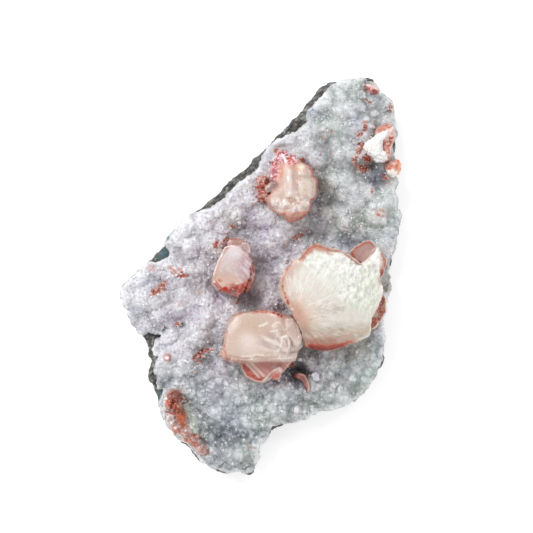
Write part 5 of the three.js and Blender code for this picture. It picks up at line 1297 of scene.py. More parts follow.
    # white lines: painted highlights along the edges and steps, painted glints, and white marks on the face
    c = lines(c, px, py, hue(252, 246, 236), [
        ([(259.5, 326), (263, 325), (267, 323)], 1.0, 0.95), ([(272.6, 325.6), (276, 322.8), (279.6, 322.2)], 1.0, 0.85), ([(273.4, 327.4), (277, 325.6)], 0.9, 0.6),
        ([(271, 331.4), (277, 330.2)], 0.8, 0.8), ([(283, 337), (287.4, 335.4)], 1.1, 0.9), ([(281.6, 338), (281.6, 344), (278, 351.4)], 0.8, 0.75), ([(288.6, 337), (289.4, 345)], 0.8, 0.6),
        ([(265, 339.4), (275, 341), (279.6, 345)], 0.9, 0.5), ([(228.6, 325.6), (227.6, 330)], 0.9, 0.6), ([(253, 340.6), (261, 339.4)], 0.8, 0.25),
        ([(250.6, 358.6), (253.4, 360.9), (265, 362), (281, 362.1), (294.6, 361)], 0.85, 0.9), ([(241.6, 356.6), (252, 355.9), (256, 354.3), (263.6, 355.4)], 0.75, 0.75),
        ([(297.4, 354), (299.4, 349.6), (303.8, 346.4), (304.4, 340), (303.4, 334)], 0.9, 0.8), ([(297.4, 322), (300.6, 330), (301, 337)], 0.7, 0.4),
        ([(225.6, 333), (224.4, 341), (223.6, 346)], 0.6, 0.5), ([(268, 358.4), (280, 358.8), (292, 358)], 0.7, 0.45), ([(284, 349), (288, 352.6), (286, 356)], 0.7, 0.5)])
    c = lines(c, px, py, hue(188, 138, 126), [
        ([(228, 355.4), (240, 358), (250, 358)], 0.9, 0.6), ([(256, 356.8), (266, 358), (276, 357.4)], 1.0, 0.45), ([(227.4, 330), (226, 340), (225.4, 348)], 0.8, 0.6),
        ([(286.4, 340), (287, 346)], 0.9, 0.6), ([(290, 338), (293, 343)], 0.9, 0.4), ([(291.6, 314.6), (294, 320), (296, 328)], 0.9, 0.45)])
    c = blend(c, hue(208, 160, 142), 0.65 * smooth(3.2, 0.5, e) * smooth(0.0, 0.6, side + 0.4) * smooth(300, 292, px))
    # red: flecks along the far edge, on the left foot and along the front
    far = smooth(4.0, 1.4, e + w1) * smooth(320, 314, py)
    far = far * smooth(4.5, 8.5, h + 3 * w2)
    c = blend(c, hue(202, 104, 60), 0.9 * far * smooth(250, 254, px) * smooth(269, 266, px) * smooth(-0.35, 0.1, w2))
    c = blend(c, hue(200, 96, 64), 0.8 * stroke(px, py, [(235, 315.6), (241, 314.2)], 1.1, 0.7) * smooth(-0.3, 0.1, w2))
    c = blend(c, hue(230, 168, 156), 0.8 * stroke(px, py, [(271, 311.8), (277, 313.4), (283.4, 316)], 2.6, 0.6))
    for x, y, r in [(273.8, 312.4, 1.3), (278.4, 314.4, 1.4), (281.4, 316.2, 1.2), (276, 311.6, 0.9)]:
        c = blend(c, hue(168, 54, 46), 0.95 * blob(px, py, x, y, r, r, 0, 0.4))
    foot = np.maximum(blob(px, py, 223.8, 348.4, 1.3, 3.4, 0, 0.5), np.maximum(blob(px, py, 228, 359.4, 4, 2.4, 0.3, 0.5), blob(px, py, 238, 361.8, 8, 2.2, 0, 0.5)))
    c = blend(c, hue(222, 180, 162), 0.7 * blob(px, py, 222.6, 354, 3.6, 5.4, 0.2, 0.4))
    c = blend(c, hue(186, 86, 64), 0.85 * foot * smooth(-0.35, 0.2, w2))
    c = blend(c, hue(190, 104, 84), 0.55 * stroke(px, py, [(224.6, 350), (226, 355), (228, 359.6)], 0.9, 0.7))
    c = blend(c, hue(204, 128, 104), 0.55 * side * smooth(5.5, 1.0, h) * (1 - wedge))
    band = smooth(0.4, 0.9, np.sin(h * 5.2 + 4.0 * fbm(px * 0.05, py * 0.05, h * 0.15, 3, 311))) * smooth(-0.3, 0.3, w1)
    c = blend(c, hue(240, 222, 210), 0.35 * side * band * (1 - wedge))
    c = blend(c, hue(196, 150, 136), 0.35 * side * smooth(0.05, 0.4, -w1 - 0.3 * course) * (1 - wedge))
    # the wedge: dusky pink with two pale ribs, strongly red at its lower left and tip
    wc = np.tile(hue(208, 150, 140), (len(v), 1))
    wc = blend(wc, hue(222, 172, 160), 0.6 * smooth(0.2, 0.9, np.sin(oblique * 1.1 + 1.2 * fbm(px * 0.05, py * 0.05, 0, 2, 303))))
    wc = blend(wc, hue(196, 128, 120), 0.6 * blob(px, py, 268, 365, 12, 4, 0.1, 0.6))
    wc = blend(wc, hue(206, 188, 182), 0.6 * blob(px, py, 250, 361.5, 5, 3, 0.6, 0.5))
    low_left = smooth(7.5, 4.6, ew + w1) * smooth(270, 262, px) * smooth(362, 367, py)
    wc = blend(wc, hue(196, 92, 70), 0.8 * low_left)
    wc = blend(wc, hue(166, 44, 34), 0.9 * low_left * smooth(-0.15, 0.2, w2))
    wc = blend(wc, hue(188, 80, 62), 0.75 * stroke(px, py, [(243.6, 366), (248, 368.4), (251, 371)], 1.2, 0.7))
    wc = blend(wc, hue(242, 206, 192), 0.9 * smooth(2.6, 1.0, ew + 0.5 * w1) * smooth(272, 262, px) * smooth(364, 367, py))
    wc = blend(wc, hue(240, 214, 204), 0.85 * ribs)
    wc = blend(wc, hue(196, 96, 78), 0.7 * blob(px, py, 275.6, 376.8, 4.6, 3.4, -0.5, 0.5) * smooth(-0.4, 0.1, w2))
    wc = blend(wc, hue(206, 100, 70), 0.5 * blob(px, py, 278, 376, 1.2, 2.6, 0.5, 0.5))
    # painted glint: a light mauve patch with a white streak
    wc = blend(wc, hue(226, 196, 196), 0.8 * blob(px, py, 277, 368.6, 4.8, 2.8, 0.4, 0.6))
    wc = blend(wc, hue(244, 232, 230), 0.7 * stroke(px, py, [(279, 369), (281.4, 371.4)], 1.2, 0.7))
    wc = blend(wc, hue(206, 196, 184), 0.9 * blob(px, py, 266.8, 379.4, 2.6, 3.6, 0.7, 0.4))
    wc = lines(wc, px, py, hue(244, 222, 212), [([(275.6, 368.6), (269, 374.6), (262.6, 381.6)], 0.8, 0.85), ([(271.6, 377.2), (268.6, 381.4)], 0.6, 0.7), ([(290, 362.6), (284, 371.6), (279, 379)], 0.7, 0.6)])
    c = c * (1 - wedge)[:, None] + wc * wedge[:, None]
    ob = mesh_object("block_growth", v2, f, c)
    print("block", len(v), "points")
    return finish_piece(ob, M_PEACH, ["block_crystal"])


LEFT_OUTLINE = [
    (224.5, 247), (232, 244.8), (241, 246.5), (248.5, 253), (253.6, 262.5), (251.5, 276.5), (245, 289.5), (239, 298), (233, 295.5),
    (219, 291.5), (211, 284), (213, 275), (217.5, 261),
]


def left():
    voxel = 0.19
    top = tilted(232, 268, 9.2, -0.045, -0.02)
    face = [(226.5, 250), (233, 246.8), (241.5, 248.6), (248.4, 255), (252.2, 263), (250.6, 276.5), (244.4, 289), (238.6, 296), (232.6, 293.6), (219.6, 289.6), (213.4, 283), (215.2, 274.6), (220, 261)]
    v, f = remeshed([
        shell(LEFT_OUTLINE, [(0.82, ROOT), (0.95, 0.5), (1, under(top, 2.6)), (0.985, under(top, 1.4)), (0.95, under(top, 0.9))], (232, 270), 1, 2),
        shell(face, [(1.0, under(top, 2.6)), (1.0, under(top, 0.5)), (0.965, top), (0.5, top)], (232.5, 270)),
        shell([(226.5, 243), (230, 238.8), (237, 238), (243.5, 240.2), (244, 250), (229, 256)], [(0.82, ROOT), (1, 0.5), (1, 5), (0.9, 6.2), (0.4, 6.5)]),
        shell([(242.5, 243.5), (246.5, 241.4), (250.5, 246.5), (251, 254), (245, 254)], [(0.85, ROOT), (1, 0.5), (1, 6.4), (0.8, 7.4)]),
        shell([(246, 288), (252, 277), (254.6, 264), (255.2, 276), (251, 288), (245.6, 294)], [(0.85, ROOT), (1, 0.5), (1, 5.6), (0.8, 6.4)], (250, 280)),
    ], voxel)
    v = relaxed(v, f, 1)
    n = normals_of(v, f)
    px, py = plan_of(v)
    h = v[:, 2] - CRUST_LEVEL
    up = smooth(0.3, 0.8, n[:, 2])
    side = 1 - up
    out = 0.03 * fbm(px * 0.12, py * 0.12, h * 0.3, 2, 401)
    along = (px - 232) * 0.30 + (py - 268) * 0.95
    across = (px - 232) * 0.95 - (py - 268) * 0.30
    out += side * (0.05 * np.tanh(2 * np.sin(h * 3.3 + 3.0 * fbm(px * 0.05, py * 0.05, h * 0.1, 3, 402))) + 0.06 * fbm(px * 0.14, py * 0.14, h * 0.6, 3, 413))
    out += up * 0.03 * np.tanh(3 * np.sin(across * 0.9 + 0.4 * fbm(px * 0.05, py * 0.05, 0, 2, 403))) * smooth(235, 245, px)
    v2 = v + n * out[:, None]
    e = edge_distance(px, py, LEFT_OUTLINE)
    w1 = fbm(px * 0.3, py * 0.3, h * 0.8, 2, 404)
    w2 = fbm(px * 0.55, py * 0.55, h * 1.5, 3, 411)
    w3 = fbm((px + py) * 0.10, (px - py) * 0.42, h * 0.8, 3, 412)
    c = np.tile(hue(222, 200, 197), (len(v), 1))
    # painted highlight on the upper left of the face
    c = blend(c, hue(248, 246, 250), 0.75 * blob(px, py, 234, 252.6, 7.5, 5.2, 0.15, 0.9))
    c = blend(c, hue(236, 222, 222), 0.6 * blob(px, py, 228, 261, 7, 9, 0.4, 0.8))
    c = blend(c, hue(226, 190, 172), 0.8 * smooth(268, 281, py - 0.2 * (px - 232)))
    c = blend(c, hue(208, 180, 192), 0.75 * blob(px, py, 245, 268, 6.5, 12, 0.12, 0.5))
    c = blend(c, hue(240, 228, 234), 0.45 * smooth(0.08, 0.3, w3) * smooth(236, 243, px + 0.2 * (py - 268)))
    c = blend(c, hue(186, 138, 140), 0.5 * smooth(0.1, 0.35, -w3) * smooth(240, 246, px))
    c = c * (1 + 0.07 * w2)[:, None]
    c = blend(c, hue(246, 232, 226), 0.45 * smooth(0.2, 0.4, w3) * up)
    # painted shadow: a brownish patch at the upper left corner
    c = blend(c, hue(176, 142, 134), 0.75 * blob(px, py, 225.4, 250.4, 2.0, 4.4, 0.45, 0.5))
    c = blend(c, hue(196, 160, 150), 0.75 * smooth(4.2, 3.0, e + 0.3 * w1) * smooth(232, 222, px + 0.15 * (py - 268)))
    # painted highlight: a pale line along the bevelled left and top edge
    c = blend(c, hue(252, 232, 226), 0.9 * stroke(px, py, [(213.4, 275), (218.4, 260.4), (224.4, 247.4), (229.8, 245.6), (238.6, 248.4)], 0.7, 0.9))
    c = blend(c, hue(214, 118, 96), 0.35 * stroke(px, py, [(212, 277), (216.6, 262), (222.6, 248.6)], 0.6, 0.8) * smooth(-0.3, 0.1, w1))
    bottom = smooth(-11.0, -3.0, along - 24 + 3.2 * w1 - 0.10 * across)
    mottled = smooth(-0.30, 0.20, fbm(px * 0.42, py * 0.42, 2 + h * 1.2, 3, 405))
    c = blend(c, hue(200, 112, 94), 0.85 * smooth(0.12, 0.75, bottom))
    c = blend(c, hue(166, 50, 34), 0.9 * smooth(0.30, 0.85, bottom) * mottled)
    c = blend(c, hue(222, 176, 166), 0.75 * smooth(0.3, 0.9, bottom) * smooth(0.12, 0.34, -w2))
    c = blend(c, hue(214, 128, 88), 0.8 * blob(px, py, 219.7, 280.6, 2.0, 1.8, 0.3, 0.5))
    c = blend(c, hue(190, 30, 22), 0.95 * blob(px, py, 225.5, 288.6, 2.4, 2.0, 0.3, 0.5))
    c = blend(c, hue(116, 80, 76), 0.8 * blob(px, py, 234, 291.4, 2.6, 1.8, 0.2, 0.5))
    c = blend(c, hue(176, 62, 48), 0.85 * np.maximum(stroke(px, py, [(211.6, 281), (215, 283.4), (217.6, 287.4)], 0.8, 0.8), stroke(px, py, [(215.6, 281), (218.6, 285), (223, 289.8), (231, 293.6)], 0.7, 0.8)))
    c = blend(c, hue(246, 224, 218), 0.9 * blob(px, py, 214.2, 281.8, 1.5, 1.3, 0, 0.5))
    right = smooth(3.0, 1.0, e + 1.2 * w1) * smooth(243, 247, px) * smooth(256, 262, py)
    c = blend(c, hue(190, 90, 74), 0.85 * right * smooth(-0.3, 0.1, fbm(px * 0.35, py * 0.35, 6 + h * 1.1, 2, 406)))
    c = blend(c, hue(140, 32, 26), 0.85 * np.maximum.reduce([blob(px, py, x, y, 1.1, 1.7, 0.2, 0.5) for x, y in [(250.2, 268.7), (250.9, 274.4), (248.8, 280.4), (245.4, 287.6), (253, 262.4), (240, 296)]]))
    c = blend(c, hue(238, 214, 212), 0.8 * stroke(px, py, [(249.4, 251.6), (251.4, 257), (252.2, 261.6)], 0.8, 0.8))
    step = smooth(247.5, 245, py + 0.1 * (px - 232)) * smooth(8.0, 7.2, h)
    c = blend(c, hue(176, 130, 118), 0.85 * step)
    c = blend(c, hue(206, 170, 160), 0.7 * step * smooth(0.05, 0.3, w2))
    c = blend(c, hue(182, 74, 50), 0.85 * smooth(1.0, 4.5, h + 2 * w1) * step * np.maximum(smooth(228.5, 226.5, px), np.maximum(smooth(240.6, 239, py), smooth(247, 249.5, px))) * smooth(-0.4, 0.1, w2))
    chip = blob(px, py, 245.8, 246.6, 4.0, 5.0, -0.2, 0.35) * smooth(9.2, 8.4, h)
    c = blend(c, hue(188, 160, 156), 0.85 * chip)
    c = blend(c, hue(240, 218, 216), 0.75 * stroke(px, py, [(241.8, 244.6), (244.4, 241.8), (247.4, 243), (249.6, 248), (249.4, 252.4)], 0.8, 0.8) * smooth(9.4, 8.6, h))
    c = blend(c, hue(186, 60, 46), 0.9 * np.maximum(blob(px, py, 246.5, 241.8, 1.2, 1.0, 0, 0.4), blob(px, py, 250, 256.2, 1.2, 1.2, 0, 0.4)))
    c = blend(c, hue(190, 112, 96), 0.5 * side * smooth(4.5, 0.5, h + w1))
    c = blend(c, hue(240, 214, 204), 0.3 * side * smooth(0.4, 0.9, np.sin(h * 5.6 + 4 * fbm(px * 0.06, py * 0.06, h * 0.15, 3, 414))) * smooth(-0.3, 0.2, w1))
    ob = mesh_object("left_pearly", v2, f, c)
    print("left", len(v), "points")
    return finish_piece(ob, M_PEACH, ["left_crystal"])


UPPER_OUTLINE = [
    (286.5, 158), (292, 158.5), (298, 160.5), (304.5, 163.8), (309.5, 166.2), (313.6, 170.8), (313.2, 176), (317, 178.4),
    (318.4, 182), (317.2, 187), (317, 195), (315.6, 198.6), (312.6, 200.4), (311, 205), (310, 210.6), (306.2, 215.4),
    (302, 218.8), (296.6, 221.2), (291, 222.8), (288.4, 222.2), (285.2, 219), (280.8, 215.4), (275.6, 213.4),
    (271.6, 210.6), (268.6, 206.6), (266.4, 201.6), (265.6, 199.2), (271.8, 192.4), (278.4, 186.2), (276, 182.6),
    (272.4, 179.6), (270.8, 177), (272.5, 172), (274.5, 166), (276.5, 161), (281, 158),
]
CHIP = [(266, 186), (271, 182), (277, 182.6), (278, 186.4), (271.8, 191.6), (266.6, 193.5), (264.5, 190)]
PATCH_HIGH = [(256.5, 181), (259, 177), (264, 176), (268.2, 179), (268, 186), (266, 190), (259.5, 189.4), (258, 185)]
PATCH_LOW = [(258.6, 190), (263, 187), (268, 189), (271, 193), (268.6, 197), (264.5, 202.4), (261.6, 202.6), (259.4, 198.4)]


def upper_top(x, y):
    return 11.6 - 0.0075 * (x - 293) ** 2 - 0.003 * (y - 190) ** 2


def upper():
    voxel = 0.205
    t = upper_top
    ridge_ring = [(284.5, 163), (290.5, 163.5), (293.4, 172), (293, 182), (293.6, 196), (289, 200), (284, 196), (283, 182), (282.5, 172)]
    right_ring = [(297, 178), (303, 176.4), (310, 178.6), (313.6, 183), (312.8, 192), (309, 199), (302, 200), (297.4, 194), (296, 186)]
    head_ring = [(299, 167), (304.5, 164.6), (310, 167), (313.2, 171.4), (312.6, 176), (306, 177.6), (300, 175.4)]
    shells = [
        shell(UPPER_OUTLINE, [(0.8, ROOT), (0.95, 1), (1, under(t, 3.2)), (0.94, under(t, 1.1)), (0.84, under(t, 0.3)), (0.62, t), (0.3, t)], (292, 190), 2, 2),
        shell(ridge_ring, [(0.9, 5), (1, under(t, 0.3)), (0.72, under(t, -0.4)), (0.35, under(t, -1.0))], None, 2, 2),
        shell(right_ring, [(0.9, 5), (1, under(t, 0.2)), (0.9, under(t, -0.3)), (0.62, under(t, -0.75)), (0.3, under(t, -0.9))], None, 2, 2),
        shell(head_ring, [(0.9, 4), (1, under(t, 0.7)), (0.9, under(t, -0.3)), (0.6, under(t, -1.0))], None, 2, 2),
        shell(oval(283.2, 159.6, 8.6, 7.6, 20), [(0.8, ROOT), (0.98, 1), (1, 5.4), (0.7, 7.2), (0.3, 7.6)]),
        shell(oval(292, 160.6, 5.6, 5.6, 16), [(0.8, ROOT), (0.98, 1), (1, 5.8), (0.7, 7.2), (0.3, 7.5)]),
        shell(oval(274.4, 172, 4.6, 9.4, 20, 0.2), [(0.8, ROOT), (1, 4), (0.84, 5.9), (0.5, 6.6)], None, 1, 2),
        shell(CHIP, [(0.9, ROOT), (1, 3.6), (0.95, 4.8), (0.8, 5.2)]),
        shell(PATCH_HIGH, [(0.82, ROOT), (1, 0.6), (0.9, 2.8), (0.5, 3.8)], None, 2),
        shell(PATCH_LOW, [(0.82, ROOT), (1, 0.6), (0.9, 2.6), (0.5, 3.6)], None, 2),
    ]
    # frosty lumps across the lower part
    for k, (x, y, r, lift) in enumerate([(283.7, 205.2, 5.0, 0.9), (294.9, 208.5, 5.6, 0.9), (305, 204.4, 4.8, 1.0), (275.6, 202.6, 5.2, 0.8),
                                         (289.6, 195.6, 3.4, 1.2), (290, 213.8, 4.2, 0.6), (301.6, 212.4, 4.0, 0.4), (281, 212, 3.6, 0.2), (310.4, 196.4, 3.6, 0.7)]):
        shells.append(shell(oval(x, y, r, r, 14, 0.3 * k), [(0.9, 3), (1, under(t, 0.9)), (0.9, under(t, 0.2 - 0.5 * lift)), (0.45, under(t, -lift))]))
    # points and plates of the cap
    rng = np.random.default_rng(55)
    for x, y in [(277.4, 153.6), (281.4, 151.8), (286.4, 151.8), (290.8, 154.2), (294.8, 157), (297.4, 160.6), (276, 158.6), (280.6, 157), (285.6, 157), (290, 159.4),
                 (294, 163), (275.4, 164.6), (279.6, 163), (284.6, 162.6), (289.4, 165), (272.6, 170.4), (276.6, 169.4), (272.2, 176.4), (276.6, 175.6)]:
        turn, r = rng.uniform(0, 3.1), rng.uniform(1.7, 2.7)
        high = 6.3 + rng.uniform(0, 1.5) - 0.05 * max(0, 170 - y)
        ring = oval(x, y, r, r * rng.uniform(0.55, 0.95), int(rng.integers(4, 7)), turn)
        dx, dy = rng.uniform(-0.9, 0.9, 2)
        shells.append(shell(ring, [(0.9, 3.5), (1, high - 1), (0.9, high), (0.35, tilted(x, y, high + 1.1, 0.35 * dx, 0.35 * dy))], (x + dx, y + dy)))
    v, f = remeshed(shells, voxel)
    px, py = plan_of(v)
    druse_like = np.maximum(np.maximum(blob(px, py, 286, 156.6, 13.5, 7.6, 0.25, 0.3), blob(px, py, 274.4, 171, 4.6, 10, 0.2, 0.35)), smooth(267, 264, px + 0.35 * (py - 190)))
    eased = relaxed(v, f, 15)
    v = relaxed(v, f, 1)
    v = v * druse_like[:, None] + eased * (1 - druse_like)[:, None]
    n = normals_of(v, f)
    px, py = plan_of(v)
    h = v[:, 2] - CRUST_LEVEL
    up = smooth(0.2, 0.75, n[:, 2])
    e = edge_distance(px, py, UPPER_OUTLINE)
    w1 = fbm(px * 0.26, py * 0.26, h * 0.2, 2, 505)
    w2 = fbm(px * 0.55, py * 0.55, h * 1.5, 3, 512)
    w3 = fbm(px * 0.12, py * 0.12, h * 0.1, 2, 513)
    cap = np.clip(np.maximum(blob(px, py, 286, 156.6, 13.5, 6.8, 0.25, 0.3), 0.9 * blob(px, py, 274.4, 171, 4.2, 9.5, 0.2, 0.35)), 0, 1) * smooth(0.5, 4.0, h + 2.5 * w2)
    chip = smooth(-0.6, 0.5, edge_distance(px, py, CHIP)) * smooth(6.6, 5.6, h)
    patch = np.maximum(smooth(-1.0, 0.6, edge_distance(px, py, PATCH_HIGH)), smooth(-1.0, 0.6, edge_distance(px, py, PATCH_LOW))) * smooth(5.2, 4.2, h) * (1 - chip)
    grain, gq, gown, ggap = beads(px + 1.1 * h, py + 2.4 * h, 2.6, 1.0, 2.2, 501, 0.8)
    frost = np.clip(np.maximum.reduce([blob(px, py, x, y, rx, ry, 0, 0.5) for x, y, rx, ry in
        [(283.7, 205.2, 5.4, 4.6), (294.9, 208.5, 6.2, 4.6), (289.3, 193.6, 3.0, 4.4), (306.7, 203.5, 4.6, 5.0), (276.5, 202.5, 4.4, 3.6), (300, 199, 4.0, 3.0)]]), 0, 1)
    foot = smooth(-1.5, 2.5, py - 211.5 - 0.12 * np.abs(px - 294) ** 1.0 * 0 + 1.6 * w1) * smooth(9.5, 8.0, e)
    flute = fbm(px * 0.22, py * 0.06, 2, 2, 503)
    facet = np.abs(fbm(px * 0.11, py * 0.08, h * 0.1, 2, 514))
    out = 0.08 * w2 + 0.20 * (cap + patch).clip(0, 1) * np.clip(grain, -1, 1.4) + 0.13 * frost * np.clip(grain, -1, 1.4)
    out += (0.16 * flute - 0.20 * facet) * up * (1 - cap)
    out += 0.10 * (1 - up) * np.tanh(2.5 * np.sin(h * 2.8 + 1.2 * fbm(px * 0.06, py * 0.06, 0, 2, 504)))
    v2 = v + n * out[:, None]
    c = np.tile(hue(222, 200, 188), (len(v), 1))
    c = blend(c, hue(206, 182, 172), 0.6 * smooth(0.02, 0.4, -w3))
    c = blend(c, hue(236, 220, 212), 0.6 * smooth(0.1, 0.5, w2))
    # painted shade where the flutes lie low
    c = blend(c, hue(206, 174, 160), 0.55 * smooth(0.1, 0.5, -flute - 0.3 * w2))
    # the left lower facet, painted shade in the valley and along the raised face's edges, painted highlight on the
    # raised face, and the bulge at the head
    c = blend(c, hue(212, 188, 178), 0.7 * blob(px, py, 276.5, 196.5, 7, 8, -0.5, 0.5))
    c = blend(c, hue(204, 178, 166), 0.5 * blob(px, py, 296, 180.5, 3.4, 9.5, 0.1, 0.7))
    c = blend(c, hue(236, 224, 212), 0.8 * blob(px, py, 305.2, 187.6, 6.4, 8.6, 0.05, 0.4) * smooth(-0.5, 0.1, w2 + 0.3 * w1))
    c = blend(c, hue(248, 240, 232), 0.55 * blob(px, py, 303, 184, 3.6, 4.4, 0.3, 0.5) * smooth(-0.3, 0.3, w2))
    c = blend(c, hue(214, 184, 174), 0.7 * blob(px, py, 308, 170.4, 5, 4.6, 0.4, 0.5))
    c = blend(c, hue(190, 156, 144), 0.35 * stroke(px, py, [(299.6, 176.2), (305, 177), (312.6, 176.2)], 1.0, 0.8))
    c = blend(c, hue(178, 138, 126), 0.4 * stroke(px, py, [(297.6, 178), (296.6, 186), (298, 194), (301, 198.6)], 0.9, 0.8) * smooth(-0.5, 0.1, w1))
    # painted highlight along the ridge's crest, painted shade on its right flank
    c = blend(c, hue(248, 238, 232), 0.65 * stroke(px + 0.8 * w1, py, [(286.5, 162.5), (289.3, 171.5), (289.4, 176.5), (291.4, 185), (291.6, 194)], 1.6, 0.95))
    c = blend(c, hue(196, 162, 150), 0.4 * stroke(px, py, [(293.2, 166), (294.4, 172), (294.2, 182)], 1.6, 0.9))
    c = blend(c, hue(214, 176, 158), 0.6 * blob(px, py, 281, 174, 4.4, 9.5, 0.12, 0.5))
    c = blend(c, hue(210, 132, 112), 0.75 * blob(px, py, 279.4, 171, 4.4, 9, 0.12, 0.5) * smooth(-0.4, 0.1, w2))
    c = blend(c, hue(214, 146, 126), 0.6 * blob(px, py, 291, 166, 8, 3.6, 0.5, 0.5))
    # frosty lumps: white, mottled with pink and brown between the grains
    c = blend(c, hue(228, 206, 196), 0.8 * frost)
    c = blend(c, hue(250, 246, 244), 0.9 * frost * smooth(-0.18, 0.22, w2 + 0.5 * (gown - 0.45)))
    c = blend(c, hue(186, 132, 118), 0.7 * blob(px, py, 290, 201.6, 12, 3.4, 0.1, 0.4) * smooth(0.05, 0.35, -w2))
    # the salmon foot and the thin red rim down the right side
    c = blend(c, hue(230, 174, 156), 0.85 * foot * smooth(-0.6, -0.1, w2))
    c = blend(c, hue(212, 124, 98), 0.8 * foot * smooth(-0.1, 0.25, w2 + 0.5 * w1 + 0.5 * smooth(4, 1, e) - 0.15))
    c = blend(c, hue(164, 62, 42), 0.7 * foot * smooth(2.6, 0.8, e) * smooth(-0.2, 0.2, w1 + w2))
    c = blend(c, hue(198, 104, 84), 0.8 * smooth(4.4, 1.6, e + w1) * blob(px, py, 268.6, 200, 5, 9, -0.5, 0.5) * smooth(-0.4, 0.1, w2))
    rim = smooth(3.2, 1.2, e + 1.0 * w1)
    c = blend(c, hue(206, 150, 136), 0.8 * rim)
    c = blend(c, hue(190, 88, 70), 0.85 * smooth(2.2, 0.6, e + 0.8 * w1) * smooth(305, 311, px + 0.5 * np.maximum(py - 196, 0)) * smooth(-0.45, 0.05, w2))
    c = blend(c, hue(208, 116, 96), 0.8 * stroke(px, py, [(303.6, 163.4), (309.6, 166.4), (313.4, 171.4)], 1.3, 0.7) * smooth(-0.4, 0.1, w2))
    # the cap: magenta-pink druse with white glints, salmon towards the right
    c = blend(c, hue(222, 156, 166), 0.9 * cap)
    c = blend(c, hue(208, 92, 104), 0.85 * cap * smooth(0.0, 0.25, w2))
    c = blend(c, hue(168, 54, 56), 0.75 * cap * smooth(0.22, 0.42, w2))
    c = blend(c, hue(204, 92, 66), 0.8 * blob(px, py, 291.5, 160, 6.8, 4.0, 0.45, 0.4) * smooth(-0.3, 0.1, w1 + w2))
    c = blend(c, hue(253, 240, 246), 0.9 * cap * smooth(0.12, 0.34, -w2 + 0.35 * (gown - 0.5)))
    c = blend(c, hue(255, 252, 255), 0.9 * np.maximum(stroke(px, py, [(281.8, 154.4), (284.6, 157.4), (285.6, 161.6)], 1.4, 0.6), blob(px, py, 288.4, 153.4, 1.4, 1.1, 0.3, 0.4)))
    c = blend(c, hue(232, 214, 190), 0.85 * blob(px, py, 301.4, 166.6, 3.0, 3.8, 0.5, 0.35) * smooth(5, 8, h))
    # the clear chip, then the red patch with its pale, glassy bits
    c = blend(c, hue(172, 152, 144), 0.9 * chip)
    c = blend(c, hue(150, 128, 120), 0.5 * chip * smooth(0.0, 0.3, w2))
    c = blend(c, hue(206, 190, 182), 0.45 * chip * smooth(1.2, 0.4, np.abs(edge_distance(px, py, CHIP) - 0.7)))
    c = blend(c, hue(184, 122, 108), 0.9 * patch)
    c = blend(c, hue(168, 62, 40), 0.9 * patch * smooth(-0.22, 0.10, w2 + 0.3 * w1))
    c = blend(c, hue(134, 36, 26), 0.65 * patch * smooth(0.15, 0.4, w2))
    c = blend(c, hue(214, 196, 190), 0.8 * patch * smooth(0.14, 0.36, -w2 + 0.3 * (gown - 0.5)))
    # painted shade in the gaps between grains of the cap, the red patch and the frost
    c = c * (1 - 0.20 * (cap + patch + 0.6 * frost).clip(0, 1) * np.exp(-ggap / 0.3))[:, None]
    c = blend(c, hue(204, 126, 106), 0.6 * (1 - up) * smooth(6.5, 2.0, h + 1.5 * w1) * (1 - patch) * (1 - chip))
    ob = mesh_object("upper_lobes", v2, f, c)
    print("upper", len(v), "points")
    return finish_piece(ob, M_PINK, ["upper_crystal_cluster"])


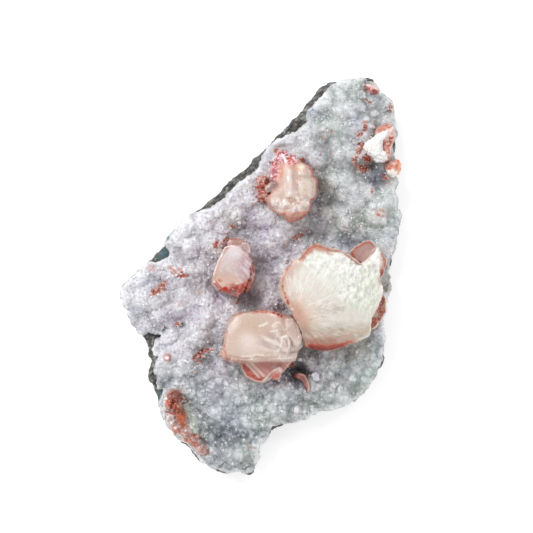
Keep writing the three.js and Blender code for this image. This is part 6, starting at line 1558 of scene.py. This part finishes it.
def knob():
    voxel = 0.18
    white_ring = [(363.2, 147.1), (366.8, 142.2), (371.4, 139.3), (375, 136), (378.6, 133.8), (383, 131.8), (387, 130.4), (387.4, 134), (384.4, 138), (382, 141.4),
                  (381.6, 146), (383.0, 150.7), (386.2, 155.0), (387.0, 159.4), (382.6, 162.4), (377.6, 161.8), (373.6, 158.6), (369, 155), (365.4, 151)]
    red_ring = [(375.6, 133), (378.6, 126.4), (384.4, 124.8), (389, 122.8), (392.6, 126.6), (394.8, 132), (394, 141), (391, 149), (390.4, 157.6), (385.6, 162.5), (377, 158), (374, 146)]
    v, f = remeshed([
        shell(white_ring, [(0.7, ROOT), (0.94, 2), (1, 5.2), (1, 6.3), (0.9, 7.4), (0.7, 8.2), (0.35, 8.7)], (376, 148), 3, 2),
        shell(red_ring, [(0.82, ROOT), (1, 1), (0.97, 3.6), (0.85, 5.0), (0.4, 5.6)], None, 2, 2),
    ], voxel)
    v = relaxed(v, f, 1)
    n = normals_of(v, f)
    px, py = plan_of(v)
    h = v[:, 2] - CRUST_LEVEL
    ew = edge_distance(px, py, white_ring)
    white = smooth(-0.8, 0.4, ew + 0.7 * fbm(px * 0.35, py * 0.35, 0, 2, 601)) * smooth(0.6, 3.0, h + 2.4 * fbm(px * 0.3, py * 0.3, h * 0.6, 2, 607))
    fluff, _, _, gap = beads(px + 1.2 * h, py - 2.2 * h, 2.6, 1.0, 2.2, 602, 0.9)
    out = white * (0.32 * np.clip(fluff, -1, 1.4) + 0.22 * fbm(px * 0.5, py * 0.5, h * 0.8, 3, 603)) + (1 - white) * 0.22 * fbm(px * 0.35, py * 0.35, h * 0.7, 3, 604)
    v2 = v + n * out[:, None]
    k1 = fbm(px * 0.40, py * 0.40, h * 1.1, 3, 605)
    k2 = fbm(px * 0.55, py * 0.55, h * 1.5, 3, 606)
    c = np.tile(hue(220, 168, 156), (len(v), 1))
    c = blend(c, hue(194, 98, 80), smooth(-0.02, 0.3, k1) * 0.85)
    c = blend(c, hue(160, 54, 42), smooth(0.28, 0.5, k1) * 0.8)
    c = blend(c, hue(246, 220, 214), smooth(0.0, 0.26, k2) * 0.85)
    c = blend(c, hue(202, 136, 116), 0.85 * blob(px, py, 382, 129.4, 4.4, 4.2, 0, 0.4))
    c = blend(c, hue(250, 232, 230), 0.85 * stroke(px, py, [(387.4, 137), (389.6, 131.6), (392.4, 127.6)], 1.3, 0.7))
    c = blend(c, hue(168, 84, 72), 0.6 * stroke(px, py, [(383.4, 140), (382.8, 148), (383.8, 156)], 0.9, 0.8))
    c = blend(c, hue(250, 249, 246), white)
    # painted shade between the white fluff's lumps
    c = c * (1 - 0.10 * white * np.exp(-gap / 0.3))[:, None]
    ob = mesh_object("white_knob", v2, f, c)
    return finish_piece(ob, M_WHITE, ["white_knob_crystal"])


def small_crystal(name, shells, voxel, tint, mat, node, bumps=0.2, freq=0.4, eased=1):
    v, f = remeshed(shells, voxel * (1))
    v = relaxed(v, f, eased)
    n = normals_of(v, f)
    px, py = plan_of(v)
    h = v[:, 2] - CRUST_LEVEL
    v2 = v + n * (bumps * fbm(px * freq, py * freq, h * freq * 2.4, 3, len(name)))[:, None]
    ob = mesh_object(name, v2, f, tint(px, py, h, n))
    return finish_piece(ob, mat, [node])


def edge_tint(px, py, h, n):
    w = fbm(px * 0.3, py * 0.3, h * 0.5, 2, 611)
    w2 = fbm(px * 0.6, py * 0.6, h * 1.7, 3, 616)
    c = np.tile(hue(224, 158, 134), (len(px), 1))
    c = blend(c, hue(202, 104, 78), 0.85 * smooth(-0.05, 0.25, w2))
    c = blend(c, hue(244, 216, 204), 0.75 * smooth(0.08, 0.3, -w2))
    c = blend(c, hue(250, 246, 238), 0.95 * smooth(-1, 1.2, py - 169.4 - 0.2 * (px - 392) + 2.2 * w) * smooth(399, 396.5, px + w) * smooth(-0.6, 1.6, h + 2.0 * w2))
    c = blend(c, hue(230, 156, 108), 0.75 * smooth(396.5, 399, px) * smooth(162, 164, py) * smooth(-0.5, 0.0, w2 + 0.3 * n[:, 2]))
    return blend(c, hue(250, 232, 222), 0.8 * blob(px, py, 393, 163, 3.4, 1.6, 0.2, 0.5))


def red_tint(px, py, h, n):
    w = fbm(px * 0.3, py * 0.3, h * 0.6, 3, 612)
    c = np.tile(hue(196, 104, 82), (len(px), 1))
    c = blend(c, hue(160, 56, 38), 0.9 * smooth(-0.1, 0.35, w))
    c = blend(c, hue(232, 186, 170), 0.75 * smooth(0.05, 0.4, -w))
    return c


def ridge_tint(px, py, h, n):
    w = fbm(px * 0.30, py * 0.30, h * 0.3, 2, 613)
    w2 = fbm(px * 0.60, py * 0.60, h * 1.4, 3, 615)
    along = fbm((px - py) * 0.30, (px + py) * 0.12, 3, 2, 617)
    c = np.tile(hue(198, 182, 178), (len(px), 1))
    c = blend(c, hue(232, 220, 220), 0.8 * smooth(-0.05, 0.22, w2))
    c = blend(c, hue(162, 142, 134), 0.6 * smooth(0.1, 0.35, -w2))

    def patch(colour, x, y, rx, ry, turn, strength, lo=-0.5, hi=-0.05):
        nonlocal c
        c = blend(c, colour, strength * blob(px + 1.6 * w, py + 1.6 * w2, x, y, rx, ry, turn, 0.4) * smooth(lo, hi, w2 + 0.4 * w))

    patch(hue(160, 84, 62), 173.6, 399, 7.4, 11, 0.1, 0.95, -0.9, -0.3)
    patch(hue(132, 50, 34), 175, 397, 6.0, 9, 0.1, 0.8, -0.1, 0.2)
    patch(hue(204, 86, 40), 168, 403, 2.6, 3.0, 0.0, 0.95, -0.6, -0.1)
    patch(hue(174, 92, 58), 180, 415, 6.2, 12, -0.45, 0.95, -0.9, -0.3)
    patch(hue(208, 98, 34), 181.6, 420, 2.9, 6.6, -0.4, 0.95, -0.6, -0.1)
    patch(hue(132, 48, 32), 178, 410, 3.6, 4.4, -0.3, 0.7, -0.1, 0.2)
    patch(hue(190, 98, 66), 187, 436, 13, 4.4, 0.85, 0.8, -0.12, 0.18)
    patch(hue(206, 88, 46), 194, 443.4, 4.2, 3.6, 0.6, 0.9, -0.3, 0.1)
    patch(hue(196, 126, 104), 204, 451.5, 4.0, 3.6, 0.6, 0.6)
    c = blend(c, hue(198, 98, 66), 0.7 * smooth(0.10, 0.28, along) * smooth(422, 427, py) * smooth(0.1, 0.6, stroke(px, py, [(176, 427), (186, 435), (196, 445)], 6, 0.5)))
    c = blend(c, hue(168, 52, 34), 0.85 * stroke(px + w, py, [(164, 411.6), (169, 412.6), (175, 414.6)], 0.9, 0.7))
    # painted glints: small white spots on the beads
    c = blend(c, hue(252, 246, 246), 0.9 * np.maximum.reduce([blob(px, py, x, y, r, r, 0, 0.5) for x, y, r in [(171.3, 422.5, 1.5), (166, 398.6, 1.2), (182.4, 400.4, 1.4), (175.6, 427.6, 1.3), (185.4, 430.4, 1.1), (168, 416.4, 1.0)]]))
    return blend(c, hue(246, 236, 234), 0.4 * smooth(0.36, 0.5, w2))


def bead_tint(px, py, h, n):
    w = fbm(px * 0.45, py * 0.45, 2, 2, 618)
    q = np.hypot(px - 167, py - 358) + 0.8 * w
    side = 0.5 + 0.5 * np.cos(np.arctan2(py - 358, px - 167) - 0.7)
    c = np.tile(hue(206, 172, 168), (len(px), 1))
    c = blend(c, hue(180, 84, 68), np.exp(-((q - 3.6) / 0.8) ** 2) * (0.35 + 0.65 * side) * smooth(-0.5, 0.0, w))
    c = blend(c, hue(226, 190, 184), smooth(2.7, 1.5, q))
    # painted highlight at the bead's middle
    return blend(c, hue(255, 253, 253), smooth(1.7, 0.9, q))


def crown_tint(px, py, h, n):
    w2 = fbm(px * 0.55, py * 0.55, h * 1.6, 3, 619)
    c = np.tile(hue(204, 138, 130), (len(px), 1))
    c = blend(c, hue(180, 80, 70), 0.85 * smooth(-0.15, 0.2, w2))
    c = blend(c, hue(236, 206, 204), 0.8 * smooth(0.1, 0.3, -w2))
    c = blend(c, hue(136, 40, 34), 0.85 * blob(px, py, 375.4, 91.8, 3.4, 2.0, 0.5, 0.5))
    return blend(c, hue(238, 226, 226), 0.85 * smooth(87.4, 85.2, py + 0.4 * (368 - px)) * smooth(-0.4, 0.1, w2))


def hollow_tint(px, py, h, n):
    w = fbm(px * 0.5, py * 0.5, h * 0.5, 3, 620)
    c = np.tile(hue(146, 108, 100), (len(px), 1))
    c = blend(c, hue(182, 152, 146), 0.6 * smooth(0.0, 0.3, w))
    c = blend(c, hue(146, 52, 42), 0.9 * blob(px, py, 297.5, 377.0, 5.0, 2.6, 0.1, 0.5) * smooth(-0.5, 0.0, w))
    c = blend(c, hue(226, 184, 170), 0.85 * stroke(px, py, [(298, 373.6), (304.6, 375.4), (307.6, 381), (309.4, 387.5), (308.4, 391.6)], 0.8, 0.8))
    c = blend(c, hue(158, 66, 50), 0.8 * stroke(px, py, [(296, 375.6), (302.6, 377.4), (305, 383), (306.8, 389)], 0.7, 0.8))
    return blend(c, hue(84, 56, 52), 0.8 * stroke(px, py, [(299, 379), (302.4, 382), (304.4, 387), (306, 390.6)], 1.0, 0.8))


def clear_tint(px, py, h, n):
    w = noise(px * 0.5, py * 0.5, h * 0.5, 614)
    c = blend(np.tile(hue(240, 236, 250), (len(px), 1)), hue(200, 186, 214), smooth(0.0, 0.5, w) * 0.7)
    # painted highlight on the sloping faces
    return blend(c, hue(255, 255, 255), 0.8 * smooth(0.85, 0.6, n[:, 2]) * smooth(0.2, 0.4, n[:, 2]))


crust()
basalt()
fan()
block()
left()
upper()
knob()
small_crystal("edge_sprig", [
    shell([(384.6, 167), (387, 163), (391.5, 161), (397.5, 160.6), (401, 165), (401.2, 170), (398.6, 175), (392.6, 177.8), (387.6, 175)],
          [(0.5, -3.8), (0.72, -2.2), (0.98, 0.6), (0.97, 2.6), (0.75, 4.2), (0.35, 4.8)], None, 1, 2),
    shell([(394, 160.2), (399, 159.6), (401.4, 165), (398, 167)], [(0.9, -1), (1, 3.8), (0.8, 5.4)]),
], 0.16, edge_tint, M_ORANGE, "edge_crystal", 0.3, 0.35)
small_crystal("hollow_blade", [
    shell([(294, 374.6), (299.6, 372.4), (305, 374.4), (308.4, 380), (310.4, 387.5), (308.8, 393), (305.8, 391), (303.2, 385), (300.2, 380.6), (296, 378.4)],
          [(0.85, ROOT), (1, -0.6), (0.9, 1.2), (0.45, 1.8)], None, 2, 2),
], 0.17, hollow_tint, M_RED, "hollow_crystal", 0.12)
small_crystal("clear_block", [
    shell([(311.8, 373.4), (315.6, 371.4), (319.4, 374), (319.8, 378.6), (317, 381.8), (313, 380.4)], [(0.9, ROOT), (1, 2.0), (0.9, 3.2), (0.4, 3.7)]),
    shell([(310.6, 375.4), (313.2, 372), (316, 374.6), (313.6, 379)], [(0.9, -2), (1, 2.8), (0.7, 4.1)]),
    shell([(315.4, 376), (318.8, 375), (320.4, 380), (317, 382)], [(0.9, -2), (1, 2.4), (0.7, 3.8)]),
], 0.15, clear_tint, M_CLEAR, "clear_crystal", 0.03, eased=0)
RIDGE_BEADS = [
    (172, 396, 6.8, 7.4, 0, 3.5), (168, 405.5, 5, 5.6, 0.3, 2.4), (176.4, 406.4, 5, 6.4, -0.2, 3.2), (172, 418, 6.2, 7.4, 0.2, 2.2), (180.6, 418.6, 5.8, 8.2, -0.5, 3.1),
    (177.4, 429.2, 6.2, 5.2, 0.6, 1.8), (186, 432.6, 6.4, 6.8, -0.6, 2.4), (193.2, 441.4, 5.8, 6.8, -0.7, 2.2), (201, 449.6, 5.2, 7.4, -0.7, 1.4),
]


def ridge_shells():
    """Beads two abreast, each carrying a few short blocky points."""
    rng = np.random.default_rng(71)
    ring = [(165.5, 392), (172, 388.5), (178, 392), (181, 400), (182.4, 408), (186, 416), (187.4, 424), (191.4, 431), (197.4, 437), (203, 445), (206, 452),
            (203, 456.5), (197, 452), (190, 446), (183, 440), (176, 434), (170.5, 427), (167, 419), (163.5, 411), (162.8, 401)]

    def back(x, y):
        return 1.9 - 0.030 * (y - 396)

    out = [shell(ring, [(0.7, -4.6), (0.94, under(back, 3.4)), (1, under(back, 2.2)), (0.92, under(back, 0.8)), (0.7, back), (0.35, under(back, -0.3))], (180.5, 421), 1, 2)]
    for x, y, rx, ry, turn, high in RIDGE_BEADS:
        out.append(shell(oval(x, y, rx, ry, 20, turn), [(0.6, -4.6), (0.9, high - 3.8), (1, high - 2.6), (0.92, high - 1.3), (0.7, high - 0.4), (0.35, high)], None, 1, 2))
        for k in range(11):
            a, q = rng.uniform(0, 6.28), rng.uniform(0.1, 1.15)
            cx, cy, r = x + rx * q * math.cos(a), y + ry * q * math.sin(a), rng.uniform(0.8, 2.0)
            top = high - 1.2 * q * q + rng.uniform(0.0, 1.3)
            dx, dy = rng.uniform(-0.8, 0.8, 2)
            out.append(shell(oval(cx, cy, r, r * rng.uniform(0.5, 0.9), int(rng.integers(4, 7)), rng.uniform(0, 3)), [(0.9, top - 3), (1, top - 0.5), (0.6, tilted(cx, cy, top + 0.3, 0.4 * dx, 0.4 * dy))], (cx + 0.5 * dx, cy + 0.5 * dy)))
    return out


small_crystal("ridge_clump", ridge_shells(), 0.18, ridge_tint, M_RED, "red_ridge_crystals", 0.5, 0.34, 2)
small_crystal("bead_round", [
    shell(oval(167.2, 357.4, 4.4, 4.4, 24), [(0.8, ROOT), (1, 0.6), (0.92, 1.8), (0.7, 2.5), (0.35, 2.8)], None, 1, 2),
], 0.16, bead_tint, M_RED, "bead_crystal", 0.06)
small_crystal("crown_knot", [
    shell([(365.4, 85.6), (370.6, 84.6), (376.4, 87), (379.2, 91.4), (375.6, 94.4), (369.4, 92.6)], [(0.55, -4.2), (0.82, -2.4), (1, -0.8), (0.85, 0.8), (0.4, 1.5)], None, 2, 2),
], 0.16, crown_tint, M_RED, "crown_crystal", 0.3)


# ---- loose sparkle: quartz-like points bedded in the crust ---------------------------------------------------------------
def druse(count, seed=7):
    rng = np.random.default_rng(seed)
    px, py = rng.uniform(121, 400, count * 3), rng.uniform(79, 475, count * 3)
    rim = edge_distance(px, py, CRUST_OUTLINE)
    clump = noise(px * 0.06, py * 0.06, 4, 801) + 0.6 * noise(px * 0.2, py * 0.2, 8, 802)
    ok = (rim > 1.0) & (clump > -0.35)
    for ring in (FAN_OUTLINE, BLOCK_OUTLINE, LEFT_OUTLINE, UPPER_OUTLINE):
        ok &= edge_distance(px, py, ring) < -0.5
    px, py, rim = px[ok][:count], py[ok][:count], rim[ok][:count]
    n = len(px)
    z = crust_z(px, py, rim)
    size = 0.15 + 0.36 * rng.random(n) ** 3
    tilt = rng.normal(0, 0.5, (n, 2))
    axis = np.stack([tilt[:, 0], tilt[:, 1], np.ones(n)], 1)
    axis /= np.linalg.norm(axis, axis=1, keepdims=True)
    side = np.cross(axis, np.stack([np.cos(rng.uniform(0, 6.28, n)), np.sin(rng.uniform(0, 6.28, n)), np.zeros(n)], 1))
    side /= np.linalg.norm(side, axis=1, keepdims=True)
    third = np.cross(axis, side)
    centre = place(px, py, z)
    parts = []
    for k in range(6):
        a = k * math.pi / 3
        parts.append(centre + size[:, None] * (math.cos(a) * side + math.sin(a) * third) + axis * (0.15 * size)[:, None])
    tip = centre + axis * (size * (0.45 + 0.6 * rng.random(n)))[:, None]
    root = centre - axis * (size * 1.2)[:, None]
    v = np.stack(parts + [tip, root], 1).reshape(-1, 3)
    b = np.arange(n)[:, None] * 8
    faces = np.concatenate([np.concatenate([b + k, b + (k + 1) % 6, b + 6], 1) for k in range(6)] + [np.concatenate([b + (k + 1) % 6, b + k, b + 7], 1) for k in range(6)])
    _, f = fine_z(px, py)
    f["near"], f["small"], f["mid"], f["wide"] = (sampled(k, px, py) for k in standing())
    tone = crust_colour(px, py, rim, f)
    tone = blend(tone * rng.uniform(0.8, 1.08, n)[:, None], hue(244, 246, 250), 0.75 * rng.random(n) ** 2.2)
    ob = mesh_object("crust_druse", v, [faces], np.repeat(tone, 8, 0), flat=True)
    return finish_piece(ob, M_DRUSE, [])


druse(7000)


# ---- small crystals scattered in nests over the crust ---------------------------------------------------------------------
PALE = [(252, 248, 250), (236, 214, 210), (222, 190, 182)]
WHITE = [(252, 250, 255), (240, 236, 246)]
RUST = [(176, 66, 42), (196, 92, 56), (150, 44, 30), (206, 128, 106)]
MIXED = RUST + [(236, 206, 198), (250, 240, 240)]
FAINT = [(188, 84, 60), (206, 130, 108), (226, 178, 166), (236, 206, 198), (248, 240, 240), (168, 58, 38)]
# plan x, plan y, half width, half height, turn, how many, least and greatest radius in mm, colours
NESTS = [
    (157, 291, 8.5, 3.8, -0.5, 26, 0.18, 0.44, FAINT), (163, 285, 6, 2.8, -0.7, 14, 0.18, 0.42, FAINT), (176, 273, 9, 5, 0.3, 14, 0.16, 0.32, FAINT),
    (218, 244.5, 6, 3.6, -0.5, 26, 0.20, 0.46, FAINT), (227, 240, 4, 2.4, -0.4, 14, 0.18, 0.42, MIXED), (231.5, 226, 3.4, 2.6, 0.4, 10, 0.16, 0.36, MIXED),
    (199, 357, 5.5, 6.5, 0.5, 30, 0.18, 0.48, FAINT), (206, 351, 7, 2.6, -0.2, 18, 0.18, 0.42, FAINT), (195, 372, 1.6, 1.2, 0, 3, 0.3, 0.5, PALE),
    (360.2, 147, 3.4, 6.2, 0.35, 34, 0.20, 0.50, MIXED), (367, 158, 3.2, 5.0, -0.2, 30, 0.20, 0.48, RUST), (355, 160, 2.6, 4.4, 0.1, 18, 0.18, 0.42, MIXED),
    (363, 167.4, 5, 3.4, 0.2, 26, 0.20, 0.46, MIXED), (365, 125.6, 1.8, 5.6, 0.1, 20, 0.16, 0.34, MIXED), (359.6, 133.6, 3.6, 1.8, 0.3, 14, 0.16, 0.34, MIXED),
    (368.4, 101, 1.4, 3.6, -0.7, 9, 0.14, 0.3, RUST), (372, 89, 7, 4, 0.35, 24, 0.18, 0.42, MIXED), (390.4, 108, 1.8, 5, 0.15, 14, 0.16, 0.36, MIXED),
    (302.4, 160, 2.8, 2.4, 0, 10, 0.16, 0.34, RUST), (278, 149.6, 4.4, 2.4, -0.4, 14, 0.16, 0.36, MIXED), (271, 162.6, 2.2, 2, 0, 8, 0.16, 0.34, RUST),
    (261, 184, 6.5, 8.5, 0.3, 34, 0.18, 0.42, MIXED), (261.6, 198, 5.5, 6, -0.4, 28, 0.18, 0.42, MIXED), (384, 175.6, 4, 1.4, 0.1, 10, 0.16, 0.34, RUST),
    (178, 325, 3.2, 4, 0.2, 14, 0.18, 0.42, MIXED), (237, 302, 2, 1.6, 0.6, 6, 0.16, 0.32, RUST), (380.5, 213.5, 5, 3.6, 0.1, 12, 0.14, 0.3, MIXED),
    (297, 237, 8, 3, -0.6, 22, 0.16, 0.34, MIXED), (291, 365, 4.4, 2.4, 0.2, 14, 0.16, 0.34, RUST), (206, 452, 3.6, 3, 0.9, 12, 0.16, 0.34, MIXED),
    (254, 204, 1.6, 1.4, 0, 4, 0.16, 0.3, RUST), (197, 438, 5, 6, -0.8, 12, 0.16, 0.34, MIXED), (184, 402, 5, 4, 0.3, 16, 0.18, 0.4, MIXED),
    (183.3, 400, 2.2, 2.6, 0.2, 5, 0.35, 0.6, PALE), (180.6, 323.6, 1.8, 1.4, 0, 4, 0.3, 0.5, PALE), (360.6, 157, 1.4, 1.4, 0, 3, 0.3, 0.5, PALE),
    (286.5, 261.5, 3.4, 3.4, -0.6, 7, 0.3, 0.7, WHITE), (301, 359.8, 0.6, 0.5, 0, 1, 0.7, 0.8, WHITE), (312, 409, 0.8, 0.8, 0, 1, 0.6, 0.8, WHITE), (296.4, 409.8, 0.6, 1.4, 0, 2, 0.7, 0.9, WHITE),
    (334, 386, 0.8, 0.8, 0, 1, 0.6, 0.8, WHITE), (275, 404, 1, 1, 0, 1, 0.5, 0.7, WHITE), (246, 398, 1, 1, 0, 1, 0.5, 0.7, WHITE), (190, 390, 1, 1, 0, 1, 0.5, 0.7, WHITE),
    (372, 127, 0.3, 0.3, 0, 1, 0.5, 0.6, WHITE), (331, 222, 1, 1, 0, 1, 0.5, 0.7, WHITE), (240, 222, 1, 1, 0, 1, 0.5, 0.7, WHITE), (196, 300, 1, 1, 0, 1, 0.5, 0.7, WHITE), (220, 320, 4, 4, 0, 3, 0.4, 0.6, WHITE), (331.7, 131.2, 1.0, 1.0, 0, 2, 0.2, 0.3, RUST), (320, 154.3, 1.0, 1.0, 0, 2, 0.2, 0.3, RUST),
]


def nests(seed=19):
    rng = np.random.default_rng(seed)
    centres, radii, tones = [], [], []
    for x, y, rx, ry, turn, count, lo, hi, colours in NESTS:
        a, q = rng.uniform(0, 2 * math.pi, count), np.sqrt(rng.random(count))
        u, w = rx * q * np.cos(a), ry * q * np.sin(a)
        px, py = x + u * math.cos(turn) - w * math.sin(turn), y + u * math.sin(turn) + w * math.cos(turn)
        rim = edge_distance(px, py, CRUST_OUTLINE)
        ok = rim > 0.8
        for ring in (FAN_OUTLINE, BLOCK_OUTLINE, LEFT_OUTLINE):
            ok &= edge_distance(px, py, ring) < 0.3
        px, py, rim = px[ok], py[ok], rim[ok]
        r = lo + (hi - lo) * rng.random(len(px)) ** 2
        centres.append(place(px, py, crust_z(px, py, rim) + 0.15 * r))
        radii.append(r)
        table = np.stack([hue(*k) for k in colours])
        tones.append(table[rng.integers(0, len(colours), len(px))] * (0.8 + 0.3 * rng.random(len(px)))[:, None])
    centre, size, tone = np.concatenate(centres), np.concatenate(radii), np.concatenate(tones)
    n = len(centre)
    tilt = rng.normal(0, 0.55, (n, 2))
    axis = np.stack([tilt[:, 0], tilt[:, 1], np.ones(n)], 1)
    axis /= np.linalg.norm(axis, axis=1, keepdims=True)
    a = rng.uniform(0, 6.28, n)
    side = np.cross(axis, np.stack([np.cos(a), np.sin(a), np.zeros(n)], 1))
    side /= np.linalg.norm(side, axis=1, keepdims=True)
    third = np.cross(axis, side)
    wide = rng.uniform(0.55, 1.0, n)[:, None]
    rise = (size * rng.uniform(0.6, 1.5, n))[:, None]
    s = size[:, None]
    # four-sided prisms with a bevelled, slightly skewed top
    low = [centre - axis * s * 1.3 + s * (math.cos(t) * side + math.sin(t) * third * wide) for t in (0.78, 2.35, 3.92, 5.5)]
    mid = [centre + axis * rise * 0.8 + s * (math.cos(t) * side + math.sin(t) * third * wide) for t in (0.78, 2.35, 3.92, 5.5)]
    top = [centre + axis * rise * (1.15 + 0.1 * k) + 0.6 * s * (math.cos(t) * side + math.sin(t) * third * wide) for k, t in enumerate((0.78, 2.35, 3.92, 5.5))]
    v = np.stack(low + mid + top, 1).reshape(-1, 3)
    b = np.arange(n)[:, None] * 12
    quads = [np.concatenate([b + k, b + (k + 1) % 4, b + 4 + (k + 1) % 4, b + 4 + k], 1) for k in range(4)]
    quads += [np.concatenate([b + 4 + k, b + 4 + (k + 1) % 4, b + 8 + (k + 1) % 4, b + 8 + k], 1) for k in range(4)]
    quads.append(np.concatenate([b + 8, b + 9, b + 10, b + 11], 1))
    quads.append(np.concatenate([b + 3, b + 2, b + 1, b], 1))
    colour = np.repeat(tone, 12, 0)
    high = np.tile(np.array([0] * 8 + [1] * 4, bool), n)
    colour[high] = blend(colour[high], hue(240, 222, 216), 0.25 * np.ones(high.sum()))
    ob = mesh_object("small_points", v, [np.concatenate(quads)], colour, flat=True)
    print("nests", n, "crystals")
    return finish_piece(ob, M_POINTS, [])


nests()

# ---- floor, light and camera ---------------------------------------------------------------------------------------------
floor_mesh = bpy.data.meshes.new("floor")
floor_mesh.from_pydata([(-1.5, -1.5, 0), (1.5, -1.5, 0), (1.5, 1.5, 0), (-1.5, 1.5, 0)], [], [(0, 1, 2, 3)])
floor = bpy.data.objects.new("floor", floor_mesh)
scene.collection.objects.link(floor)
fm = bpy.data.materials.new("floor_white")
fm.use_nodes = True
fb = fm.node_tree.nodes["Principled BSDF"]
fb.inputs["Base Color"].default_value = (0.92, 0.92, 0.92, 1)
fb.inputs["Roughness"].default_value = 0.9
fb.inputs["Specular IOR Level"].default_value = 0.0
fb.inputs["Emission Color"].default_value = (1, 1, 1, 1)
fb.inputs["Emission Strength"].default_value = 0.45
floor_mesh.materials.append(fm)
floor.location = (0, 0, -0.0002)

world = bpy.data.worlds.new("studio")
scene.world = world
world.use_nodes = True
world.node_tree.nodes["Background"].inputs["Color"].default_value = (1.0, 1.0, 1.0, 1)
world.node_tree.nodes["Background"].inputs["Strength"].default_value = 0.58


def area_light(name, where, size, power, at=(0, 0, 0.015), colour=(1, 1, 1)):
    light = bpy.data.lights.new(name, "AREA")
    light.shape = "DISK"
    light.size = size
    light.energy = power
    light.color = colour
    ob = bpy.data.objects.new(name, light)
    ob.location = where
    ob.rotation_euler = (Vector(at) - Vector(where)).to_track_quat("-Z", "Y").to_euler()
    scene.collection.objects.link(ob)
    return ob


area_light("key", (-0.55, 0.45, 0.75), 0.36, 4.6)
area_light("fill", (0.65, -0.30, 0.60), 0.60, 1.2)
area_light("glint_a", (-0.20, 0.45, 0.85), 0.06, 0.7)
area_light("glint_b", (0.30, 0.35, 0.80), 0.06, 0.4)

cam = bpy.data.cameras.new("view")
cam.sensor_width = 36
cam.lens = 36 * 600 / (533 * PLAN_UNIT)
cam.clip_start = 0.01
cam.clip_end = 10
camera = bpy.data.objects.new("view", cam)
camera.location = ((EX - OX) * PLAN_UNIT * 0.001, (OY - EY) * PLAN_UNIT * 0.001, (600 + CRUST_LEVEL) * 0.001)
camera.rotation_euler = (0, 0, 0)
scene.collection.objects.link(camera)
scene.camera = camera

scene.view_settings.view_transform = "Standard"
scene.view_settings.look = "None"
scene.view_settings.exposure = 0.0
scene.view_settings.gamma = 1.0
